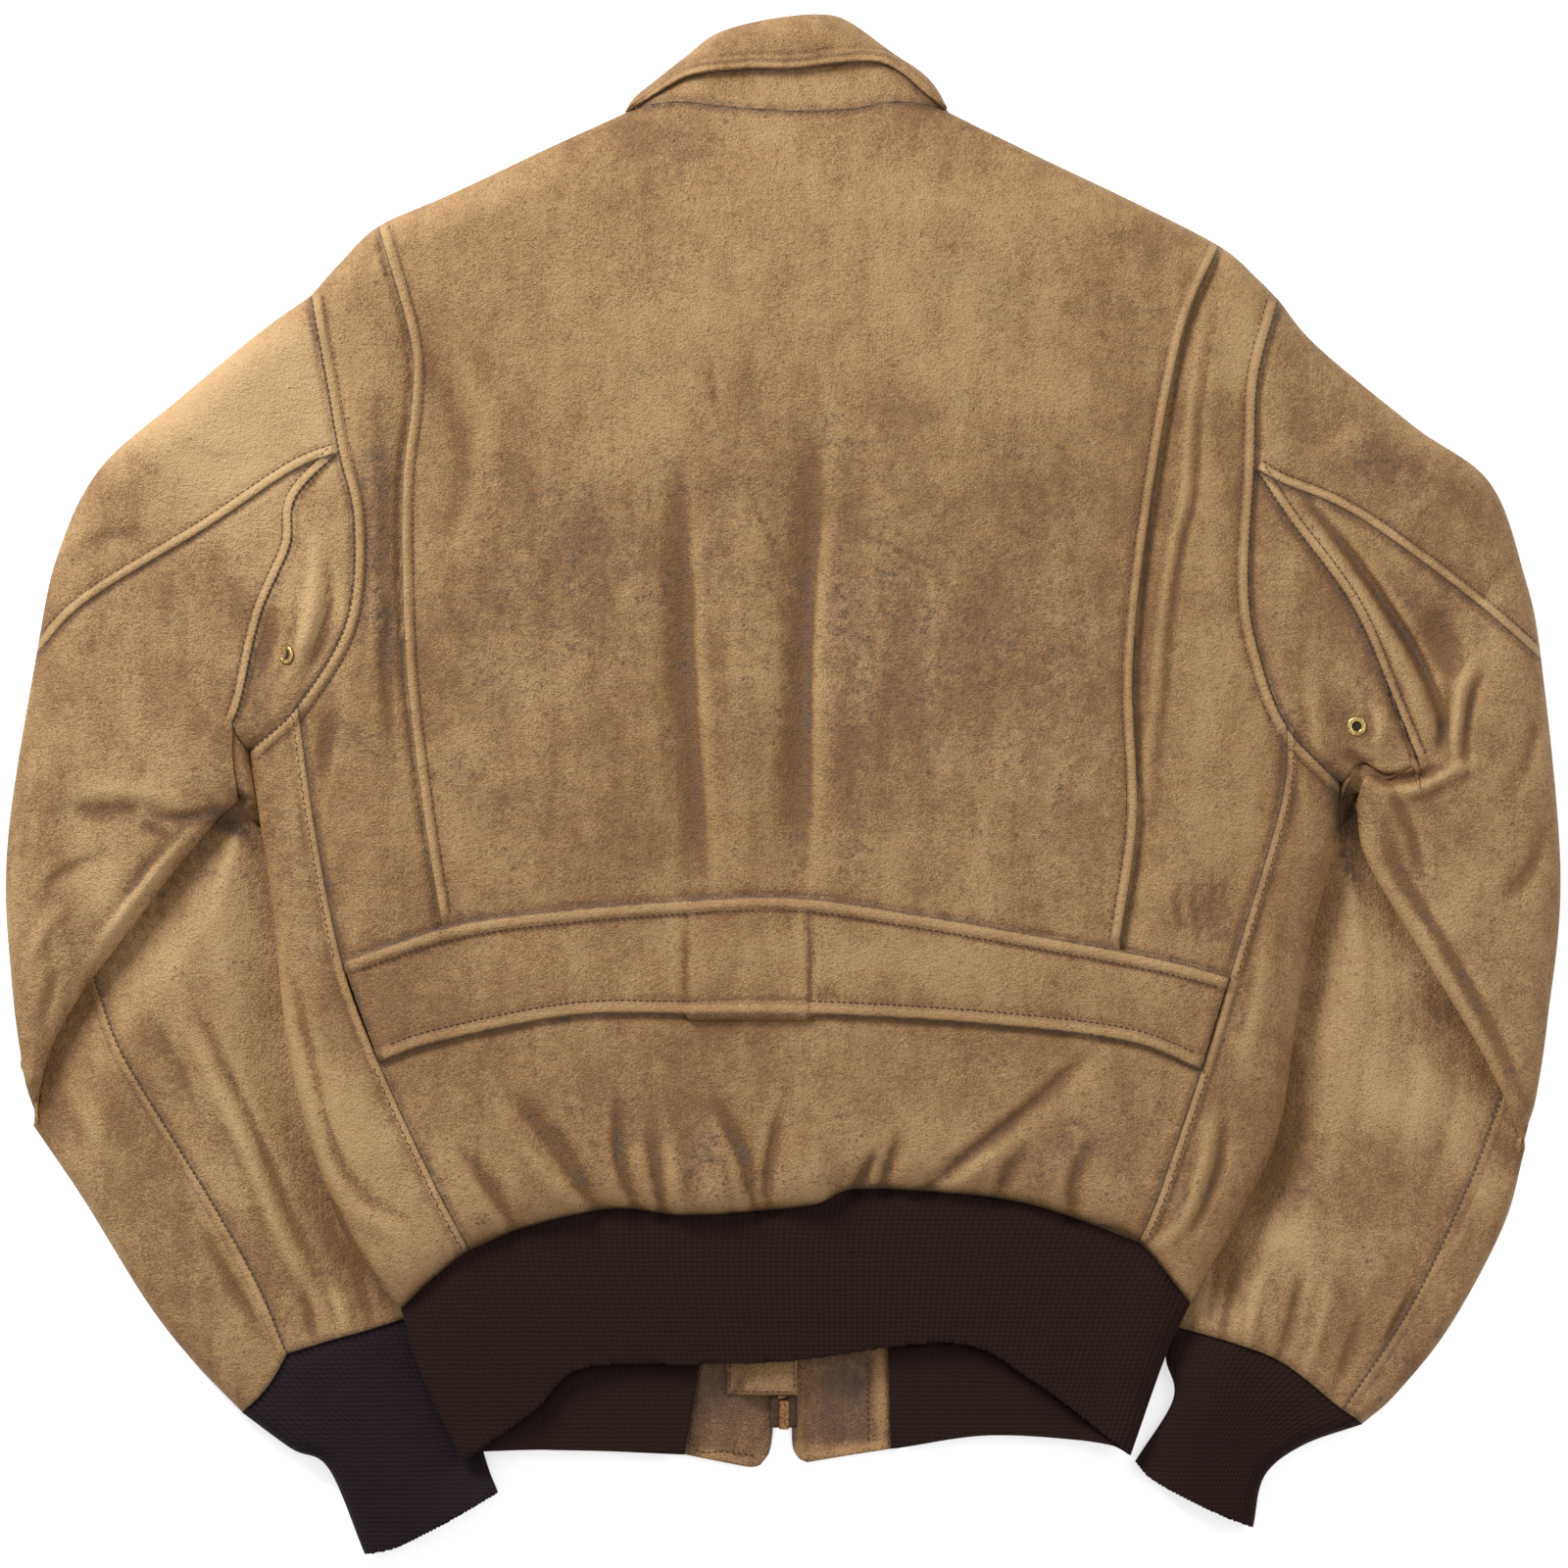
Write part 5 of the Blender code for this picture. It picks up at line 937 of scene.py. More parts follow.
def side_seams(side):
    """The lines of one side, cut where panels meet."""
    line = SIDE[side]
    cap, rest = split(line["armhole"], line["hind_seam"][0])
    gusset, low_part = split(rest, line["side_seam"][0])
    fold_cap, fold_low = split(line["outer_fold"], line["hind_seam"][-1])
    ends = slice(None) if side == "left" else slice(None, None, -1)
    upper, rest = split(line["side_seam"], BACK["belt_top"][ends][0])
    belt_part, lower = split(rest, BACK["belt_bottom"][ends][0])
    hem = split(BACK["hem"][ends], line["side_seam"][-1])[0][::-1]
    return dict(armhole_cap=cap, armhole_gusset=gusset, armhole_low=low_part, fold_cap=fold_cap,
                fold_low=fold_low, side_upper=upper, side_belt=belt_part, side_lower=lower, hem_part=hem)


for side in SIDE:
    line, part = SIDE[side], side_seams(side)
    SEAMS[side] = part
    tucked = aside(line["pleat"], OVERLAP * TOWARDS_CENTRE[side])
    belt_tuck = at_lengths(part["side_belt"], np.linspace(0, OVERLAP, 4))
    outer_line = join(part["armhole_cap"], part["armhole_gusset"], part["side_upper"], belt_tuck)
    outer = stations(outer_line, first=FOLDED)
    shoulder = stations(split(line["shoulder"], tucked[0])[1], 1.6, last=SEWN_STEPS)
    low_line = shifted(at_x(BACK["belt_top"], np.linspace(tucked[-1][0], outer[-1][0], 24)), -OVERLAP)
    low_line[-1] = outer[-1]
    inner = matched(np.vstack([shoulder[0], tucked[1:], low_line[0]]), outer)
    plan = patch(shoulder, matched(low_line, shoulder), inner, outer)
    pleat_x = np.abs(np.interp(plan[..., 1], line["pleat"][::-1, 1], line["pleat"][::-1, 0]))
    away = np.abs(plan[..., 0]) - pleat_x
    depth = LAYER_STEP * (1 - ease(away / 22.0)) + 0.6 * np.exp(-((away / 3.0) ** 2))
    below_shoulder = np.linalg.norm(plan - plan[:1], axis=-1)
    depth *= 0.2 + 0.8 * ease(below_shoulder / 12.0)
    skin(f"back_side_skin_{side}", [sunk(raised(plan, upper_top), depth)])
    print(f"side back, {side}:", plan.shape)

# %% [markdown]
# ## The half belt and the skirt
# The half belt is a strip sewn over the back at the waist, with both edges turned and stitched. The skirt
# below it is gathered onto the knit band. Each edge of the belt is a soft raised roll, so the belt's grid
# gets closer rows there. A third piece of leather covers the belt's middle, a little higher again.

# %% The half belt
ENDS = {side: np.array([SEAMS[side]["side_belt"][0], SEAMS[side]["side_belt"][-1]]) for side in SIDE}
rows = []
for name, at in (("belt_top", 0), ("belt_bottom", 1)):
    x = np.linspace(ENDS["left"][at][0], ENDS["right"][at][0], 216)
    row = at_x(BACK[name], x)
    row[0], row[-1] = ENDS["left"][at], ENDS["right"][at]
    rows.append(row)
across = np.concatenate([[0, 0.004, 0.015, 0.035, 0.06, 0.09], np.linspace(0.12, 0.88, 22),
                         [0.91, 0.94, 0.965, 0.985, 0.996, 1.0]])
belt = raised(np.stack([rows[0] + share * (rows[1] - rows[0]) for share in across]), upper_top)
wide = np.linalg.norm(rows[1] - rows[0], axis=1)
away = np.minimum(across, 1 - across)[:, None] * wide[None]
belt_rise = LAYER_STEP - 0.5 - 0.5 * (1 - ease(away / 1.0))
MIDDLE_LEFT, MIDDLE_RIGHT = -51, 15
middle_part = ease((belt[..., 0] - MIDDLE_LEFT) / 2.0) * ease((MIDDLE_RIGHT - belt[..., 0]) / 2.0)
low_edge = ease((across[:, None] - 0.7) / 0.2)
belt = sunk(belt, -(belt_rise + middle_part * (0.5 + 0.7 * low_edge)))
belt[..., 1] -= 2.2 * middle_part * low_edge
skin("back_belt_skin", [belt])
print("belt:", belt.shape, "with a middle width of", round(float(wide[108]), 1), "mm")

# %% The skirt
def skirt_side(part):
    """The skirt's edge along the side seam, from under the belt to the hem."""
    belt_end = lengths(part["side_belt"])[-1]
    under_belt = at_lengths(part["side_belt"], np.linspace(belt_end - OVERLAP, belt_end, 4))
    return stations(join(under_belt, part["side_lower"]), count=64)


BELT_X, HEM_X = columns_between(SKIRT_COLUMNS, 200)
left, right = skirt_side(SEAMS["left"]), skirt_side(SEAMS["right"])
top = shifted(at_x(BACK["belt_bottom"], [left[0][0], *BELT_X, right[0][0]]), OVERLAP)
hem = at_x(BACK["hem"], [left[-1][0], *HEM_X, right[-1][0]])
top[0], top[-1], hem[0], hem[-1] = left[0], right[0], left[-1], right[-1]
fill = np.linspace(0, 1, 18)[:, None]
top, hem = (join(row[0] + fill * (row[1] - row[0]), row[1:-1], row[-2] + fill * (row[-1] - row[-2]))
            for row in (top, hem))
skirt = raised(patch(top, hem, left, right), upper_top)
skin("back_skirt_skin", [skirt])
print("skirt:", skirt.shape)

# %% [markdown]
# ## The fronts, wrapped round the sides
# A front lies under the jacket and turns up round the folded side as far as the side seam. It is made as two
# grids that share the folded edge: a coarse one on the floor, and a fine one for the strip that shows.

# %% The fronts
FLOOR_STEP = 7.0
ARMPIT_Y = 10.0
ELBOW_DROP = 20.0
for side in SIDE:
    line, part = SIDE[side], SEAMS[side]
    centre_x = line["neckline"][0][0]
    top = stations(join(line["neckline"], line["shoulder"]), FLOOR_STEP, last=FOLDED)
    hem_line = np.vstack([line["front_hem"], (centre_x, line["front_hem"][-1][1])])[::-1]
    fold = stations(line["body_fold"], STEP)
    armhole = stations(line["front_armhole"], FLOOR_STEP, first=FOLDED)
    outer = join(armhole, fold)
    centre_line = np.array([top[0], hem_line[0]])
    high, below = split(centre_line, (centre_x, ARMPIT_Y))
    middle_line = join(matched(high, armhole), matched(below, fold))
    under = raised(patch(top, matched(hem_line, top), middle_line, outer, fade=3.0), upper_bottom)
    side_line = matched(join(part["side_upper"], part["side_belt"], part["side_lower"]), fold)
    low_armhole = stations(part["armhole_low"], first=SEWN_STEPS[:-1], last=FOLDED)
    wrap = raised(patch(low_armhole, matched(part["hem_part"], low_armhole), side_line, fold), upper_top)
    shared = middle(fold)
    under[-len(fold):, -1, 2] = shared
    wrap[:, -1] = under[-len(fold):, -1]
    under[:len(armhole) - 1, -1, 2] -= 0.5
    skin(f"front_skin_{side}", [under, wrap], layers=["floor", "top"])
    print(f"front, {side}:", under.shape, wrap.shape)

# %% [markdown]
# ## The sleeves
# A two-piece sleeve has a top sleeve on the outside of the arm and an under sleeve inside, joined by a
# hind-arm and a fore-arm seam. The arms lie bent, so the upper arm covers the start of the forearm along a
# crease. The top sleeve shows as the shoulder cap and as a strip along the forearm, and passes under
# everything between, so it is three grids that share the rolled edge.

# %% The top sleeves
def every_other(points):
    """Half as many points, with both ends kept."""
    return np.vstack([points[:-1:2], points[-1:]])


for side in SIDE:
    line, part = SIDE[side], SEAMS[side]
    hind = stations(line["hind_seam"], first=SEWN_STEPS, last=FOLDED)
    cap_edge = stations(part["fold_cap"], first=(2.0, 5.0), last=SEWN_STEPS)
    cap_plan = patch(corner(cap_edge[0], len(hind)), hind, matched(part["armhole_cap"], cap_edge), cap_edge)
    cap = raised(cap_plan, upper_top)
    fore = stations(line["forearm_outer"])
    top_row = stations(line["forearm_top_outer"], first=SEWN_STEPS[:4], last=FOLDED)
    strip = raised(patch(top_row, matched(line["cuff_seam_outer"], top_row),
                         matched(line["fore_seam"], fore), fore), forearm_top)
    cap_half, fore_half = every_other(cap_edge), every_other(fore)
    outer = join(cap_half, stations(part["fold_low"], FLOOR_STEP), fore_half)
    inner = matched(join(line["front_armhole"], line["forearm_inner"]), outer)
    cuff_row = stations(join(line["cuff_seam_inner"][::-1], line["cuff_seam_outer"]), FLOOR_STEP, last=FOLDED)
    under = raised(patch(corner(outer[0], len(cuff_row)), cuff_row, inner, outer), sleeve_bottom)
    between = slice(len(cap_half), len(outer) - len(fore_half))
    joined = 1 - ease((np.linalg.norm(outer[between] - fore[0], axis=1) - 4.0) / ELBOW_DROP)
    low_height = middle(outer[between]) - 1.0
    under[between, -1, 2] = low_height + joined * (fore_middle(outer[between]) - low_height)
    under[:len(cap_half), -1, 2] = middle(cap_half)
    under[-len(fore_half):, -1, 2] = fore_middle(fore_half)
    cap[:, -1, 2] = middle(cap_edge)
    strip[:, -1, 2] = fore_middle(fore)
    skin(f"sleeve_top_skin_{side}", [cap, under, strip], layers=["top", "floor", "fore"])
    print(f"top sleeve, {side}:", cap.shape, strip.shape, under.shape)

# %% [markdown]
# The under sleeve ends at the crease of the bent arm, where the leather turns under and runs on into the
# forearm. A grid that simply stopped there would show its raw edge, so a second grid, the lip, carries on
# from the crease and turns in below. At the elbow's tip both are laid down on the forearm.

# %% The under sleeves, with a lip that turns under at the crease
LIP_STEPS = (0.0, 0.12, 0.5, 1.2, 2.4, 4.0, 6.0, 8.5)


def laid_down(grid, tip, above):
    """The grid with its end at the elbow's tip brought down onto the forearm."""
    share = 1 - ease((np.linalg.norm(grid[..., :2] - tip, axis=-1) - 4.0) / ELBOW_DROP)
    grid[..., 2] += share * (forearm_top(grid[..., :2]) + above - grid[..., 2])
    return grid


for side in SIDE:
    line, part = SIDE[side], SEAMS[side]
    gusset_part = stations(line["gusset_seam"], first=SEWN_STEPS)
    inner = join(gusset_part, stations(line["sleeve_corner"], last=FOLDED))
    fold = matched(part["fold_low"], inner)
    hind = stations(line["hind_seam"], first=SEWN_STEPS, last=FOLDED)
    crease_edge = matched(line["crease"], hind)
    grid = raised(patch(hind, crease_edge, inner, fold), upper_top)
    grid[:, -1, 2] = middle(fold) + 0.3
    tip = line["crease"][-1]
    grid = laid_down(grid, tip, 1.2)
    inwards = -TOWARDS_CENTRE[side]
    room = np.minimum(1.0, (lengths(crease_edge)[-1] - lengths(crease_edge)) / 30.0)[:, None]
    turned = [crease_edge + room * (aside(crease_edge, inwards * away) - crease_edge)
              for away in LIP_STEPS]
    lip = laid_down(raised(np.stack(turned), upper_bottom), tip, 0.3)
    lip[0] = grid[-1]
    lip = lip[:, :-3]
    skin(f"sleeve_under_skin_{side}", [grid, lip], layers=["top", "floor"])
    print(f"under sleeve, {side}:", grid.shape)

# %% [markdown]
# Under each arm, spare leather is folded in between the body and the upper arm. It isn't a panel of its own,
# but without it one would look through to the floor. A small grid hangs there like a hammock and steps down
# onto the forearm.

# %% The folded-in leather under each arm
STEP_DOWN = {"left": (0.46, 0.74), "right": (0.0, 0.6)}
for side in SIDE:
    line = SIDE[side]
    down_body = at_lengths(line["body_fold"], np.linspace(0, 54, 40))
    down_arm = at_lengths(line["crease"], np.linspace(0, 40, 20))
    arm_side = matched(join(line["sleeve_corner"], down_arm), down_body)
    head = stations(line["gusset_end"], 1.4)
    foot = matched(np.array([down_body[-1], arm_side[-1]]), head)
    share = np.linspace(0, 1, len(down_body))
    start, end = STEP_DOWN[side]
    lower, under = ease((share - start) / (end - start)), 3.1 * ease((share - 0.62) / 0.38)
    lines = [raised(head[None], upper_top, -1.5)[0], raised(foot[None], forearm_top, -2.5)[0]]
    for row, field in ((down_body, middle), (arm_side, upper_top)):
        height = (1 - lower) * (field(row) - 1.1) + lower * (forearm_top(row) + 0.6) - under
        lines.append(np.concatenate([row, height[:, None]], axis=1))
    head_row, foot_row, body_side, sleeve_side = lines
    head_row[0], head_row[-1] = body_side[0], sleeve_side[0]
    foot_row[0], foot_row[-1] = body_side[-1], sleeve_side[-1]
    tuck = patch(*lines)
    sag = np.sin(np.pi * np.linspace(0, 1, tuck.shape[1]))[None] * np.sin(np.pi * share)[:, None]
    tuck[..., 2] -= (0.3 + 1.2 * lower[:, None]) * sag
    skin(f"underarm_fold_{side}", [tuck])
    print(f"underarm fold, {side}:", tuck.shape)

# %% [markdown]
# Past the crease the same leather is the forearm, a plain tube that lies flat. One grid on its upper face is
# enough, and it starts well under the upper arm.

# %% The forearms
for side in SIDE:
    line = SIDE[side]
    top = stations(line["forearm_top_inner"], 3.0, first=SEWN_STEPS, last=FOLDED)
    seam = stations(line["fore_seam"])
    plan = patch(top, matched(line["cuff_seam_inner"], top), seam, matched(line["forearm_inner"], seam))
    grid = raised(plan, forearm_top)
    skin(f"forearm_skin_{side}", [grid], layers=["fore"])
    print(f"forearm, {side}:", grid.shape)

# %% [markdown]
# ## The underarm gussets
# A football gusset is a pointed oval let in under the arm so that the arm can rise without pulling the body
# up. Its upper point is a corner where a row of the grid has no length. Each gusset carries a brass
# eyelet, which lets air through.

# %% The gussets
for side in SIDE:
    line, part = SIDE[side], SEAMS[side]
    armhole = stations(join(part["armhole_gusset"], part["armhole_low"]))
    end = stations(line["gusset_end"], 1.4)
    armhole[-1], gusset_line = end[0], matched(line["gusset_seam"], armhole)
    grid = raised(patch(corner(armhole[0], len(end)), end, armhole, gusset_line), upper_top)
    skin(f"gusset_skin_{side}", [grid])
    print(f"gusset, {side}:", grid.shape)

# %% [markdown]
# ## Rib knit
# The waistband and cuffs are a double rib knit: raised columns of stitches with deep furrows between. A
# furrow must be seen from the side too, so the ribs are modelled: the grid's columns run with the knit, four
# to a rib, and every column is raised or lowered along its normal. The stitches come from the finish.

# %% Ribs
RIB = 3.3
RIB_SAMPLES = 4
RIB_HIGH = 0.5


def rib_count(line):
    return RIB_SAMPLES * round(lengths(line)[-1] / RIB)


def ribbed(grid, run):
    """The grid with its columns raised into ribs, and how high each point stands on its rib."""
    phase = (1 + np.cos(2 * math.pi * run / RIB)) / 2
    high = np.broadcast_to(phase**0.8, grid.shape[:2])
    return sunk(grid, -RIB_HIGH * (high - 0.5)), high


print("ribs across the band:", round(lengths(BACK["hem"])[-1] / RIB))

# %% The cuffs
CUFF_ENDS = (0.5, 1.4)
for side in SIDE:
    line = SIDE[side]
    seam_line = join(line["cuff_seam_inner"][::-1], line["cuff_seam_outer"])
    seam_row = stations(seam_line, count=rib_count(seam_line))
    run = np.arange(len(seam_row)) * RIB / RIB_SAMPLES
    inner = stations(line["cuff_inner"], 2.6, last=CUFF_ENDS)
    outer = matched(line["cuff_outer"], inner)
    plan = patch(seam_row, matched(line["cuff_end"][::-1], seam_row), inner, outer)
    upper, lower = raised(plan, forearm_top), raised(plan[:, ::2], forearm_bottom)
    share = np.linspace(0, 1, len(plan))[:, None]
    swell = 0.9 * np.sin(math.pi * np.clip(share * 1.15, 0, 1)) - 1.2 * (1 - ease(share / 0.1))
    away = np.clip(fore_edge(plan) / 8, 0, 1)
    upper = sunk(upper, -swell * away)
    upper, high = ribbed(upper, run)
    lower[:, 0], lower[:, -1] = upper[:, 0], upper[:, -1]
    no_ribs = np.full(lower.shape[:2], 0.5)
    skin(f"cuff_skin_{side}", [upper, lower], "knit", ["fore", "floor"], ribs=[high, no_ribs])
    print(f"cuff, {side}:", upper.shape)

# %% [markdown]
# The waistband is one knitted tube, pressed flat. Its back is ribbed, and its two front parts lie on the
# floor, share the folded side edges with it and end at the waist tabs.

# %% The waistband, whose front ends meet the waist tabs
KNIT_ENDS = {"left": ((-37.9, -269), (-51.8, -349)), "right": ((53.3, -269), (55.6, -346))}
edges = [stations(SIDE[side]["band_edge"], last=CUFF_ENDS, count=30) for side in SIDE]
hem = stations(BACK["hem"], count=rib_count(BACK["hem"]))
run = np.arange(len(hem)) * RIB / RIB_SAMPLES
plan = patch(hem, matched(BACK["band_low"], hem), *edges)
share = np.linspace(0, 1, len(plan))[:, None]
swell = 1.0 * np.sin(math.pi * share) - 1.4 * (1 - ease(share / 0.12))
back_band = raised(plan, upper_top)
back_band = sunk(back_band, -swell * np.clip(top_edge(plan) / 8, 0, 1))
back_band, high = ribbed(back_band, run)
grids, ribs = [back_band], [high]
for side, edge, at in (("left", edges[0], 0), ("right", edges[1], -1)):
    line = SIDE[side]
    hem_end, low_end = KNIT_ENDS[side]
    row = stations(np.vstack([line["front_hem"][:-4], hem_end]), count=rib_count(line["front_hem"]) // 2)
    low = matched(np.vstack([line["front_band_low"][:-1], low_end]), row)
    end = matched(np.array([row[-1], low[-1]]), edge)
    front = raised(patch(row, low, edge, end), upper_bottom)
    run = np.arange(len(row)) * RIB / 2
    high = np.broadcast_to((1 + np.cos(2 * math.pi * run / RIB)) / 2, front.shape[:2])
    front[:, 0] = back_band[:, at]
    grids.append(front)
    ribs.append(high)
skin("waistband_skin", grids, "knit", ["top", "floor", "floor"], ribs=ribs)
print("waistband:", back_band.shape, "and two front parts of", front.shape)

# %% [markdown]
# ## Collar
# A shirt-style leather collar has a stand, sewn to the neck seam, and a fall that turns over the stand's top.
# Lying face down, the fall shows as a band above and the stand as a narrow strip below it. The fall is one
# grid that runs from its lower edge, over the roll and a little way down behind.

# %% The stand and the fall
STAND_DROP = 2.6


def between_rows(row, other, shares):
    return np.stack([row + share * (other - row) for share in shares])


whole = BACK["collar_roll"]
roll_line = at_lengths(whole, np.linspace(1.0, lengths(whole)[-1] - 1.0, 120))
edge = matched(BACK["fall_edge"], roll_line)
shares = np.concatenate([[0, 0.01, 0.03, 0.06], np.linspace(0.09, 0.51, 15), np.linspace(0.56, 0.85, 8),
                         [0.9, 0.94, 0.97, 0.985, 0.995, 1]])
fall = raised(between_rows(edge, roll_line, shares), upper_top)
wide = np.linalg.norm(roll_line - edge, axis=1)[None]
away = shares[:, None] * wide * np.maximum(1.0, 9.0 / (wide + 0.1))
first_roll = np.sin(np.pi * np.clip(away / 3.4, 0, 1)) ** 0.7
second_roll = np.sin(np.pi * np.clip((away - 3.5) / 4.0, 0, 1)) ** 0.8
fall[..., 2] += 0.3 + 1.0 * first_roll + 0.7 * second_roll - 0.9 * (1 - ease(away / 0.9))
towards = np.sin(np.linspace(0.0, math.pi, len(roll_line)))[:, None]
turned = []
for inside, drop in ((0.15, 0.7), (0.6, 1.6), (1.2, 2.4), (1.8, 3.0)):
    behind = roll_line[None] - np.array([0.0, 1.0]) * inside * towards
    turned.append(raised(behind, middle) - np.array([0.0, 0.0, drop]))
skin("collar_fall_skin", [np.concatenate([fall, *turned])])
print("collar fall:", fall.shape)

neck_row = at_x(BACK["neck_seam"], np.linspace(-76, 80, 60))
neck = matched(np.vstack([(-82.0, 349.2), neck_row, (84.6, 350.4)]), edge)
tuck = np.minimum(5.0, 0.5 * wide[0])[:, None]
stand_top = edge + (roll_line - edge) / (wide[0][:, None] + 1e-9) * tuck
share = np.linspace(0, 1, 20)[:, None]
stand = raised(between_rows(neck, stand_top, share[:, 0]), upper_top)
stand[..., 2] -= STAND_DROP * ease(share * 1.25) * ease(wide / 14) + 0.8 * share
skin("collar_stand_skin", [stand])
print("collar stand:", stand.shape)

# %% [markdown]
# The front ends of the collar lie folded under the jacket and show only from below, so a few rows between
# two lines are enough.

# %% The collar's front leaves and the ends of its stand
for side in SIDE:
    line = SIDE[side]
    leaf_roll = stations(line["leaf_roll"], FLOOR_STEP)
    leaf_edge = matched(line["leaf_edge"], leaf_roll)
    leaf = raised(between_rows(leaf_edge, leaf_roll, np.linspace(0, 0.95, 20)), 0.0)
    turned = raised(leaf_roll[None], 0.6)
    skin(f"collar_leaf_skin_{side}", [np.concatenate([leaf, turned])], layers=["floor"])
    neck = stations(line["neckline"], 3.0)
    stand_line = matched(line["leaf_roll"][::-1], neck)
    stand = raised(between_rows(neck, stand_line, np.linspace(0, 0.78, 8)), LEAF_LIFT)
    skin(f"collar_stand_front_skin_{side}", [stand], layers=["floor"])
print("leaves:", leaf.shape)

# %% [markdown]
# ## Waist tabs, wind flap and zip
# The knit band stops short of the zip; a leather tab fills each front end. They lie on the floor with their
# inner faces up, so their turned edges show. Each tab is one grid between four lines, a little rippled.

# %% The tabs
TAB_WIDE, TAB_LONG = 46, 80
TAB_HEIGHT, STRIP_X = 2.5, 44.5
TAB_LINES = {
    "left": (((-38.5, -269.4), (-7, -269.4)), ((-52.4, -349.3), (-34, -353), (-17, -356), (-12, -354.5)),
             ((-38.5, -269.4), (-52.4, -349.3)), ((-7, -269.4), (-5.5, -322), (-7, -346), (-12, -354.5))),
    "right": (((6, -269.4), (54.0, -269.4)), ((12, -353.5), (30, -350.5), (56.4, -346.3)),
              ((6, -269.4), (4, -336), (6.5, -350), (12, -353.5)), ((54.0, -269.4), (56.4, -346.3))),
}
for side, (top, low, inner, outer) in TAB_LINES.items():
    rows = [stations(curve(points), count=34) for points in (top, low)]
    columns = [stations(curve(points), first=(0.5, 1.2), last=(0.4, 1.0, 2.0), count=56)
               for points in (inner, outer)]
    grid = raised(patch(*rows, *columns), TAB_HEIGHT)
    x, y = grid[..., 0], grid[..., 1]
    down = np.linspace(0, 1, grid.shape[0])[:, None]
    across = np.linspace(0, 1, grid.shape[1])[None]
    rim = np.minimum(np.minimum(across, 1 - across) * TAB_WIDE, (1 - down) * TAB_LONG)
    grid[..., 2] += 0.5 * ease(rim / 1.5) * ease((7 - rim) / 3) - 1.0 * (1 - ease(rim / 1.2))
    strip = ease((x - STRIP_X) / 1.2) if side == "right" else np.zeros_like(x)
    ripple = 0.5 * np.sin(x / 7.0 + y / 23.0) * np.sin(y / 17.0 + 1.0) + 0.25 * np.sin(x / 2.9 - y / 9.0)
    grid[..., 2] += 0.9 * strip + ripple * ease(rim / 8)
    skin(f"waist_tab_skin_{side}", [grid], "tab")
print("tab:", grid.shape)

# %% [markdown]
# The wind flap is a long strip of leather behind the zip. It lies on the left front and passes over the
# teeth, and its lower end shows above the left tab. One grid follows what lies below it.

# %% The wind flap
def front_inner_face(plan):
    """The upper face of the fronts, or of the waist tabs below their hem."""
    wall = 1.6 + 1.2 * ease((-257.4 - plan[..., 1]) / 8.0)
    return read(LIFT, plan) + wall


TEETH_Z, TEETH_HIGH = 5.0, 2.5
FLAP_LEFT, FLAP_RIGHT, FLAP_LOW = -30.0, 7.0, -318.0
flap_x = np.concatenate([[FLAP_LEFT, -29.6, -28.8, -27.6], np.linspace(-26, 4.4, 22), [5.8, 6.6, FLAP_RIGHT]])
flap_y = np.concatenate([[FLAP_LOW, -317.6, -316.8, -315.6, -314], np.arange(-312, -240, 2.0),
                         np.arange(-238, 286, 6.0)])


def flap_top(plan):
    """The flap lies on the left front and passes over the zip's teeth."""
    on_front = front_inner_face(plan) + 2.0
    over_zip = TEETH_Z + TEETH_HIGH + 2.0 + 1.7 * ease((plan[..., 1] - 240.0) / 20.0)
    return on_front + ease((plan[..., 0] + 26.0) / 10.0) * np.maximum(over_zip - on_front, 0)


flap = raised(np.stack(np.meshgrid(flap_x, flap_y), axis=-1), flap_top)
rim = np.minimum(np.minimum(flap_x - FLAP_LEFT, FLAP_RIGHT - flap_x)[None], (flap_y - FLAP_LOW)[:, None])
flap[..., 2] += 0.4 * ease(rim / 1.5) * ease((6 - rim) / 2.5) - 0.6 * (1 - ease(rim / 1.0))
skin("wind_flap_skin", [flap])
print("wind flap:", flap.shape)

# %% [markdown]
# The zip is two cloth tapes with meshed metal teeth. The tapes are grids like the leather, narrower where
# they pass beside the tabs. The teeth are one outline, placed by turns on the left and on the right.

# %% The zip's tapes
BESIDE_TAB, UNDER_BOX = 10.6, 2.9
for side, sign in (("left", -1), ("right", 1)):
    tape_x = np.concatenate([[3.1, 4.0], np.linspace(5.3, 17.0, 8)])
    tape_y = np.concatenate([[-335.0, -333.5], np.arange(-331, 280, 4.0), [280.0]])
    plan = np.stack(np.meshgrid(tape_x, tape_y), axis=-1)
    at_tab, at_end = ease((-262.0 - tape_y) / 12.0)[:, None], ease((-308.0 - tape_y) / 8.0)[:, None]
    out_share = (tape_x - tape_x[0]) / (tape_x[-1] - tape_x[0])
    plan[..., 0] -= at_tab * out_share * BESIDE_TAB + at_end * UNDER_BOX * (out_share == 0)
    plan[..., 0] *= sign
    tape = raised(plan, front_inner_face, 1.4)
    tape[..., 2] += 0.8 * ease((tape[..., 1] - 150.0) / 40.0)
    near_teeth = ease((9.0 - np.abs(tape[..., 0])) / 4.0)
    tape[..., 2] += near_teeth * (TEETH_Z + (TEETH_HIGH + 1.0) / 2 - tape[..., 2])
    tape[..., 2] -= at_end * UNDER_BOX * (out_share == 0)
    skin(f"zip_tape_skin_{side}", [tape], "tape", layers=["floor"])
    print(f"zip tape, {side}:", tape.shape)

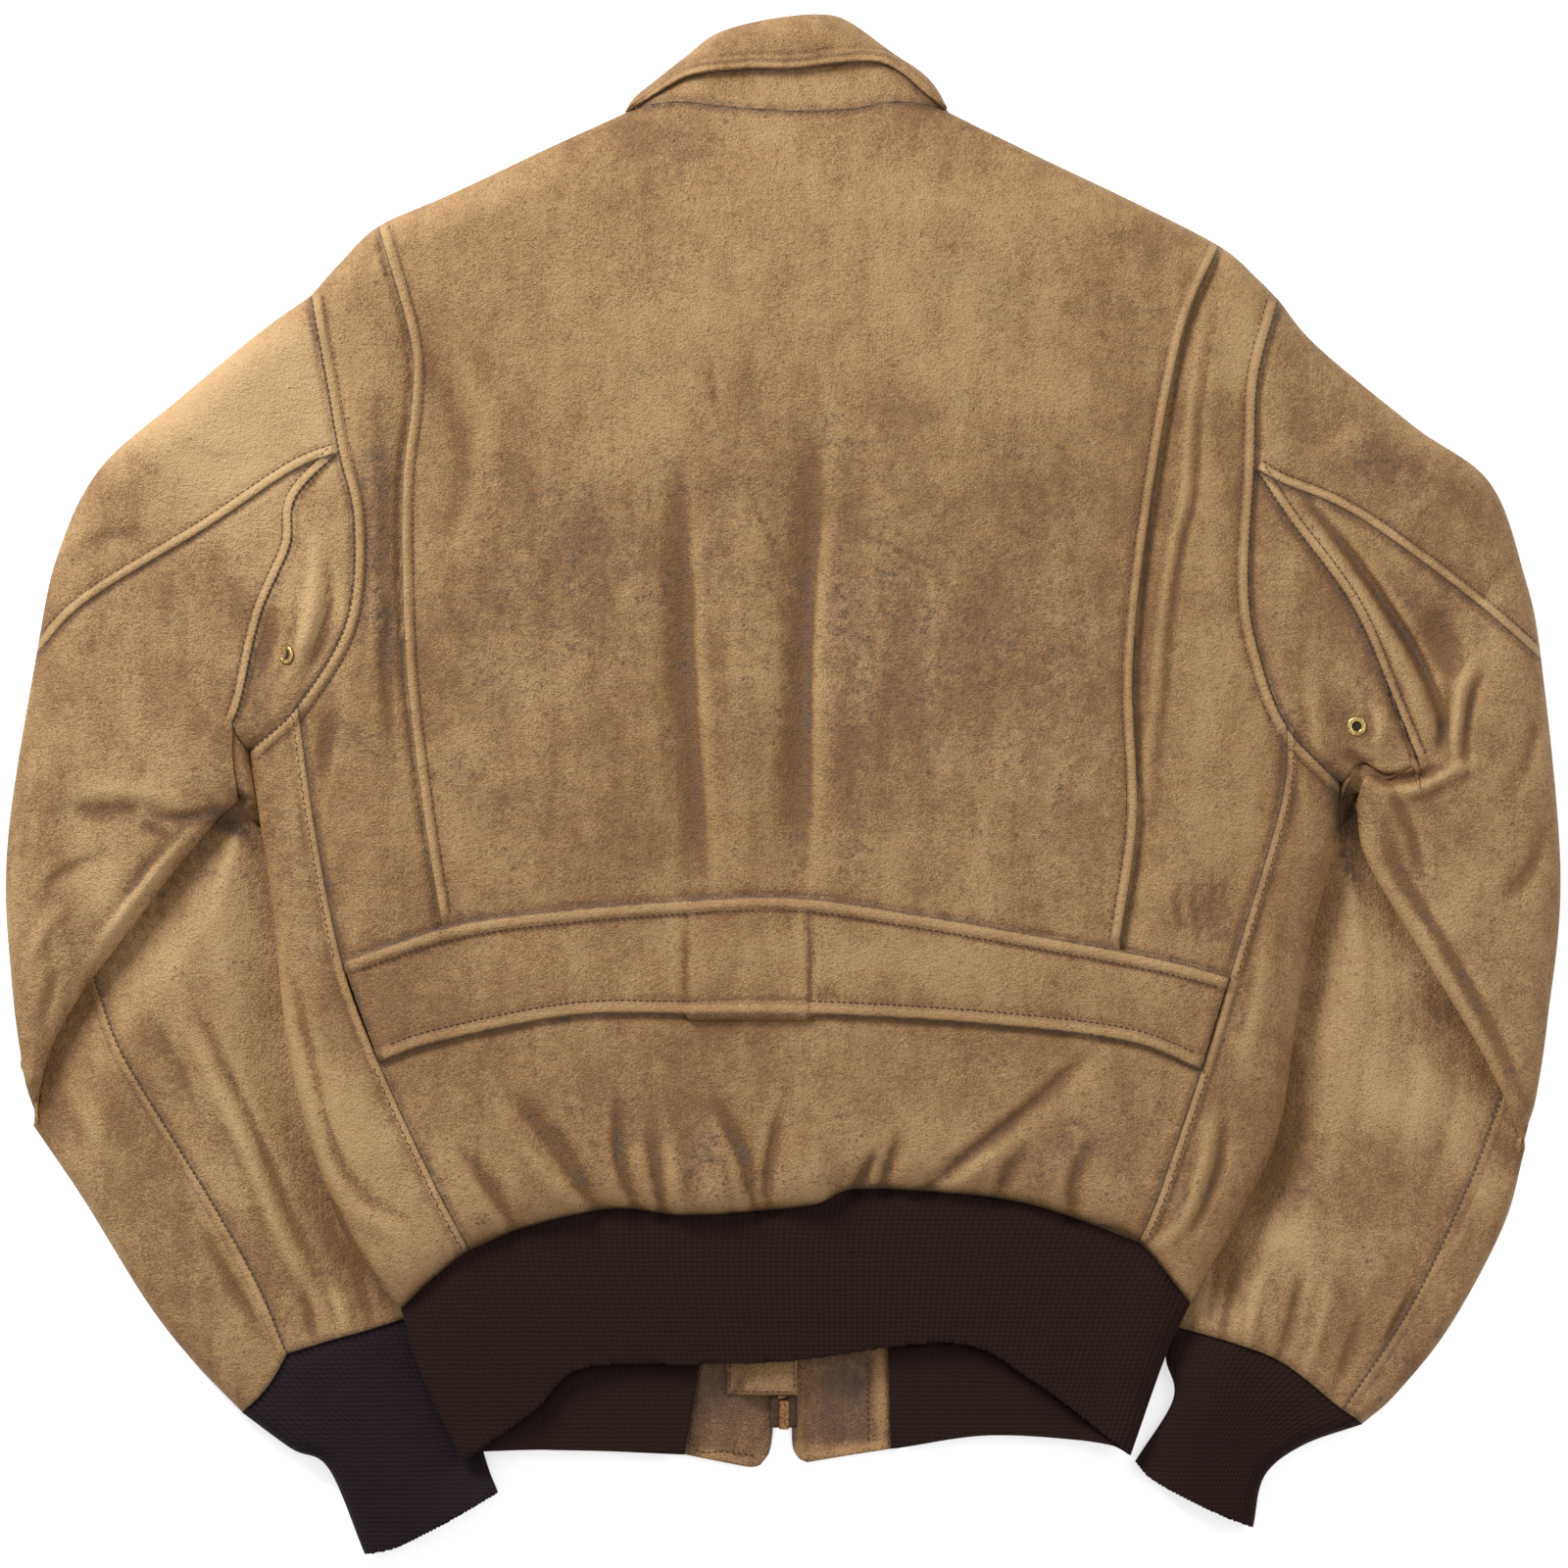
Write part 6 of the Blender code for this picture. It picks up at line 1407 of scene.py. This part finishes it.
# %% The zip's teeth
PITCH = 3.0
TOOTH_LONG, TOOTH_WIDE = 2.3, 2.6
TOOTH = np.array([(-1, -0.3), (0.2, -0.34), (0.75, -0.24), (1, -0.36),
                  (1, 0.36), (0.75, 0.24), (0.2, 0.34), (-1, 0.3)]) * (TOOTH_LONG, TOOTH_WIDE)
points, faces = [], []
for number, y in enumerate(np.arange(-319.0, 279.0, PITCH / 2)):
    sign = 1 if number % 2 else -1
    ring = np.stack([sign * (1.0 - TOOTH[:, 0]), y + TOOTH[:, 1]], axis=1)
    start, count = len(points), len(ring)
    points += [(*p, TEETH_Z) for p in ring] + [(*p, TEETH_Z + TEETH_HIGH) for p in ring]
    turned = range(count) if sign > 0 else range(count)[::-1]
    faces += [[start + count + k for k in turned], [start + k for k in turned][::-1]]
    faces += [[start + k, start + (k + 1) % count, start + count + (k + 1) % count, start + count + k][::sign]
              for k in range(count)]
teeth = mesh_of("zip_teeth_skin", points, faces)
edges = teeth.modifiers.new("edges", "BEVEL")
edges.width, edges.segments = 0.3 * MM, 1
print("teeth:", number + 1)

# %% [markdown]
# Each gusset's eyelet is a brass ring round a hole, with a dark disc in the hole as its painted shade. A
# short curled profile is turned about the leather's own normal, so the ring lies on the slope that it is set
# in.

# %% The eyelets
RING_TURNS = 48


def ring_mesh(name, at, normal, profile):
    """A ring about the normal: the profile's points are (radius, rise) in millimetres."""
    normal = normal / np.linalg.norm(normal)
    first = np.cross((0.0, 1.0, 0.0), normal)
    first /= np.linalg.norm(first)
    second = np.cross(normal, first)
    angles = np.linspace(0, math.tau, RING_TURNS, endpoint=False)
    out = np.cos(angles)[:, None] * first + np.sin(angles)[:, None] * second
    points = [at + radius * direction + rise * normal for direction in out for radius, rise in profile]
    size = len(profile)
    faces = []
    for turn in range(RING_TURNS):
        here, following = turn * size, (turn + 1) % RING_TURNS * size
        for k in range(size):
            beyond = (k + 1) % size
            faces.append((here + k, following + k, following + beyond, here + beyond))
    return mesh_of(name, points, faces)


EYELETS = {"left": (-258.0, 67.0, (-0.55, 0.12)), "right": (297.0, 30.0, (0.0, 0.0))}
for side, (x, y, lean) in EYELETS.items():
    here = np.array([[x, y]])
    step = 3.0
    slope = [(upper_top(here + move)[0] - upper_top(here - move)[0]) / (2 * step)
             for move in (np.array([step, 0.0]), np.array([0.0, step]))]
    normal = np.array([lean[0] - slope[0], lean[1] - slope[1], 1.0])
    at = np.array([x, y, upper_top(here)[0]])
    curl = [(3.7 + 1.35 * math.cos(angle), 0.45 + 0.85 * math.sin(angle))
            for angle in np.linspace(math.pi, -0.3, 9)]
    ring_mesh(f"eyelet_ring_{side}", at, normal, [(2.35, 0.1), *curl, (5.0, 0.1)])
    # The dark disc in the hole is its painted shade.
    ring_mesh(f"eyelet_hole_shade_{side}", at, normal, [(0.02, 0.12), (0.02, 0.22), (2.5, 0.22), (2.5, 0.12)])
    print(f"eyelet, {side}: tilted", round(math.degrees(math.acos(1 / np.linalg.norm(normal)))), "degrees")

# %% [markdown]
# ## Topstitching
# The jacket is sewn with a heavy dark thread, about eight stitches to the inch. Each stitch is a small
# rounded bar laid along the surface, a little sunk in the leather. One mesh holds all the stitches of a seam,
# and a slight wander, the same each run, keeps the row from looking drawn with a ruler.

# %% Rows of stitches
STITCH_PITCH, STITCH_LONG, STITCH_WIDE, STITCH_HIGH = 3.2, 2.3, 0.75, 0.4
chance = np.random.default_rng(5)
BAR = np.array([(u, v, w) for u, scale in ((-1, 0.35), (-0.6, 1.0), (0.6, 1.0), (1, 0.35))
                for v, w in ((scale, 0), (0, scale), (-scale, 0), (0, -scale))])
BAR_FACES = [(4 * r + k, 4 * r + (k + 1) % 4, 4 * r + 4 + (k + 1) % 4, 4 * r + 4 + k)
             for r in range(3) for k in range(4)]
BAR_FACES += [(3, 2, 1, 0), (12, 13, 14, 15)]
STITCHES = []


def stitch(name, lines, field, add=0.0, slant=0.0, edge=None):
    """Stitches along each line, lying on the field's surface and kept in from its edge; a slant makes
    them zigzag."""
    points, faces = [], []
    for line in lines:
        whole = lengths(line)[-1]
        places = np.arange(STITCH_PITCH, whole - STITCH_PITCH / 2, STITCH_PITCH)
        if edge:
            places = places[edge(at_lengths(line, places)) > 2.5]
        if len(places) < 2:
            continue
        places = places + chance.uniform(-0.15, 0.15, len(places))
        half = STITCH_LONG / 2
        start, end = at_lengths(line, places - half), at_lengths(line, places + half)
        along = (end - start) / (np.linalg.norm(end - start, axis=1)[:, None] + 1e-9)
        sideways = np.stack([-along[:, 1], along[:, 0]], axis=1)
        wave = slant * np.where(np.arange(len(places)) % 2, 1.0, -1.0)[:, None]
        start, end = start - wave * sideways, end + wave * sideways
        low = np.concatenate([start, (field(start) + add)[:, None]], axis=1)
        high = np.concatenate([end, (field(end) + add)[:, None]], axis=1)
        forward = (high - low) / 2
        sideways = np.concatenate([sideways, np.zeros((len(places), 1))], axis=1)
        up = np.cross(forward, sideways)
        up /= np.linalg.norm(up, axis=1)[:, None] + 1e-9
        for middle_point, f, s, n in zip((low + high) / 2, forward, sideways, up):
            base = len(points)
            points += list(middle_point + BAR[:, :1] * f + BAR[:, 1:2] * s * STITCH_WIDE / 2
                           + BAR[:, 2:] * n * STITCH_HIGH)
            faces += [tuple(base + k for k in face) for face in BAR_FACES]
    mesh_of(name, points, faces)
    STITCHES.append(name)
    print(name, len(faces) // len(BAR_FACES), "stitches")


def beside(side, name, away):
    """A seam's line, moved a distance to its lapped side."""
    lap = next(lap for line, lap, *_ in SEWN["top"] + SEWN["fore"] if line is SIDE[side][name])
    return aside(SIDE[side][name], lap * away)


SEWN_ROWS = (("armhole", "armhole", (0.6, 6.2)), ("hind", "hind_seam", (5.2,)),
             ("gusset", "gusset_seam", (0.6, 5.2)))
for side in SIDE:
    pleat_row = aside(SIDE[side]["pleat"], 5.8 * TOWARDS_CENTRE[side])
    stitch(f"stitches_pleat_{side}", [pleat_row], upper_top, edge=top_edge)
    for name, seam, places in SEWN_ROWS:
        rows = [beside(side, seam, away) for away in places]
        stitch(f"stitches_{name}_{side}", rows, upper_top, edge=top_edge)
    rows = [aside(SEAMS[side][part], -3.6 * TOWARDS_CENTRE[side]) for part in ("side_upper", "side_lower")]
    stitch(f"stitches_side_{side}", rows, upper_top, slant=0.5)
    stitch(f"stitches_fore_{side}", [beside(side, "fore_seam", 0.7)], forearm_top, edge=fore_edge)

# %% Stitches of the belt, the tabs and the flap's end
def on_tab(plan):
    """The height of a tab's upper face."""
    return np.full(len(plan), TAB_HEIGHT)


belt_rows = []
for name, away, first_x, last_x in (("belt_top", -6.6, -222, 226), ("belt_bottom", 6.6, -206, 214)):
    row = aside(BACK[name], away)
    belt_rows.append(row[(row[:, 0] > first_x) & (row[:, 0] < last_x)])
stitch("stitches_belt", belt_rows, upper_top, LAYER_STEP + 0.2)
tab_row = curve(((44.0, -296), (43.6, -320), (44.0, -343)))
stitch("stitches_tab_right", [tab_row, tab_row + np.array([7.0, 0.0])], on_tab, 0.7)
flap_end = np.array([(-28.2, -262.0), (-28.2, -316.1), (5.2, -316.1), (5.2, -262.0)])
stitch("stitches_flap", [flap_end[:2], flap_end[1:3], flap_end[2:]], flap_top, 0.4)
tab_corner = curve(((-47.5, -300), (-47.5, -344), (-30, -347.5), (-14, -350)))
stitch("stitches_tab_left", [tab_corner], on_tab, 0.5)

# %% [markdown]
# ## Shader maths
# A finish is easier to read as arithmetic than as a web of nodes. A Wire is one socket, and +, - and * on it
# add Math nodes; the Finish keeps the material and makes every other node with one method.

# %% Wires and finishes
class Wire:
    """A shader socket on which arithmetic adds Math nodes."""

    def __init__(self, finish, socket):
        self.finish, self.socket = finish, socket

    def math(self, operation, *others):
        return self.finish.node("ShaderNodeMath", {"operation": operation}, dict(enumerate((self, *others))))

    def __add__(self, other):
        return self.math("ADD", other)

    def __mul__(self, other):
        return self.math("MULTIPLY", other)

    def __sub__(self, other):
        return self.math("SUBTRACT", other)

    def __rsub__(self, other):
        return self.finish.node("ShaderNodeMath", {"operation": "SUBTRACT"}, {0: other, 1: self})

    __radd__, __rmul__ = __add__, __mul__

    def limited(self):
        return self.finish.node("ShaderNodeClamp", {}, {"Value": self})

    def size(self):
        return self.math("ABSOLUTE")

    def step(self, low, high):
        """0 below low, 1 above high, smooth between."""
        return self.finish.node("ShaderNodeMapRange", {"interpolation_type": "SMOOTHSTEP"},
                                {"Value": self, "From Min": low, "From Max": high})


def linear(value):
    """The amount of light of one screen value, from 0 to 255."""
    return value / 255 / 12.92 if value <= 10 else ((value / 255 + 0.055) / 1.055) ** 2.4


def srgb(red, green, blue):
    """A colour as it is written for a screen, made linear."""
    return (linear(red), linear(green), linear(blue), 1.0)


class Finish:
    """One material: its shader and the nodes that feed it."""

    def __init__(self, name, roughness=0.6, metallic=0.0, sheen=0.0):
        self.material = bpy.data.materials.new(name)
        self.material.use_nodes = True
        self.tree = self.material.node_tree
        self.shader = self.tree.nodes["Principled BSDF"]
        self.shader.inputs["Roughness"].default_value = roughness
        self.shader.inputs["Metallic"].default_value = metallic
        self.shader.inputs["Sheen Weight"].default_value = sheen
        place = self.node("ShaderNodeTexCoord", out="Object")
        self.place = self.node("ShaderNodeVectorMath", {"operation": "SCALE"}, {0: place, "Scale": 1 / MM})

    def node(self, kind, settings=None, values=None, out=0):
        made = self.tree.nodes.new(kind)
        for key, value in (settings or {}).items():
            setattr(made, key, value)
        for key, value in (values or {}).items():
            if isinstance(value, Wire):
                self.tree.links.new(value.socket, made.inputs[key])
            else:
                made.inputs[key].default_value = value
        return Wire(self, made.outputs[out])

    def mark(self, name):
        return self.node("ShaderNodeAttribute", {"attribute_name": name}, out="Fac")

    def noise(self, size, detail=3.0, rough=0.55, stretch=(1, 1, 1), lean=0.0):
        """Noise from 0 to 1 with lumps of about that many millimetres."""
        place = self.node("ShaderNodeMapping", {},
                          {"Vector": self.place, "Scale": stretch, "Rotation": (0, 0, lean)})
        return self.node("ShaderNodeTexNoise", {}, {"Vector": place, "Scale": 1 / size, "Detail": detail,
                                                    "Roughness": rough})

    def mix(self, share, first, second):
        return self.node("ShaderNodeMix", {"data_type": "RGBA"}, {0: share, 6: first, 7: second}, out=2)

    def bump(self, height, distance=1.0, strength=1.0):
        made = self.node("ShaderNodeBump", {},
                         {"Height": height, "Distance": distance * MM, "Strength": strength})
        self.tree.links.new(made.socket, self.shader.inputs["Normal"])

    def feed(self, name, wire):
        self.tree.links.new(wire.socket, self.shader.inputs[name])


print("finishes can be written as sums")

# %% [markdown]
# ## Leather
# Tan cowhide of this kind is dyed through, then waxed and worn. Three things colour it: large cloudy areas
# that sun and rubbing left pale, with painted light on crests; darker patches, with painted shade in hollows,
# creases and beside lapped seams; and a fine pebbled grain with dark specks in it. Each is a few lines of
# shader maths below. The grain also raises the Bump.

# %% The leather finish
def leather(name, pale, tan, brown, deep, wear=0.0, roughness=0.6):
    hide = Finish(name, roughness)
    away, lap = hide.mark("seam"), hide.mark("lap")
    ridge, hill = hide.mark("ridge"), hide.mark("hill")
    worn, dark = hide.mark("worn"), hide.mark("dark")
    cloud = hide.noise(70, 2, 0.6)
    patches = hide.noise(22, 4, 0.75)
    smear = hide.noise(6, 3, 0.8)
    speck = hide.noise(1.8, 2, 0.85)
    grain = hide.noise(0.9, 1, 0.9)
    streak = hide.noise(13, 3, 0.7, stretch=(1.0, 0.22, 1.0), lean=0.15)
    # Pale: wear and rubbing, with painted light on crests and on the left shoulder cap.
    rubbed_and_lit = (worn * 0.75 + ridge * 0.25 + hill * 0.12 + (cloud - 0.5) * 1.6 + (patches - 0.5) * 1.1
              + (streak - 0.5) * 1.0 + (speck - 0.5) * 1.4 + (grain - 0.5) * 1.6 + wear)
    colour = hide.mix(rubbed_and_lit.step(-0.5, 1.0), tan, pale)
    # Brown: darker patches of the leather, and painted shade in troughs and creases.
    hollow_shade_and_stain = dark * 0.6 - rubbed_and_lit * 0.9 - ridge * 0.45 - hill * 0.08 + (smear - 0.5) * 1.2
    colour = hide.mix(hollow_shade_and_stain.step(-0.35, 0.9) * 0.8, colour, brown)
    # Grey-brown: dirt in patches, with painted shade in troughs and in the shaded places of the dark mark.
    grime_and_shade = (dark * 0.6 + (smear - 0.5) * 2.0 + (patches - 0.5) * 2.6 + (speck - 0.5) * 1.8
             - worn * 0.25 - ridge * 0.4)
    colour = hide.mix(grime_and_shade.step(0.25, 1.2) * 0.7, colour, deep)
    # Dark specks of the grain, crowding where the dark mark is high; at its strongest, in the underarm
    # valleys, the colour goes near black as painted shade.
    fleck = (speck - 0.5) * 6.0 + (smear - 0.5) * 2.4 + (patches - 0.5) * 1.2 + dark * 0.5 - worn * 0.3
    colour = hide.mix(fleck.step(0.5, 1.5) * 0.75, colour, bottom_of(brown))
    colour = hide.mix((dark - worn).step(1.2, 2.6) * 0.75, colour, bottom_of(brown))
    # The seam line and the stitch groove are dark joints, and a seam band's crown is worn pale. On the panel
    # beside a lapped edge a shadow is painted.
    over = lap.step(-0.3, 0.6)
    line = (1 - away.step(0.1, 0.9)) * 0.6
    groove = (1 - (away - 5.2).size().step(0.1, 1.0)) * over * 0.25
    shadow_beside_seam = (1 - away.step(0.6, 5.0)) * (1 - over) * 0.5
    edge = (1 - (away - 2.5).size().step(0.5, 2.2)) * over
    colour = hide.mix((edge * (patches * 1.6 - 0.55)).limited(), colour, pale)
    colour = hide.mix((line + groove + shadow_beside_seam * (smear * 2.0 - 0.4)).limited(), colour, bottom_of(deep))
    hide.feed("Base Color", colour)
    hide.feed("Roughness", roughness + (speck - 0.5) * 0.3 - rubbed_and_lit * 0.04)
    hide.bump(smear * 0.9 + speck * 0.8 + grain * 0.3)
    return hide.material


def bottom_of(deep):
    """The darkest colour, the given one halved: for seam lines, dark specks and painted shade deep in hollows
    and beside lapped seams.
    """
    return (*[v * 0.5 for v in deep[:3]], 1.0)


LEATHER_BACK = leather("leather back", srgb(186, 149, 99), srgb(149, 107, 57), srgb(104, 68, 30),
                       srgb(90, 74, 59))
LEATHER_SLEEVE = leather("leather sleeve", srgb(195, 158, 108), srgb(152, 111, 62), srgb(110, 73, 34),
                         srgb(92, 75, 60), wear=0.02)
LEATHER_TAB = leather("leather tab", srgb(178, 134, 82), srgb(112, 76, 46), srgb(74, 49, 28),
                      srgb(52, 40, 36),
                      wear=-0.15, roughness=0.5)
LEATHER_FLAP = leather("leather flap", srgb(176, 138, 82), srgb(130, 94, 54), srgb(92, 62, 34),
                       srgb(58, 42, 32),
                       wear=0.1, roughness=0.5)
print("leathers:", [m.name for m in (LEATHER_BACK, LEATHER_SLEEVE, LEATHER_TAB, LEATHER_FLAP)])

# %% [markdown]
# ## Knit, thread and metal
# The knit is wool: near black, with pale fluff. Its ribs are modelled, so the finish only paints shade into
# the furrows and adds the rows of stitches as a bump. Thread, brass and zip metal are small, and need only a
# little unevenness to stop them looking like plastic.

# %% The knit
def knit(name, rib_colour, furrow_shade):
    wool = Finish(name, 0.95)
    wool.shader.inputs["Specular IOR Level"].default_value = 0.2
    rib = wool.mark("rib")
    fluff = wool.noise(0.7, 3, 0.7)
    tuft = wool.noise(12, 4, 0.6)
    rows = wool.node("ShaderNodeTexWave", {"wave_type": "BANDS", "bands_direction": "Y"},
                     {"Vector": wool.place, "Scale": 0.13, "Distortion": 1.5, "Detail": 1.0})
    # Rib tops take the yarn's colour and the furrows a darker one, which is painted shade; fluff and tufts
    # vary it.
    stands_out = (rib * 0.6 + (tuft - 0.5) * 0.6 + (fluff - 0.5) * 0.6).limited()
    wool.feed("Base Color", wool.mix(stands_out, furrow_shade, rib_colour))
    wool.bump(rows * 0.25 + fluff * 0.3)
    return wool.material


KNIT = knit("knit", srgb(44, 26, 21), srgb(34, 19, 15))
KNIT_BLUE = knit("knit at the left wrist", srgb(42, 29, 35), srgb(29, 20, 24))


def plain(name, colour, second, roughness, metallic, size):
    """A small hard or woven finish: two colours in a fine noise."""
    made = Finish(name, roughness, metallic)
    fine = made.noise(size, 3, 0.6)
    made.feed("Base Color", made.mix(fine.step(0.35, 0.65), colour, second))
    made.feed("Roughness", roughness + (fine - 0.5) * 0.3)
    made.bump(fine * 0.08)
    return made.material


THREAD = plain("thread", srgb(60, 40, 26), srgb(88, 62, 40), 0.8, 0.0, 0.6)
BRASS = plain("brass", srgb(200, 176, 112), srgb(140, 112, 66), 0.28, 1.0, 1.6)
ZIP_METAL = plain("zip metal", srgb(158, 118, 80), srgb(100, 68, 46), 0.42, 1.0, 1.2)
TAPE_CLOTH = plain("zip tape", srgb(74, 50, 32), srgb(50, 34, 23), 0.9, 0.0, 2.5)
# The dark disc's colour: painted shade inside an eyelet's hole.
HOLE_SHADE = plain("eyelet hole shade", srgb(44, 28, 20), srgb(58, 38, 26), 0.9, 0.0, 1.0)
print("materials:", len(bpy.data.materials))

# %% [markdown]
# ## Putting it together
# Each skin gets its finish, stands for its CAD panel and rides on the jacket's body; the pull tab keeps its
# CAD shape and turns on its own. The size that each sheet of cloth was cut to is worked out and printed.

# %% What each skin replaces, its finish and its cut size in metres
CUTS = {
    "back_centre": ("leather_back", LEATHER_BACK),
    "back_belt": ("leather_back", LEATHER_BACK),
    "back_skirt": ("leather_back", LEATHER_BACK),
    "waistband": ("knit", KNIT),
    "collar_stand": ("leather_back", LEATHER_BACK),
    "collar_fall": ("leather_back", LEATHER_BACK),
    "wind_flap": ("leather_dark", LEATHER_FLAP),
}
for side in SIDE:
    CUTS |= {
        f"back_side_{side}": ("leather_back", LEATHER_BACK),
        f"front_{side}": ("leather_back", LEATHER_BACK),
        f"sleeve_top_{side}": ("leather_sleeve", LEATHER_SLEEVE),
        f"sleeve_under_{side}": ("leather_sleeve", LEATHER_SLEEVE),
        f"forearm_{side}": ("leather_sleeve", LEATHER_SLEEVE),
        f"gusset_{side}": ("leather_sleeve", LEATHER_SLEEVE),
        f"cuff_{side}": ("knit", KNIT_BLUE if side == "left" else KNIT),
        f"waist_tab_{side}": ("leather_dark", LEATHER_TAB),
        f"collar_leaf_{side}": ("leather_back", LEATHER_BACK),
        f"collar_stand_front_{side}": ("leather_back", LEATHER_BACK),
        f"zip_tape_{side}": ("tape", TAPE_CLOTH),
    }


def skin_name(node):
    for side in SIDE:
        if node.endswith("_" + side):
            return node[: -len(side)] + "skin_" + side
    return node + "_skin"


def flat_size(piece):
    """The width, length and area that the piece was cut to, from its own faces."""
    mesh = piece.data
    area = sum(polygon.area for polygon in mesh.polygons)
    points = np.array([vertex.co for vertex in mesh.vertices])
    size = points.max(0) - points.min(0)
    stretch = math.sqrt(max(1.0, area / (size[0] * size[1])))
    return (float(size[0] * stretch), float(size[1] * stretch)), float(area)


# A narrow curved piece fills little of its rectangle; its stated area is at least this share of it.
LEAST_FILL = 0.31
for node, (finish_slot, finish) in CUTS.items():
    piece = PIECES[skin_name(node)]
    piece.data.materials.append(finish)
    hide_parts(node)
    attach(piece, "jacket")
    flat, area = flat_size(piece)
    area = max(area, LEAST_FILL * flat[0] * flat[1])
    print(f"{node}: cut {flat[0]:.3f} by {flat[1]:.3f} m, area {area:.4f} square metres")

# %% Metal pieces and stitches
for name, finish, node, slot_name in [
    ("zip_teeth_skin", ZIP_METAL, "zip_teeth", "metal"),
    ("eyelet_ring_left", BRASS, "eyelet_left", "brass"),
    ("eyelet_ring_right", BRASS, "eyelet_right", "brass"),
    ("eyelet_hole_shade_left", HOLE_SHADE, None, "leather_sleeve"), ("eyelet_hole_shade_right", HOLE_SHADE, None, "leather_sleeve"),
    *[(f"underarm_fold_{side}", LEATHER_SLEEVE, None, "leather_sleeve") for side in SIDE],
    *[(name, THREAD, None, "leather_dark") for name in STITCHES],
]:
    piece = PIECES[name]
    piece.data.materials.append(finish)
    if node:
        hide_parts(node)
    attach(piece, "jacket")
    if name.startswith("underarm"):
        flat, area = flat_size(piece)
for node in ("zip_box", "zip_slider", "zip_pull"):
    for slot in frame["nodes"][node].material_slots:
        slot.material = ZIP_METAL
print("stitch groups:", len(STITCHES))

# %% [markdown]
# ## Studio
# The jacket is seen from straight above under wide soft lamps. The floor is white only to the camera, so it
# keeps the jacket's shadow and throws no extra light on it.

# %% Floor
def floor_finish():
    made = Finish("floor", 1.0)
    made.shader.inputs["Base Color"].default_value = (0.8, 0.8, 0.8, 1)
    tree = made.tree
    camera_ray = made.node("ShaderNodeLightPath", out="Is Camera Ray")
    glossy = made.node("ShaderNodeLightPath", out="Is Glossy Ray")
    through = made.node("ShaderNodeLightPath", out="Is Transmission Ray")
    seen = camera_ray.math("MAXIMUM", glossy).math("MAXIMUM", through)
    made.feed("Base Color", made.mix(seen, (0.8, 0.8, 0.8, 1), (1, 1, 1, 1)))
    made.feed("Emission Color", made.mix(seen, (0, 0, 0, 1), (0.6, 0.6, 0.6, 1)))
    made.shader.inputs["Emission Strength"].default_value = 1.0
    behind = made.node("ShaderNodeNewGeometry", out="Backfacing")
    clear = tree.nodes.new("ShaderNodeBsdfTransparent")
    both = tree.nodes.new("ShaderNodeMixShader")
    tree.links.new(behind.socket, both.inputs[0])
    tree.links.new(made.shader.outputs[0], both.inputs[1])
    tree.links.new(clear.outputs[0], both.inputs[2])
    tree.links.new(both.outputs[0], tree.nodes["Material Output"].inputs["Surface"])
    return made.material


bpy.ops.mesh.primitive_plane_add(size=6, location=(0, 0, -0.0006))
floor = bpy.context.object
floor.name = "floor"
floor.data.materials.append(floor_finish())
print("floor at", round(floor.location.z / MM, 1), "mm")

# %% Lamps, sky and camera
world = bpy.context.scene.world or bpy.data.worlds.new("sky")
bpy.context.scene.world = world
world.use_nodes = True
sky = world.node_tree
sky.nodes.clear()
path = sky.nodes.new("ShaderNodeLightPath")
seen = sky.nodes.new("ShaderNodeMath")
seen.operation = "MAXIMUM"
sky.links.new(path.outputs["Is Camera Ray"], seen.inputs[0])
sky.links.new(path.outputs["Is Glossy Ray"], seen.inputs[1])
soft, white = sky.nodes.new("ShaderNodeBackground"), sky.nodes.new("ShaderNodeBackground")
soft.inputs["Color"].default_value, soft.inputs["Strength"].default_value = (1, 1, 1, 1), 0.4
white.inputs["Color"].default_value, white.inputs["Strength"].default_value = (1, 1, 1, 1), 1.0
blend, out = sky.nodes.new("ShaderNodeMixShader"), sky.nodes.new("ShaderNodeOutputWorld")
sky.links.new(seen.outputs[0], blend.inputs[0])
sky.links.new(soft.outputs[0], blend.inputs[1])
sky.links.new(white.outputs[0], blend.inputs[2])
sky.links.new(blend.outputs[0], out.inputs["Surface"])


def lamp(name, at, size, power):
    """A square soft lamp that looks at the middle of the jacket."""
    light = bpy.data.lights.new(name, "AREA")
    light.size, light.energy = size, power
    made = bpy.data.objects.new(name, light)
    made.location = at
    aim = -made.location
    made.rotation_euler = aim.to_track_quat("-Z", "Y").to_euler()
    bpy.context.scene.collection.objects.link(made)


lamp("lamp at the collar", (-1.4, 1.7, 1.2), 0.8, 62)
lamp("lamp at the right", (1.8, 0.5, 1.8), 1.6, 12)
camera_data = bpy.data.cameras.new("camera")
camera_data.sensor_width, camera_data.lens = 36.0, 200.0
camera = bpy.data.objects.new("camera", camera_data)
WIDTH_SEEN = 0.816
camera.location = (0.0, 0.0, WIDTH_SEEN * camera_data.lens / camera_data.sensor_width + 0.008)
bpy.context.scene.collection.objects.link(camera)
bpy.context.scene.camera = camera
bpy.context.scene.view_settings.view_transform = "Standard"
print("camera height:", round(camera.location.z, 3), "m")
